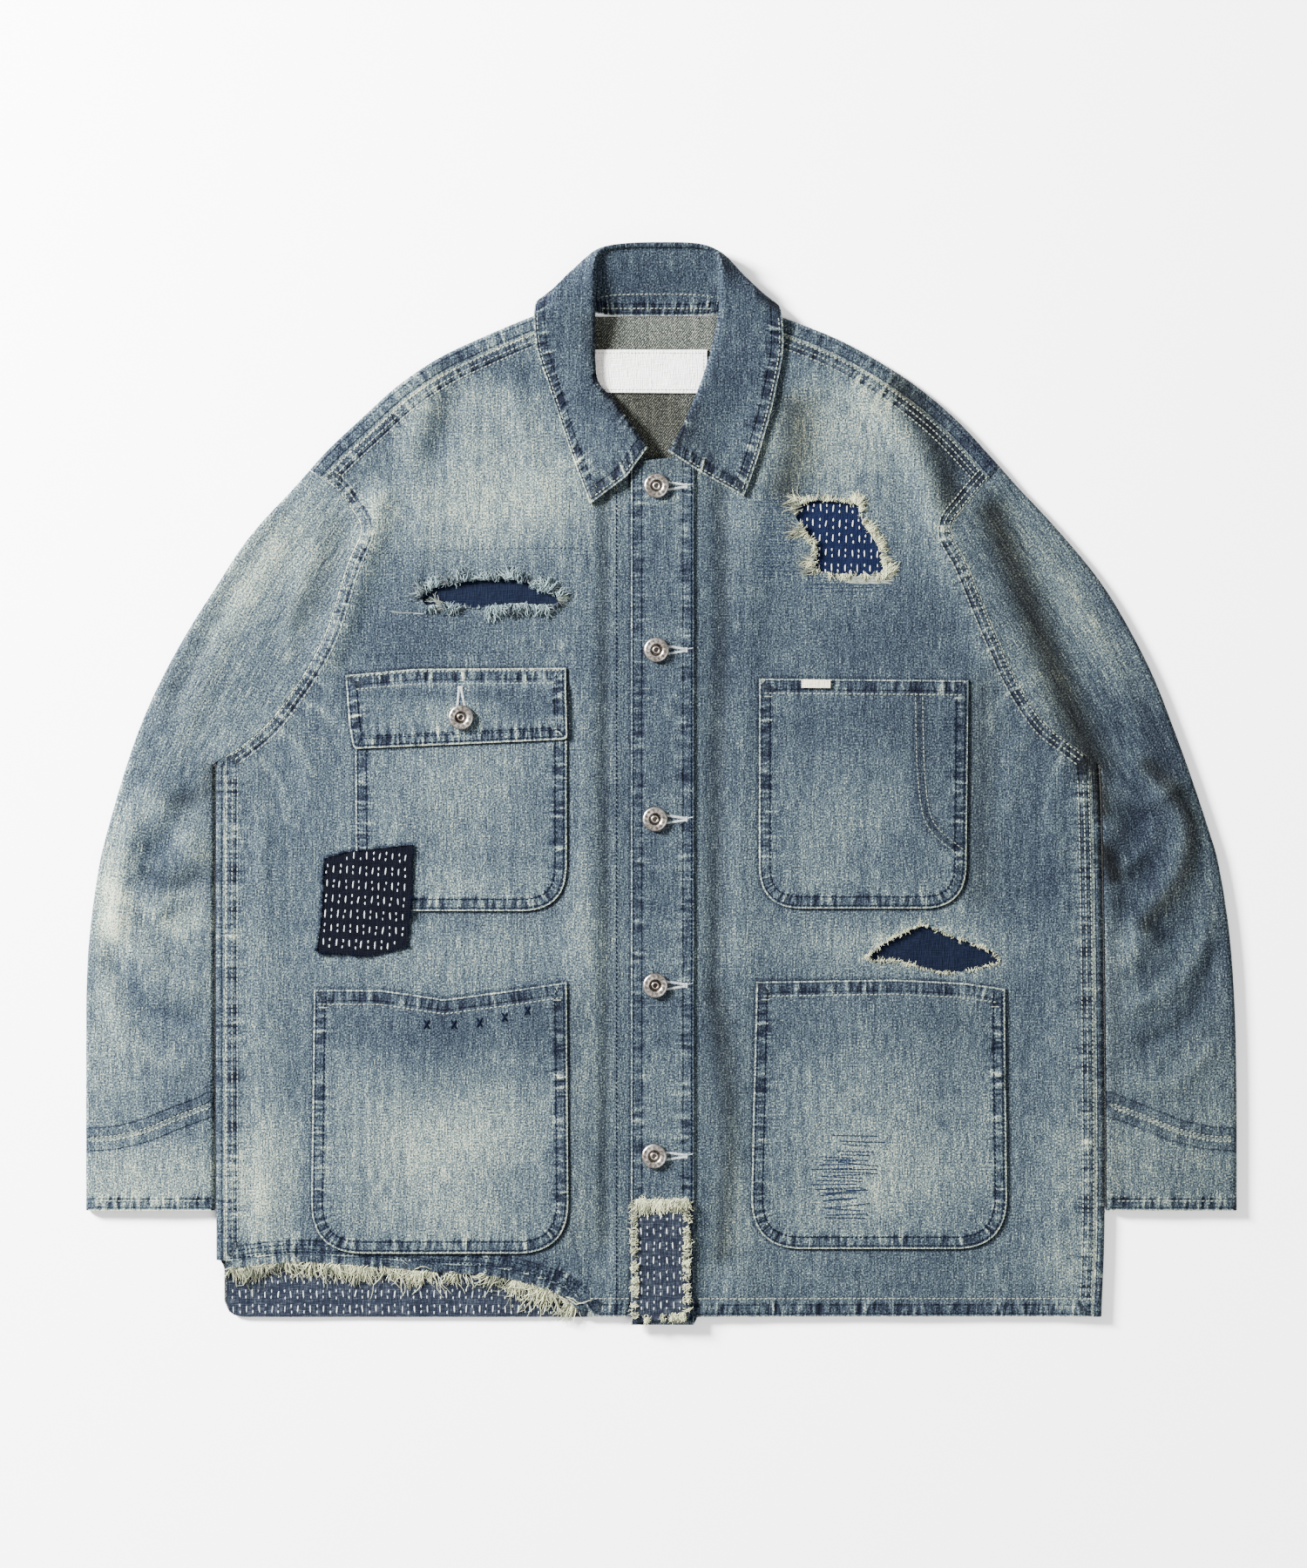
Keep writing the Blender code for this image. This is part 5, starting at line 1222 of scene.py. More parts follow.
def lay_panel(name, outline, surface, finish, slot, holes=(), step=PANEL_STEP, **worn):
    """A piece of cloth laid on a surface, in place of the solid with its name."""
    flat, faces = triangulated(outline, step, holes)
    points = surface.places(*flat.T)
    traits = traits_of(points_at(flat, points[:, 2]), **worn)
    finishes = [finish, WRONG_SIDE if finish is DENIM else finish]
    size, area = np.ptp(outline, axis=0) * METRES, area_of(points_at(flat, 0.0), faces)
    keep_cloth(name, points, faces, finishes, traits, area)


def lay_denim(name, outline, surface, seams, **worn):
    """A panel of denim, worn along its seams."""
    lay_panel(name, outline, surface, DENIM, "denim", seams=seams, **worn)


# Fronts


def torn(rip):
    """The uneven edge of a rip, as a closed line."""
    line = straight([*rip, rip[0]], TORN_STEP)[:-1]
    random = np.random.default_rng(len(rip))
    return closed(line + random.normal(0, TORN_UNEVEN, line.shape))


def cut_edges(armhole, side, shoulder):
    """A front's edges along its three seams."""
    depths = ((armhole, 0), (side, SIDE_SEAM_DEPTH), (shoulder, SHOULDER_SEAM_DEPTH))
    return [offset(line, depth + SEAM_GAP / 2) for line, depth in depths]


def front_outline_right():
    """The right front's cut, counter-clockwise from its armhole."""
    armhole, seam, shoulder = cut_edges(armhole_right, side_right, shoulder_right)
    across_hem, across_neck = [(-56, -386), (-50, -386)], [(-14, 236), (-13, 240)]
    return joined(
        between(armhole, shoulder, seam), between(seam, armhole, raw_hem), between(raw_hem, seam, across_hem),
        straight([RAW_HEM[-1], (UNDERLAP_EDGE, HEM_Y), (UNDERLAP_EDGE, PLACKET_TOP - 1), NECK_RIGHT[0]]),
        between(neck_right, across_neck, shoulder), between(shoulder, neck_right, armhole),
    )


def front_outline_left():
    """The left front's cut, counter-clockwise from its bottom edge."""
    armhole, seam, shoulder = cut_edges(armhole_left, side_left, shoulder_left)
    bottom = [
        (PLACKET_EDGE, PLACKET_BOTTOM), (PLACKET_SEAM, PLACKET_BOTTOM), (PLACKET_SEAM + 3, HEM_Y), seam[0],
    ]
    across_side = [(200, -200), (400, -200)]
    return joined(
        straight(bottom), seam[:-2], between(seam, armhole, across_side)[-2:],
        between(armhole, seam, shoulder),
        between(shoulder, armhole, neck_left), neck_left[1:],
        straight([NECK_LEFT[-1], (PLACKET_EDGE, PLACKET_TOP), (PLACKET_EDGE, PLACKET_BOTTOM)]),
    )


def build_fronts():
    """Both fronts with their rips, and the placket."""
    placket_edge = [(PLACKET_EDGE, PLACKET_TOP), (PLACKET_EDGE, PLACKET_BOTTOM)]
    band_edge = [(PLACKET_SEAM + 1, PLACKET_TOP), (PLACKET_SEAM + 1, PLACKET_BOTTOM)]
    hem_right, hem_left = [(-54, HEM_Y), (UNDERLAP_EDGE, HEM_Y)], [(PLACKET_SEAM, HEM_Y), (319, HEM_Y)]
    panels_on_right = pocket_chest_right, flap_chest_right, pocket_hip_right, patch_pocket
    on_right = [closed(line) for line in panels_on_right]
    rips_right, rips_left = [torn(RIP_CHEST_RIGHT)], [torn(rip) for rip in (RIP_CHEST_LEFT, RIP_WAIST_LEFT)]
    lay_denim(
        "front_right", front_outline_right(), ON_FRONT_RIGHT,
        [armhole_right, seam_side_right, seam_shoulder_right, hem_right, offset(raw_hem, 7.0)],
        raw=[*rips_right, raw_hem], fades=BODY_FADES_AND_SHADE, holes=[rip[:-1] for rip in rips_right],
        beside=[*on_right, placket_edge],
    )
    lay_denim(
        "front_left", front_outline_left(), ON_FRONT_LEFT,
        [armhole_left, seam_side_left, seam_shoulder_left, hem_left],
        raw=rips_left, fades=BODY_FADES_AND_SHADE, holes=[rip[:-1] for rip in rips_left],
        beside=[closed(pocket_chest_left), closed(pocket_hip_left)],
    )
    placket = joined(straight([
        *placket_edge, (PLACKET_SEAM, PLACKET_BOTTOM), (PLACKET_SEAM, PLACKET_TOP + 2), NECK_LEFT[-1],
        placket_edge[0],
    ]))
    band_seams = [placket_edge, band_edge]
    lay_denim("placket", placket, ON_PLACKET, band_seams, fades=BODY_FADES_AND_SHADE, base=0.02, ruffle=0.7)


def build_pockets():
    """The four pockets and the flap."""
    on_chest_pocket = [closed(flap_chest_right), closed(patch_pocket)]
    for name, outline, surface, ruffle, beside in (
        ("pocket_chest_right", pocket_chest_right, ON_POCKET_CHEST_RIGHT, 1.0, on_chest_pocket),
        ("flap_chest_right", flap_chest_right, ON_FLAP, 1.3, []),
        ("pocket_hip_right", pocket_hip_right, ON_POCKET_HIP_RIGHT, 1.0, []),
        ("pocket_chest_left", pocket_chest_left, ON_POCKET_CHEST_LEFT, 1.0, []),
        ("pocket_hip_left", pocket_hip_left, ON_POCKET_HIP_LEFT, 1.0, []),
    ):
        lay_denim(
            name, outline, surface, [closed(outline)], fades=POCKET_FADES, step=POCKET_STEP, ruffle=ruffle,
            beside=beside,
        )


def build_patches():
    """The patches on top, and the cloth behind the rips and the hem."""
    for name, outline, surface, finish in (
        ("patch_pocket", patch_pocket, ON_PATCH_POCKET, SASHIKO),
        ("patch_placket", rounded(PATCH_PLACKET), ON_PATCH_PLACKET, WORN_SASHIKO),
        ("patch_hem", rounded(PATCH_HEM), BEHIND_RIGHT, WORN_SASHIKO),
        ("backing_chest_left", rounded(BACKING_CHEST_LEFT), BEHIND_LEFT, BLUE_SASHIKO),
        ("backing_chest_right", rounded(BACKING_CHEST_RIGHT), BEHIND_RIGHT, INDIGO),
        ("backing_waist_left", rounded(BACKING_WAIST_LEFT), BEHIND_LEFT, INDIGO),
    ):
        lay_panel(name, outline, surface, finish, "sashiko_cloth")


# The back, with its wraps round the side and shoulder folds


def outward_of(border, first=None, last=None):
    """Unit directions to the right of a border, with its ends cut along other lines if given."""
    away = border - offset(border, 1.0)
    for k, cut in ((0, first), (-1, last)):
        if cut is not None:
            away[k] = cut
    return away


def fold_profile(radius):
    """(out, height) of a half turn from the flat cloth up round a fold."""
    return [(radius * math.sin(a), FLOOR_LAYER + radius * (1 - math.cos(a))) for a in np.radians(FOLD_TURN)]


def build_back():
    """The back with its folds, which turn up and over to the seams on the fronts."""
    sides, shoulders = (
        [offset(line, FOLD_INSET) for line in pair]
        for pair in ((side_left, side_right), (shoulder_left, shoulder_right))
    )
    at_left, at_right = (offset(line, SEAM_GAP / 2) for line in (armhole_left, armhole_right))
    hole_left = between(at_left, sides[0], shoulders[0])
    hole_right = between(at_right, shoulders[1], sides[1])
    sides[0][-1], sides[1][0] = hole_left[0], hole_right[-1]
    shoulders[0][0], shoulders[1][-1] = hole_left[-1], hole_right[0]
    outline = joined(
        straight([HEM_CORNER[-1], sides[0][0]]), sides[0], hole_left, shoulders[0],
        straight(BACK_NECK), shoulders[1], hole_right, sides[1], HEM_CORNER,
    )
    flat, faces = triangulated(outline, HIDDEN_STEP)
    parts = [(points_at(flat, FLOOR_LAYER), faces)]
    turn = fold_profile((FOLD_TOP - FLOOR_LAYER) / 2)
    for border, depth, first, last in (
        (sides[0], SIDE_SEAM_DEPTH, None, CUT_SIDE_LEFT),
        (sides[1], SIDE_SEAM_DEPTH, CUT_SIDE_RIGHT, None),
        (shoulders[0], SHOULDER_SEAM_DEPTH, None, None),
        (shoulders[1], SHOULDER_SEAM_DEPTH, None, CUT_SHOULDER_RIGHT),
    ):
        reach, away = depth - FOLD_INSET - SEAM_GAP / 2, outward_of(border, first, last)
        profile = [*turn, (-reach / 2, FOLD_TOP), (-reach, FOLD_TOP)]
        rows = [points_at(border + away * out, z) for out, z in profile]
        parts.append((np.vstack(rows), grid_faces(len(rows), len(border), flip=True)))
    points, faces = assembled(parts)
    on_top = points[:, 2] > BACK_TURNED
    traits = traits_of(points, FRONT_SEAMS, fades=BODY_FADES_AND_SHADE, base=0.04, seam_side=on_top, ruffle=0.55)
    keep_cloth("back", points, faces[:, ::-1], [DENIM, WRONG_SIDE], traits)


def assembled(parts):
    """One welded surface from several (points, faces)."""
    starts = np.cumsum([0, *(len(points) for points, _ in parts[:-1])])
    faces = [part_faces + start for (_, part_faces), start in zip(parts, starts)]
    return welded(np.vstack([points for points, _ in parts]), np.vstack(faces))


# Sleeves and cuffs


def sleeve_height(outer, inner, x, y):
    """The top layer of a sleeve: it leaves the armhole at the front's height and swells between its folds."""
    to_outer, to_inner = distance_to(outer[::3], x, y), distance_to(inner[::3], x, y)
    share = to_outer / (to_outer + to_inner + 1e-6)
    swell = 4 * share * (1 - share)
    own = FOLD_TOP + SLEEVE_PUFF * swell + swell * uneven(x, y, *SLEEVE_UNEVEN)
    own = own + np.clip(swell * 1.6, 0, 1) * folds_at([*SLEEVE_FOLDS, *SLEEVE_CREASES], x, y)
    armhole = armhole_left if outer[0][0] > 0 else armhole_right
    weight = step_up(distance_to(armhole[::2], x, y) / SLEEVE_BLEND)
    return (1 - weight) * front_height(x, y) + weight * own


def tube(outer, inner, start, end, height, outer_cut=None):
    """A flat tube as points and faces. Its outline runs down the outer fold, along the end, up and along
    the start."""
    outline = joined(outer, end, inner[::-1], start)
    following = np.roll(outline, -1, axis=0)
    clockwise = np.sum(outline[:, 0] * following[:, 1] - following[:, 0] * outline[:, 1]) < 0
    flat, faces = triangulated(outline, PANEL_STEP)
    parts = [(points_at(flat, height(*flat.T)), faces)]
    flat, faces = triangulated(outline, HIDDEN_STEP)
    parts.append((points_at(flat, FLOOR_LAYER), faces[:, ::-1]))
    for border in (outer, inner[::-1]):
        away = offset(border, 1 if clockwise else -1) - border
        if border is outer and outer_cut is not None:
            away[0] = outer_cut
        radius = (height(*border.T) - FLOOR_LAYER) / 2
        rows = [points_at(border + away * out[:, None], z) for out, z in fold_profile(radius)]
        parts.append((np.vstack(rows), grid_faces(len(rows), len(border), flip=clockwise)))
    return assembled(parts)


def split_line(line, y):
    """An open line that runs down, cut at a height y into its upper and lower parts."""
    k = int(np.argmax(line[:, 1] < y))
    share = (line[k - 1][1] - y) / (line[k - 1][1] - line[k][1])
    cut = line[k - 1] + (line[k] - line[k - 1]) * share
    return np.vstack([line[:k], cut]), np.vstack([cut, line[k:]])


def along_sleeve(axis, points):
    """Places on the weave of a sleeve, whose warp follows the sleeve's axis."""
    x, y = points[:, :2].T
    away, run = nearest(axis, x, y)
    outward = np.sign(x - np.interp(-y, -axis[:, 1], axis[:, 0]))
    return points_at(np.column_stack([away * outward + WEAVE_SHIFT, run]), 0.0)


def build_sleeve(side):
    """A sleeve and its cuff. Returns the surface on top of both, and their lines that are sewn."""
    left = side == "left"
    sign = 1 if left else -1
    outer = offset(smooth(SLEEVE_OUTER_LEFT if left else SLEEVE_OUTER_RIGHT), -FOLD_INSET * sign)
    body_side = side_left[::-1] if left else side_right
    inner = offset(body_side, (FOLD_INSET + SLEEVE_CLEARANCE) * sign)
    armhole = offset(armhole_left if left else armhole_right, -SEAM_GAP / 2)
    outer, inner = extended(outer, 20), extended(inner, 20)
    start = between(armhole, inner, outer)
    start = start if left else start[::-1]
    end_line = [(-500, CUFF_END_Y), (500, CUFF_END_Y)]
    outer, inner = between(outer, armhole, end_line), between(inner, armhole, end_line)
    seam, axis = (smooth([(x * sign, y) for x, y in line], step) for line, step in
                  ((CUFF_SEAM, EDGE_STEP), (SLEEVE_AXIS, 12)))
    axis = extended(axis, 300)
    outer_sleeve, outer_cuff = split_line(outer, seam[0][1])
    inner_sleeve, inner_cuff = split_line(inner, seam[-1][1])
    gap = np.array((0, SEAM_GAP / 2))
    seam = np.vstack([outer_cuff[:1], seam[1:-1], inner_cuff[:1]])

    def height(x, y):
        return sleeve_height(outer, inner, x, y)

    def keep_part(name, points, faces, seams, base=0.0):
        x, y = points[:, :2].T
        traits = traits_of(points, seams, fades=SLEEVE_FADES_AND_SHADE, base=base, ruffle=SEAM_RUFFLE)
        if name == "cuff":
            traits["ruffle"][distance_to(end, x, y) <= distance_to(seam, x, y)] = END_RUFFLE
        traits["grain"] = along_sleeve(axis, points)
        # Paler wear on the folds' ridges, and painted shade in their troughs
        traits["fade"] = traits["fade"] + RIDGE_WEAR_AND_SHADE * folds_at([*SLEEVE_FOLDS, *SLEEVE_CREASES], x, y)
        keep_cloth(f"{name}_{side}", points, faces, [FADED, WRONG_SIDE], traits)

    upper = [np.vstack([part[:-1], cuff[:1] + gap]) for part, cuff in
             ((outer_sleeve, outer_cuff), (inner_sleeve, inner_cuff))]
    lower = [np.vstack([cuff[:1] - gap, cuff[1:]]) for cuff in (outer_cuff, inner_cuff)]
    end = straight([lower[0][-1], lower[1][-1]])
    points, faces = tube(*upper, start, seam + gap, height, None if left else CUT_SHOULDER_RIGHT)
    keep_part("sleeve", points, faces, [seam])
    points, faces = tube(*lower, (seam - gap)[::-1], end, height)
    keep_part("cuff", points, faces, [seam, end], 0.02)
    return {"surface": Surface(height), "seam": seam, "end": end}


# Collar


def on_front(station, height):
    """Heights for a station whose fall lies on a front."""
    neck, roll, middle, edge = station
    base = [float(height(*spot)) for spot in station]
    return (
        (*neck, base[0]),
        (*roll, max(base[0], base[1]) + LEAF_LIFT / 2),
        (*middle, base[2] + (LEAF_LIFT + LEAF_REST) / 2),
        (*edge, base[3] + LEAF_REST),
    )


def section(neck, roll, middle, edge):
    """A smooth cut through the collar: up the stand, round the roll and down the fall."""
    back = unit((middle - roll) * (1, 1, 0))
    under, above = (roll + (0, 0, rise) + back * behind for rise, behind in ROLL_SHAPE)
    spots = [
        neck, (neck + under) / 2, under, roll, above, (above + middle) / 2, middle, (middle + edge) / 2, edge,
    ]
    rows = []
    for start, end, count in zip(spots, spots[1:], SECTION_COUNTS):
        rows += [start + (end - start) * k / count for k in range(count)]
    return np.array([*rows, edge])


def build_collar():
    """The collar. Returns its points, row by row from the right leaf to the left one."""
    def under_right_leaf(x, y):
        return front_height(x, y) + 2 * LAYER * step_up((x - LEAF_STEP_RIGHT_X) / LEAF_STEP_WIDTH)

    def under_left_leaf(x, y):
        return left_front_height(x, y) + LAYER * step_up((LEAF_STEP_LEFT_X - x) / LEAF_STEP_WIDTH)

    right = [on_front(station, under_right_leaf) for station in COLLAR_RIGHT_FRONT] + COLLAR_RIGHT_BACK
    left = [on_front(station, under_left_leaf) for station in COLLAR_LEFT_FRONT] + COLLAR_LEFT_BACK
    stations = np.array([*right, COLLAR_CENTRE_BACK, *left[::-1]], float)
    lines = [curved(stations[:, k], [STATION_STEPS] * (len(stations) - 1)) for k in range(4)]
    rows = np.array([section(*cut) for cut in zip(*lines)])
    count, width = rows.shape[:2]
    steps_down = np.linalg.norm(np.diff(rows, axis=1), axis=2)
    from_neck = np.concatenate([np.zeros((count, 1)), np.cumsum(steps_down, axis=1)], axis=1)
    steps = np.linalg.norm(np.diff(rows[:, -1], axis=0), axis=1)
    along = np.concatenate([[0], np.cumsum(steps)])[:, None] + np.zeros((1, width))
    edge = np.minimum(from_neck[:, -1:] - from_neck, from_neck).reshape(-1)
    points = rows.reshape(-1, 3)
    x, y = points[:, :2].T
    ends = np.minimum(*(distance_to(rows[k, :, :2], x, y) for k in (0, -1)))
    traits = traits_of(points, base=-0.10, ruffle=1.35)
    traits["run"] = np.where(ends < edge, from_neck.reshape(-1), along.reshape(-1))
    traits["edge"] = np.minimum(edge, ends)
    traits["fade"] = traits["fade"] + blobs_at(COLLAR_FADES, x, y)
    faces = grid_faces(count, width)
    keep_cloth("collar", points, faces, [DENIM, DENIM], traits, thickness=COLLAR_CLOTH)
    return rows


# Threads: stitches, dashes and loose strands

FRINGE_SOLIDS = {
    "fringe_hem", "fringe_chest_right_upper", "fringe_chest_right_lower", "fringe_chest_left",
    "fringe_placket",
}
RIP_BUNDLES = (
    ((97, 199), (97, 208)), ((99, 181), (99, 190)), ((106, 153), (106, 163)), ((166, 158), (166, 150)),
)

# Frayed strands: how far tufts and single strands lean in radians, their lengths as shares, and their tips
TUFT_LEAN = 0.38
TUFT_LENGTHS = (0.6, 1.25)
TUFT_PALER = 0.35
STRAND_LEAN = 0.22
STRAND_LENGTHS = (0.55, 1.15)
STRAND_TIP = 0.35



def frames_along(line, spots):
    """Places and unit directions on a line, at given lengths along it."""
    lengths = np.concatenate([[0], np.cumsum(np.linalg.norm(np.diff(line, axis=0), axis=1))])
    here, ahead, behind = (
        np.column_stack([np.interp(spots + shift, lengths, values) for values in line.T])
        for shift in (0, 0.5, -0.5)
    )
    return here, unit(ahead - behind)


def length_of(line):
    """Length of a line."""
    return float(np.linalg.norm(np.diff(np.asarray(line, float), axis=0), axis=1).sum())


STITCH_RING = ((0.5, 0), (0, 0.5), (-0.5, 0), (0, -0.5))
STITCH_FORM = np.array([
    (-0.5, 0, 0), *((a, b, c) for a in (-0.3, 0.3) for b, c in STITCH_RING), (0.5, 0, 0),
])
STITCH_FACES = np.array([
    *((0, 1 + (k + 1) % 4, 1 + k) for k in range(4)),
    *((1 + k, 1 + (k + 1) % 4, 5 + (k + 1) % 4) for k in range(4)),
    *((1 + k, 5 + (k + 1) % 4, 5 + k) for k in range(4)),
    *((9, 5 + k, 5 + (k + 1) % 4) for k in range(4)),
])


class Threads:
    """Gathers short stitches into one mesh."""

    def __init__(self, name, finish, slot, seed):
        self.name, self.finish, self.slot = name, finish, slot
        self.random = np.random.default_rng(seed)
        self.points, self.faces, self.tones, self.count = [], [], [], 0

    def add(self, points, form_faces, tones):
        """Copies of one form, each with a tone: all their points, and the faces of the first."""
        form_size = len(points) // len(tones)
        starts = self.count + np.arange(len(tones))[:, None, None] * form_size
        self.points.append(points)
        self.faces.append((form_faces[None] + starts).reshape(-1, 3))
        self.tones.append(np.repeat(tones, form_size))
        self.count += len(points)

    def stitches(self, surface, spots, heading, length, width, height=None, lift=0.05):
        """Stitches centred on plane spots, along their headings, lying on a surface's outer side."""
        spots, heading = np.asarray(spots, float), np.asarray(heading, float)
        length = np.broadcast_to(length, len(spots))
        height = width * 0.7 if height is None else height
        form = STITCH_FORM
        flat = spots[:, None] + heading[:, None] * (form[None, :, :1] * length[:, None, None])
        flat = flat + leftward(heading)[:, None] * (form[None, :, 1:2] * width)
        base = surface.top(*spots.T, lift)
        halves = length / 2, -length / 2
        ends, starts = (surface.top(*(spots + heading * half[:, None]).T, lift) for half in halves)
        slope = (ends[:, 2] - starts[:, 2])[:, None] * form[None, :, 0]
        z = base[:, 2][:, None] + slope + form[None, :, 2] * height
        points = np.concatenate([flat, z[..., None]], axis=2).reshape(-1, 3)
        self.add(points, STITCH_FACES, self.random.uniform(0.35, 1.0, len(spots)))

    def row(
        self, surface, line, pitch=STITCH_PITCH, length=STITCH_LENGTH, width=STITCH_WIDTH, slant=STITCH_SLANT,
    ):
        """A row of running stitches along a line."""
        line = np.asarray(line, float)
        total = length_of(line)
        if total < pitch:
            return
        spots = np.arange(pitch / 2, total, pitch)
        here, heading = frames_along(line, spots)
        heading = rotated(heading, np.radians(self.random.normal(slant, STITCH_STRAY, len(here))))
        lengths = length * self.random.uniform(*STITCH_LENGTHS, len(here))
        self.stitches(surface, here, heading, lengths, width)

    def strands(self, surface, roots, headings, length, width, curl=0.5, rise=0.6, paler=0.0, rings=6):
        """Loose tapering three-sided strands that leave their roots along the headings and bend at random."""
        roots, headings = np.asarray(roots, float), np.asarray(headings, float)
        count = len(roots)
        reach = length * self.random.uniform(*STRAND_LENGTHS, count)
        angle = np.arctan2(headings[:, 1], headings[:, 0]) + self.random.normal(0, STRAND_LEAN, count)
        bend = self.random.normal(0, curl, count)
        wave = self.random.uniform(0, 2 * math.pi, count)
        spot, path = roots.copy(), []
        for k in range(rings):
            path.append(spot.copy())
            turned = angle + bend * k / rings + 0.35 * curl * np.sin(wave + 2.1 * k)
            spot = spot + np.column_stack([np.cos(turned), np.sin(turned)]) * (reach / (rings - 1))[:, None]
        path = np.array(path)
        flat = path.reshape(-1, 2)
        share = np.repeat(np.linspace(0, 1, rings), count)
        hump = self.random.uniform(0.15, 1.0, count)
        lift = 0.2 + rise * np.tile(hump, rings) * np.sin(np.pi * np.clip(share * 0.85 + 0.08, 0, 1))
        middle = surface.top(flat[:, 0], flat[:, 1], 0.0)
        middle = np.column_stack([flat, middle[:, 2] + lift]).reshape(rings, count, 3)
        heading = unit(np.gradient(middle, axis=0))
        side = unit(np.cross(heading, (0, 0, 1.0)))
        up = np.cross(side, heading)
        taper = (width / 2 * np.array([1.0, *np.linspace(1.0, STRAND_TIP, rings - 1)]))[:, None, None]
        around = np.radians((90, 210, 330))
        corners = [middle + (side * math.cos(a) + up * math.sin(a)) * taper for a in around]
        points = np.stack(corners, axis=2).transpose(1, 0, 2, 3).reshape(-1, 3)
        faces = []
        for ring in range(rings - 1):
            for k in range(3):
                a, b = ring * 3 + k, ring * 3 + (k + 1) % 3
                faces += [(a, b, b + 3), (a, b + 3, a + 3)]
        last = (rings - 1) * 3
        faces += [(0, 2, 1), (last, last + 1, last + 2)]
        self.add(points, np.array(faces), np.clip(self.random.uniform(0.1, 1.0, count) + paler, 0, 1))

    def make(self, *nodes):
        """Makes the mesh, in place of the solids named."""
        points, faces = np.vstack(self.points), np.vstack(self.faces)
        traits = {"tone": np.concatenate(self.tones)}
        obj = make_mesh(self.name, points, faces, [self.finish], traits)
        keep(obj, *nodes)


def build_felled_seams():
    """Triple rows on the shoulder, side and armhole seams, the hems and the placket."""
    cream = Threads("sewing_body", CREAM, "frayed_cotton", 11)
    for surface, shoulder, side, armhole in (
        (ON_FRONT_RIGHT, seam_shoulder_right, seam_side_right, armhole_right),
        (ON_FRONT_LEFT, seam_shoulder_left, seam_side_left, armhole_left),
    ):
        for depth in FELLED_ROWS:
            cream.row(surface, offset(shoulder, depth)[2:-3])
            cream.row(surface, offset(side, depth)[3:-3])
            cream.row(surface, offset(armhole, depth + SEAM_GAP)[3:-3])
    for surface, start, end in (
        (ON_FRONT_LEFT, PLACKET_SEAM + 3, 313), (ON_FRONT_RIGHT, -52, PLACKET_EDGE - 1),
    ):
        cream.row(surface, straight([(start, HEM_Y + HEM_DEPTH), (end, HEM_Y + HEM_DEPTH)]))
    cream.make()
    navy = Threads("sewing_placket", NAVY, "denim", 12)
    for surface, x, top, bottom in (
        (ON_PLACKET, PLACKET_SEAM - EDGE_ROW, 232, PLACKET_BOTTOM + 2),
        (ON_PLACKET, PLACKET_EDGE + EDGE_ROW, 230, PLACKET_BOTTOM + 2),
        (ON_FRONT_RIGHT, FACING_ROW_X, 222, HEM_Y + 2),
    ):
        navy.row(surface, straight([(x, top), (x, bottom)]))
    for depth in RAW_HEM_ROWS:
        navy.row(ON_FRONT_RIGHT, offset(raw_hem, depth)[1:-3], width=0.9)
    navy.row(ON_FRONT_RIGHT, straight(CHEST_PATCH_LINE), length=1.6, pitch=3.0, width=0.55, slant=0)
    navy.make()


def build_pocket_sewing():
    """Rows round the pockets and the flap, the pen division, and crosses on the right hip pocket."""
    navy = Threads("sewing_pockets", NAVY, "denim", 21)
    cream = Threads("sewing_pocket_tops", CREAM, "frayed_cotton", 22)
    for corners, surface in (
        (POCKET_CHEST_RIGHT, ON_POCKET_CHEST_RIGHT), (POCKET_HIP_RIGHT, ON_POCKET_HIP_RIGHT),
        (POCKET_CHEST_LEFT, ON_POCKET_CHEST_LEFT), (POCKET_HIP_LEFT, ON_POCKET_HIP_LEFT),
    ):
        sides = rounded_line(corners[:4])
        for depth in POCKET_ROWS:
            navy.row(surface, offset(sides, depth)[1:-1])
        mouth = straight([corner[:2] for corner in (*corners[3:], corners[0])])
        cream.row(surface, offset(mouth, MOUTH_ROW)[1:-1])
        for end, inward in ((sides[1], 1), (sides[-2], -1)):
            here = end + np.multiply(BAR_TACK_PLACE, (inward, 1))
            cream.row(surface, straight([here, here + (inward * BAR_TACK_LENGTH, 0)], 2), **BAR_TACK)
    flap_sides = rounded_line(FLAP_CHEST_RIGHT[:6])
    for depth in FLAP_ROWS:
        navy.row(ON_FLAP, offset(flap_sides, depth)[1:-1])
    top = straight([corner[:2] for corner in (*FLAP_CHEST_RIGHT[5:], FLAP_CHEST_RIGHT[0])])
    cream.row(ON_FLAP, offset(top, 1.8)[1:-1])
    cream.row(ON_FLAP, offset(top, 11.0)[2:-2])
    for depth in DIVISION_ROWS:
        cream.row(ON_POCKET_CHEST_LEFT, offset(smooth(PEN_DIVISION), depth), width=DIVISION_WIDTH)
    for place in PATCH_CROSSES:
        for lean in (1, -1):
            heading = np.array([(3.0, 5.0 * lean)]) / math.hypot(3, 5)
            navy.stitches(ON_POCKET_HIP_RIGHT, [place], heading, *CROSS_SIZE, lift=0.25)
    navy.make()
    cream.make()


def build_sleeve_sewing(sleeves):
    """Rows along the cuffs' seams and ends."""
    cream = Threads("sewing_sleeves", CREAM, "frayed_cotton", 31)
    for sleeve in sleeves:
        for depth in CUFF_ROWS:
            cream.row(sleeve["surface"], (sleeve["seam"] + (0, depth))[1:-1])
        cream.row(sleeve["surface"], (sleeve["end"] + (0, CUFF_END_ROW))[1:-1])
    cream.make()


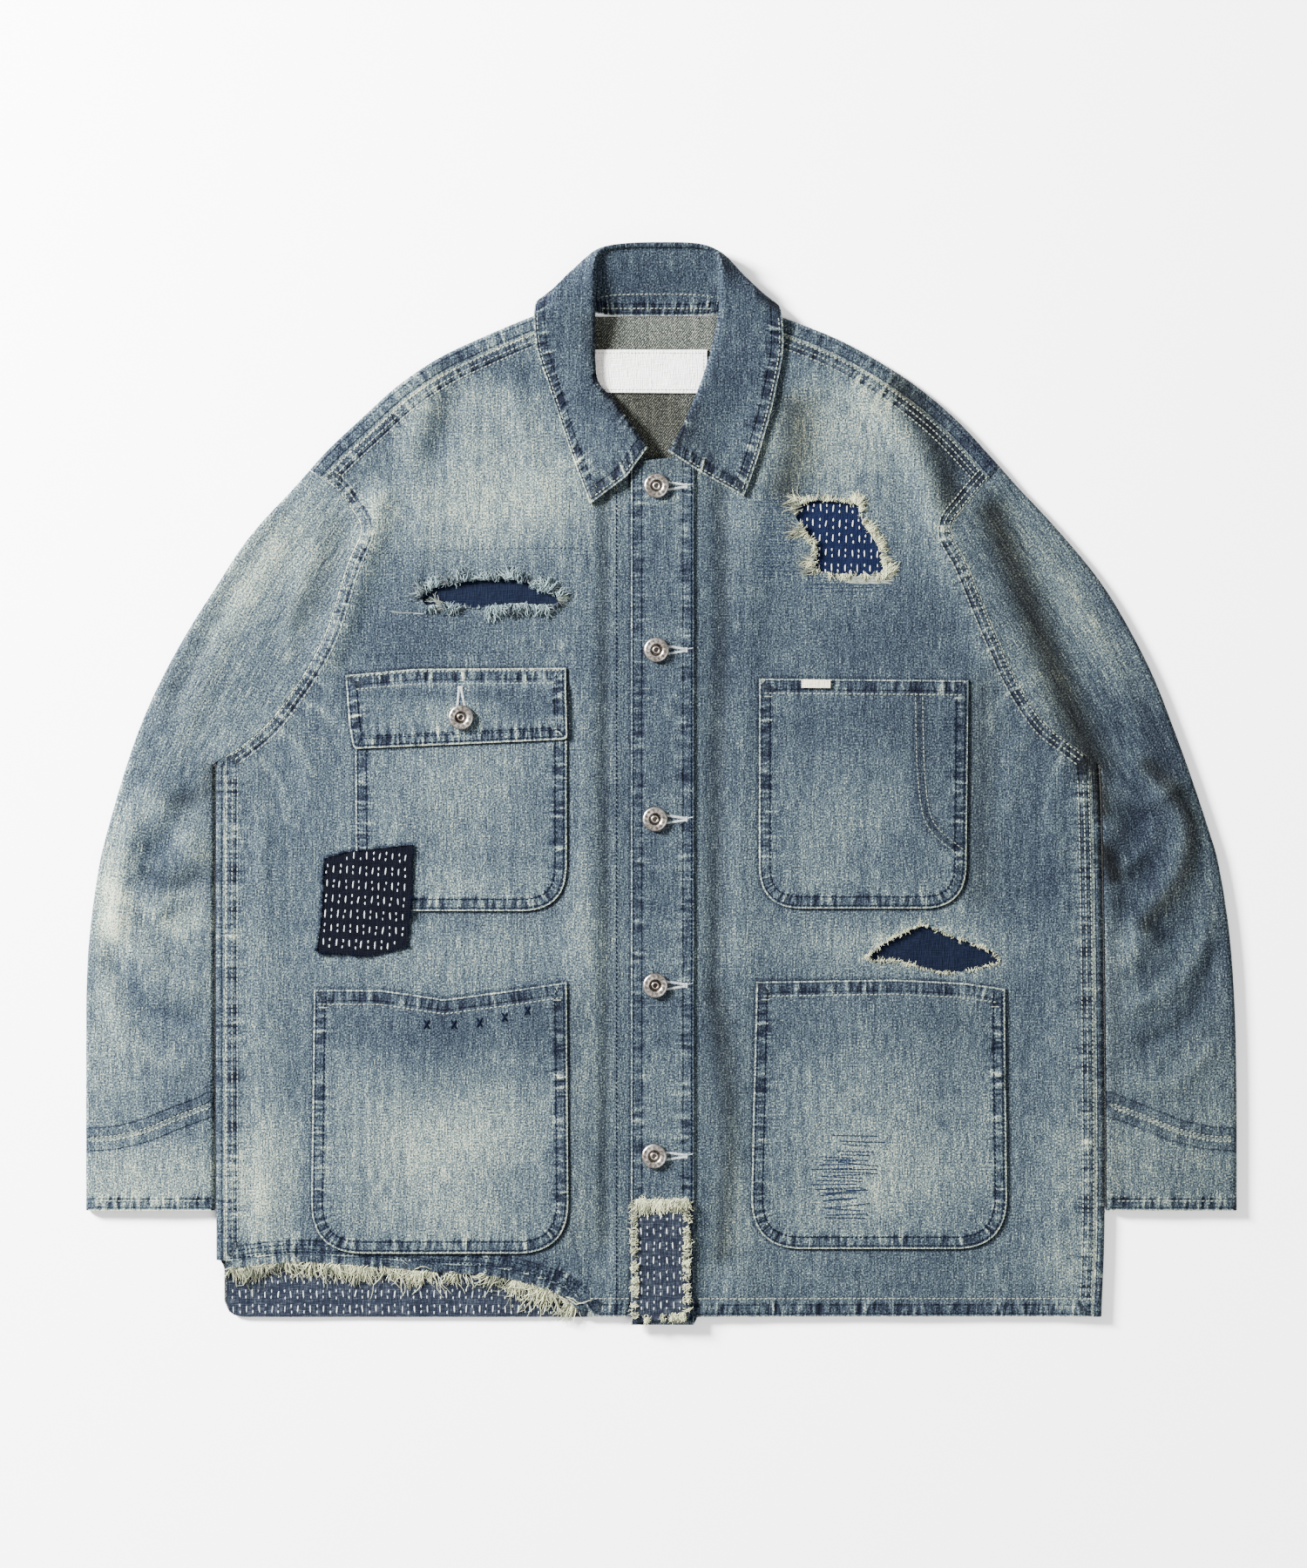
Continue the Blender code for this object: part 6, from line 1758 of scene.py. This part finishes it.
class Strip:
    """A surface given by places of its own, for rows on the collar."""

    def __init__(self, rows):
        self.spots = rows.reshape(-1, 3)

    def top(self, x, y, lift=0.0):
        x, y = np.asarray(x, float), np.asarray(y, float)
        away = (x[:, None] - self.spots[:, 0]) ** 2 + (y[:, None] - self.spots[:, 1]) ** 2
        z = self.spots[away.argmin(axis=1), 2]
        return np.column_stack([x, y, z + COLLAR_CLOTH / 2 + lift])


def moved_towards(line, other, distance):
    """Each point of a line moved towards its fellow on another line."""
    return line + unit(other - line) * distance


def build_collar_sewing(rows):
    """A row near the leaves' edges, and rows across the stand at the back of the neck."""
    cream = Threads("sewing_collar", CREAM, "frayed_cotton", 41)
    fall, stand = Strip(rows[:, -FALL_COUNT:]), Strip(rows[:, :STAND_COUNT])
    line = moved_towards(rows[:, -1, :2], rows[:, -2, :2], COLLAR_ROW)
    leaf, first, last = (len(rows) * part // COLLAR_PARTS for part in (LEAF_ROW_PARTS, *STAND_ROW_PARTS))
    cream.row(fall, line[1:leaf])
    cream.row(fall, line[-leaf:-1])
    for end, following in ((rows[0], rows[1]), (rows[-1], rows[-2])):
        cream.row(fall, moved_towards(end[-13:, :2], following[-13:, :2], COLLAR_ROW)[:-1])
    for depth in (1, 3):
        cream.row(stand, rows[first:last, depth, :2])
    cream.make()


def sashiko_dashes(threads, surface, outline, turn):
    """Bands of dashes: columns of one long dash and of two short ones in turn."""
    low, high = outline.min(axis=0), outline.max(axis=0)
    reach = float(np.hypot(*(high - low))) / 2 + SASHIKO_BAND
    bands, columns = int(reach / SASHIKO_BAND) + 1, int(reach / SASHIKO_COLUMN) + 1
    spots, lengths = [], []
    for band in range(-bands, bands + 1):
        shift = threads.random.uniform(-BAND_SHIFT, BAND_SHIFT)
        for column in range(-columns, columns + 1):
            x, y = column * SASHIKO_COLUMN + shift, band * SASHIKO_BAND
            for rise, length in SASHIKO_LONG if (column + band) % 2 else SASHIKO_SHORT:
                spots.append((x, y + rise))
                lengths.append(length)
    spots = np.array(spots) + threads.random.normal(0, DASH_STRAY, (len(spots), 2))
    spots = rotated(spots, math.radians(turn)) + (low + high) / 2
    kept = inside(outline, *spots.T) & (distance_to(closed(outline), *spots.T) > DASH_MARGIN)
    spots, lengths = spots[kept], np.array(lengths)[kept] * threads.random.uniform(*DASH_LENGTHS, kept.sum())
    lean = math.radians(90 + turn) + np.radians(threads.random.normal(0, DASH_LEAN, len(spots)))
    threads.stitches(surface, spots, np.column_stack([np.cos(lean), np.sin(lean)]), lengths, *DASH_SIZE)


def grown(outline, distance):
    """A closed outline with every point moved out from its middle by about a distance."""
    centre = outline.mean(axis=0)
    return outline + unit(outline - centre) * distance


def build_sashiko():
    """Sashiko on the pocket, placket and hem patches and behind the left chest's rip."""
    white = Threads("sashiko_stitches", WHITE, "sashiko_cloth", 51)
    for surface, outline, turn in (
        (ON_PATCH_POCKET, patch_pocket, -3.0), (ON_PATCH_PLACKET, grown(rounded(PATCH_PLACKET), -3.2), 0.5),
        (BEHIND_RIGHT, rounded(PATCH_HEM), 0.0), (BEHIND_LEFT, grown(np.array(RIP_CHEST_LEFT), 5.0), -2.0),
    ):
        sashiko_dashes(white, surface, outline, turn)
    white.make()


def frayed_edge(
    threads, surface, line, count, length, width, side=-1, curl=1.2, rise=1.0, back=1.0, tuft=3.0,
):
    """Tufts of strands along a line, to its left if side is -1. They start a little behind it."""
    line = np.asarray(line, float)
    random, total = threads.random, length_of(line)
    tufts = max(int(total / tuft), 1)
    middles, leans = random.uniform(0, total, tufts), random.normal(0, TUFT_LEAN, tufts)
    longer, paler = random.uniform(*TUFT_LENGTHS, tufts), random.normal(0, TUFT_PALER, tufts)
    chosen = random.integers(0, tufts, count)
    aside = random.normal(0, tuft * 0.42, count)
    here, heading = frames_along(line, np.clip(middles[chosen] + aside, 0, total))
    out = leftward(heading) * -side
    roots = here - out * random.uniform(0, back, count)[:, None]
    headings = rotated(out, leans[chosen] - aside * 0.10)
    threads.strands(surface, roots, headings, length * longer[chosen], width, curl, rise, paler[chosen])


def build_frays():
    """Frayed edges: for each run of tufts its line, the count, length and width of its strands, and how
    they lie."""
    hem = raw_hem[::-1][2:-1]
    rips = RIP_CHEST_RIGHT, RIP_CHEST_LEFT, RIP_WAIST_LEFT
    chest_right, chest_left, waist = map(np.array, rips)
    upper, lower, rim = smooth(chest_right[:7]), smooth(chest_right[6:]), closed(waist)
    patch_border = closed(grown(rounded(PATCH_PLACKET), -1.0))
    loose = {"curl": 1.3, "rise": 2.4, "tuft": 4.5}
    inward = {"side": 1, "curl": 1.5}
    bundles = [(straight(ends), 44, 11.0, 0.5, {"curl": 0.7, "back": 7.0}) for ends in RIP_BUNDLES]
    frays = (
        ("fringe_hem", RAW_COTTON, BEHIND_FRINGE, [
            (hem, 950, 12.5, 0.72, {"curl": 0.45, "rise": 1.8, "back": 2.0, "tuft": 4.5}),
            (hem, 220, 20.0, 0.6, {"curl": 1.0, "rise": 2.6, "tuft": 16.0}),
        ]),
        ("fringe_chest_right_upper", COTTON, ON_FRONT_RIGHT, [
            (upper, 330, 10.0, 1.0, loose), (upper, 110, 4.0, 0.5, inward),
        ]),
        ("fringe_chest_right_lower", COTTON, ON_FRONT_RIGHT, [
            (lower, 330, 10.0, 1.0, loose), (lower, 90, 3.5, 0.5, inward),
        ]),
        ("fringe_chest_left", RAW_COTTON, ON_FRONT_LEFT, [
            (smooth(chest_left[2:9]), 330, 8.0, 0.55, {"rise": 1.6}),
            (smooth(chest_left[8:14]), 240, 6.0, 0.5, {"rise": 1.2}),
            (smooth(chest_left[:3]), 120, 5.0, 0.45, {"curl": 1.0}),
            (closed(smooth(chest_left)), 160, 3.5, 0.45, {"side": 1, "rise": 0.8}),
            *bundles,
        ]),
        ("fringe_waist_left", RAW_COTTON, ON_FRONT_LEFT, [
            (rim, 420, 3.0, 0.42, {"rise": 0.6}), (rim, 150, 3.4, 0.42, {"side": 1, "rise": 0.6}),
        ]),
        ("fringe_placket", RAW_COTTON, ON_PATCH_PLACKET, [
            (patch_border, 1100, 5.0, 0.55, {"side": 1, "curl": 2.2, "rise": 1.4, "back": 4.5}),
            (straight([(18, -302), (-20, -302)]), 420, 9.5, 0.8, {"curl": 1.0, "rise": 1.4, "back": 2.0}),
        ]),
        ("fringe_patch_pocket", NAVY, ON_PATCH_POCKET, [
            (closed(patch_pocket), 420, 2.4, 0.45, {"side": 1, "rise": 0.5, "back": 0.6}),
        ]),
    )
    for seed, (name, finish, surface, runs) in enumerate(frays, 61):
        slot = "sashiko_cloth" if finish is NAVY else "frayed_cotton"
        threads = Threads(name + "_strands", finish, slot, seed)
        for line, count, length, width, lie in runs:
            frayed_edge(threads, surface, line, count, length, width, **lie)
        threads.make(*([name] if name in FRINGE_SOLIDS else []))


def darn(threads, surface, places, spread, uneven_ends, **stitch):
    """Rows of mending thread. Each place is a low and a high, a left and a right, and a count of rows."""
    random = threads.random
    for low, high, left, right, rows in places:
        for y in np.linspace(low, high, rows):
            start, end = left + random.uniform(0, spread[0]), right - random.uniform(0, spread[1])
            heights = [y + random.normal(0, height) for height in uneven_ends]
            threads.row(surface, straight([(start, heights[0]), (end, heights[1])]), slant=0, **stitch)


def build_darning():
    """Darning beside the rip on the left chest and on the left hip pocket, and cream bars at both chest
    rips."""
    navy = Threads("darning", MENDING, "denim", 71)
    beside_rip = ((150, 208, 66, 100, 30), (140, 150, 100, 168, 6))
    on_pocket = ((-282, -256, 122, 162, 9), (-296, -270, 108, 150, 10), (-314, -292, 114, 152, 9))
    darn(navy, ON_FRONT_LEFT, beside_rip, (12, 14), (0.6, 0.8), pitch=3.6, length=2.9, width=0.6)
    darn(navy, ON_POCKET_HIP_LEFT, on_pocket, (10, 16), (0.9, 1.3), pitch=3.0, length=3.2, width=0.9)
    navy.make()
    random = navy.random
    cream = Threads("darning_bar", CREAM, "frayed_cotton", 72)
    for y in np.linspace(145.6, 150.6, 9):
        start, end = 133 + random.uniform(0, 3), 167 - random.uniform(0, 4)
        line = straight([(start, y), (end, y + random.normal(0, 0.3))])
        cream.row(ON_FRONT_LEFT, line, pitch=8.0, length=9.0, width=0.9, slant=0)
    for x, y, count, side in ((-72, 137, 46, -1), (-162, 133, 26, 1)):
        line = straight([(x, y), (x, y - 9)])
        frayed_edge(cream, ON_FRONT_RIGHT, line, count, 8.0, 0.55, side=side, curl=0.9, rise=1.2, back=4.0)
    line = straight([(-196, 124.6), (-171, 123.2)])
    cream.row(ON_FRONT_RIGHT, line, pitch=8.0, length=9.0, width=0.7, slant=0)
    cream.make()


# Buttons and buttonholes

BUTTON_TURNED = [
    (8.1, 0), (8.8, 0.35), (9, 0.9), (9, 1.5), (8.8, 2.1), (8.4, 2.6), (7.8, 2.92), (7, 3), (6.2, 2.95),
    (5.4, 2.8), (4.7, 2.5), (4.2, 2), (4, 1.4), (3.6, 1.2), (3.1, 1.3), (2.8, 1.8), (2.4, 2.1), (1.9, 2.15),
    (1.5, 1.9), (1.3, 1.2), (0, 1.1),
]
BUTTON_SIDES = 48
BUTTON_RING = 6.6
BUTTON_NOTCHES = 12
NOTCH_DEPTH = 0.14
RING_DEPTH = 0.1
RIVET_REACH = 6.1
RIVET_TOP = 2.0
BUTTON_TONE = 0.72
# Painted shade in the ring's notches and the rivet's hollow
NOTCH_SHADE = 0.34
RIVET_SHADE = 0.62
WHIP_START = 0.3
WHIP_PITCH = 0.62
WHIP_STITCH = (1.9, 0.62, 0.8)
HOLE_END_X = 17.5


def build_button(name, centre, surface, turn):
    """A turned tack button with an evenly notched ring and a hollow rivet in its middle."""
    base = surface.top(np.array([centre[0]]), np.array([centre[1]]), BUTTON_OFF_CLOTH)[0, 2]
    angles = np.arange(BUTTON_SIDES) * 2 * math.pi / BUTTON_SIDES
    rings = []
    for radius, rise in BUTTON_TURNED:
        on_ring = math.exp(-((radius - BUTTON_RING) ** 2))
        notch = NOTCH_DEPTH * on_ring * np.sign(np.sin(angles * BUTTON_NOTCHES + turn))
        z = base + rise + notch - RING_DEPTH * on_ring
        x, y = centre[0] + radius * np.cos(angles), centre[1] + radius * np.sin(angles)
        rings.append(np.column_stack([x, y, z]))
    points = np.vstack([[(*centre, base)], *rings])
    faces = []
    for k in range(BUTTON_SIDES):
        j = (k + 1) % BUTTON_SIDES
        faces.append((0, 1 + j, 1 + k))
        for ring in range(len(rings) - 1):
            a, b = 1 + ring * BUTTON_SIDES + k, 1 + ring * BUTTON_SIDES + j
            faces += [(a, b, b + BUTTON_SIDES), (a, b + BUTTON_SIDES, a + BUTTON_SIDES)]
    points, faces = welded(points, np.array(faces), 0.001)
    x, y = points[:, 0] - centre[0], points[:, 1] - centre[1]
    radius = np.hypot(x, y)
    in_notch = np.sin(np.arctan2(y, x) * BUTTON_NOTCHES + turn) < 0
    in_hollow = (radius < RIVET_REACH) & (points[:, 2] - base < RIVET_TOP)
    # Painted shade in the ring's notches and the rivet's hollow
    painted_shade = NOTCH_SHADE * np.exp(-((radius - BUTTON_RING) ** 2)) * in_notch + RIVET_SHADE * in_hollow
    traits = {"tone": BUTTON_TONE - painted_shade}
    keep(make_mesh(name + "_turned", points, faces, [METAL], traits), name)


def build_fastenings():
    """The buttons, their whipped buttonholes and the loose end of thread at each hole on the placket."""
    white = Threads("buttonholes", WHITE, "frayed_cotton", 81)
    for number, (x, y) in enumerate(BUTTON_CENTRES, 1):
        build_button(f"button_{number}", (x, y), ON_PLACKET, number * 0.7)
        for start, end in (
            ((x + 7.5, y + 2.8), (HOLE_END_X, y + 0.7)), ((x + 7.5, y - 2.8), (HOLE_END_X, y - 0.7)),
            ((HOLE_END_X + 0.7, y + 1.8), (HOLE_END_X + 0.7, y - 1.8)),
        ):
            whip_stitches(white, ON_PLACKET, straight([start, end], 1))
        white.row(ON_PLACKET, straight([(17, y + 0.4), (22.5, y + 1.4)], 1), pitch=2.0, length=2.4, width=0.6)
    x, y = FLAP_BUTTON_CENTRE
    build_button("button_flap", (x, y), ON_FLAP, 0.3)
    for start, end in (
        ((x + 2.8, y + 7.5), (x - 0.1, y + 21)), ((x - 2.8, y + 7.5), (x - 1.5, y + 21)),
        ((x - 2.6, y + 21.8), (x + 1, y + 21.8)),
    ):
        whip_stitches(white, ON_FLAP, straight([start, end], 1))
    white.make()


def whip_stitches(threads, surface, line):
    """Close stitches across a line."""
    spots = np.arange(WHIP_START, length_of(line), WHIP_PITCH)
    here, heading = frames_along(line, spots)
    threads.stitches(surface, here, leftward(heading), *WHIP_STITCH, lift=0.2)


# Labels


def build_labels():
    """The bare label at the neck and the bare tab on the left chest pocket."""
    outline = rounded(NECK_LABEL)
    on_back = Surface(lambda x, y: np.full(np.shape(x), CLOTH + LABEL_GAP + LABEL_CLOTH / 2))
    flat, faces = triangulated(outline, LABEL_STEP)
    height, size, seed = LABEL_UNEVEN
    points = points_at(flat, on_back.height(*flat.T) + height * (1 + wobble(*flat.T, size, seed)))
    finishes, traits, cut = [LABEL, LABEL], traits_of(points), np.ptp(outline, axis=0) * METRES
    keep_cloth("neck_label", points, faces, finishes, traits, thickness=LABEL_CLOTH)
    thread = Threads("neck_label_stitches", CREAM, "label_cloth", 91)
    on_label = Surface(on_back.height, 0.2)
    thread.row(on_label, closed(grown_box(NECK_LABEL, -2.4)), pitch=2.6, length=1.6, width=0.5, slant=0)
    thread.make()
    lay_panel("pocket_tab", rounded(POCKET_TAB), ON_TAB, TAB, "label_cloth", step=TAB_STEP)


def grown_box(corners, distance):
    """The upright box round corners, larger by a distance on each side."""
    spots = np.array([corner[:2] for corner in corners], float)
    (left, low), (right, high) = spots.min(axis=0) - distance, spots.max(axis=0) + distance
    return straight([(left, high), (left, low), (right, low), (right, high), (left, high)])[:-1]


# Stage: each light's name, place, target, size and power, in metres and watts

FLOOR_SIZE = 12.0
FLOOR_COLOUR = (0.97, 0.97, 0.97, 1.0)
LIGHTS = (
    ("key", (-2.4, 1.3, 1.25), (0.05, -0.03, 0), 0.7, 1240.0),
    ("fill", (1.8, -1.4, 2.6), (0.3, -0.2, 0), 2.6, 110.0),
)
WORLD_STRENGTH = 0.85
CAMERA_PLACE = (-0.0057, 0.0, 2.6875)
LENS = 85.0
SENSOR = 36.0


def placed(name, data):
    """A new object in the scene."""
    obj = bpy.data.objects.new(name, data)
    bpy.context.scene.collection.objects.link(obj)
    return obj


def build_stage():
    """A plain pale floor, a soft light from the upper left, a weak fill, and the camera straight above."""
    mesh, half = bpy.data.meshes.new("floor"), FLOOR_SIZE / 2
    corners = [(-half, -half, 0), (half, -half, 0), (half, half, 0), (-half, half, 0)]
    mesh.from_pydata(corners, [], [(0, 1, 2, 3)])
    mesh.materials.append(Nodes("floor_paper").finish(FLOOR_COLOUR, 0.95))
    floor = placed("floor", mesh)
    for name, place, target, size, power in LIGHTS:
        light = bpy.data.lights.new(name, "AREA")
        light.energy, light.size = power, size
        lamp = placed(name, light)
        lamp.location = place
        aim = np.array(target, float) - np.array(place, float)
        lamp.rotation_euler = Vector(aim).to_track_quat("-Z", "Y").to_euler()
    world = bpy.data.worlds.new("studio")
    world.use_nodes = True
    background = world.node_tree.nodes["Background"].inputs
    background["Color"].default_value = (1.0, 1.0, 1.0, 1.0)
    background["Strength"].default_value = WORLD_STRENGTH
    bpy.context.scene.world = world
    camera = bpy.data.cameras.new("camera")
    camera.lens, camera.sensor_fit, camera.sensor_width = LENS, "AUTO", SENSOR
    holder = placed("camera", camera)
    holder.location = CAMERA_PLACE
    bpy.context.scene.camera = holder


build_stage()
build_back()
build_fronts()
build_pockets()
build_patches()
sleeves = [build_sleeve(side) for side in ("left", "right")]
collar_rows = build_collar()
build_felled_seams()
build_pocket_sewing()
build_sleeve_sewing(sleeves)
build_collar_sewing(collar_rows)
build_sashiko()
build_frays()
build_darning()
build_fastenings()
build_labels()
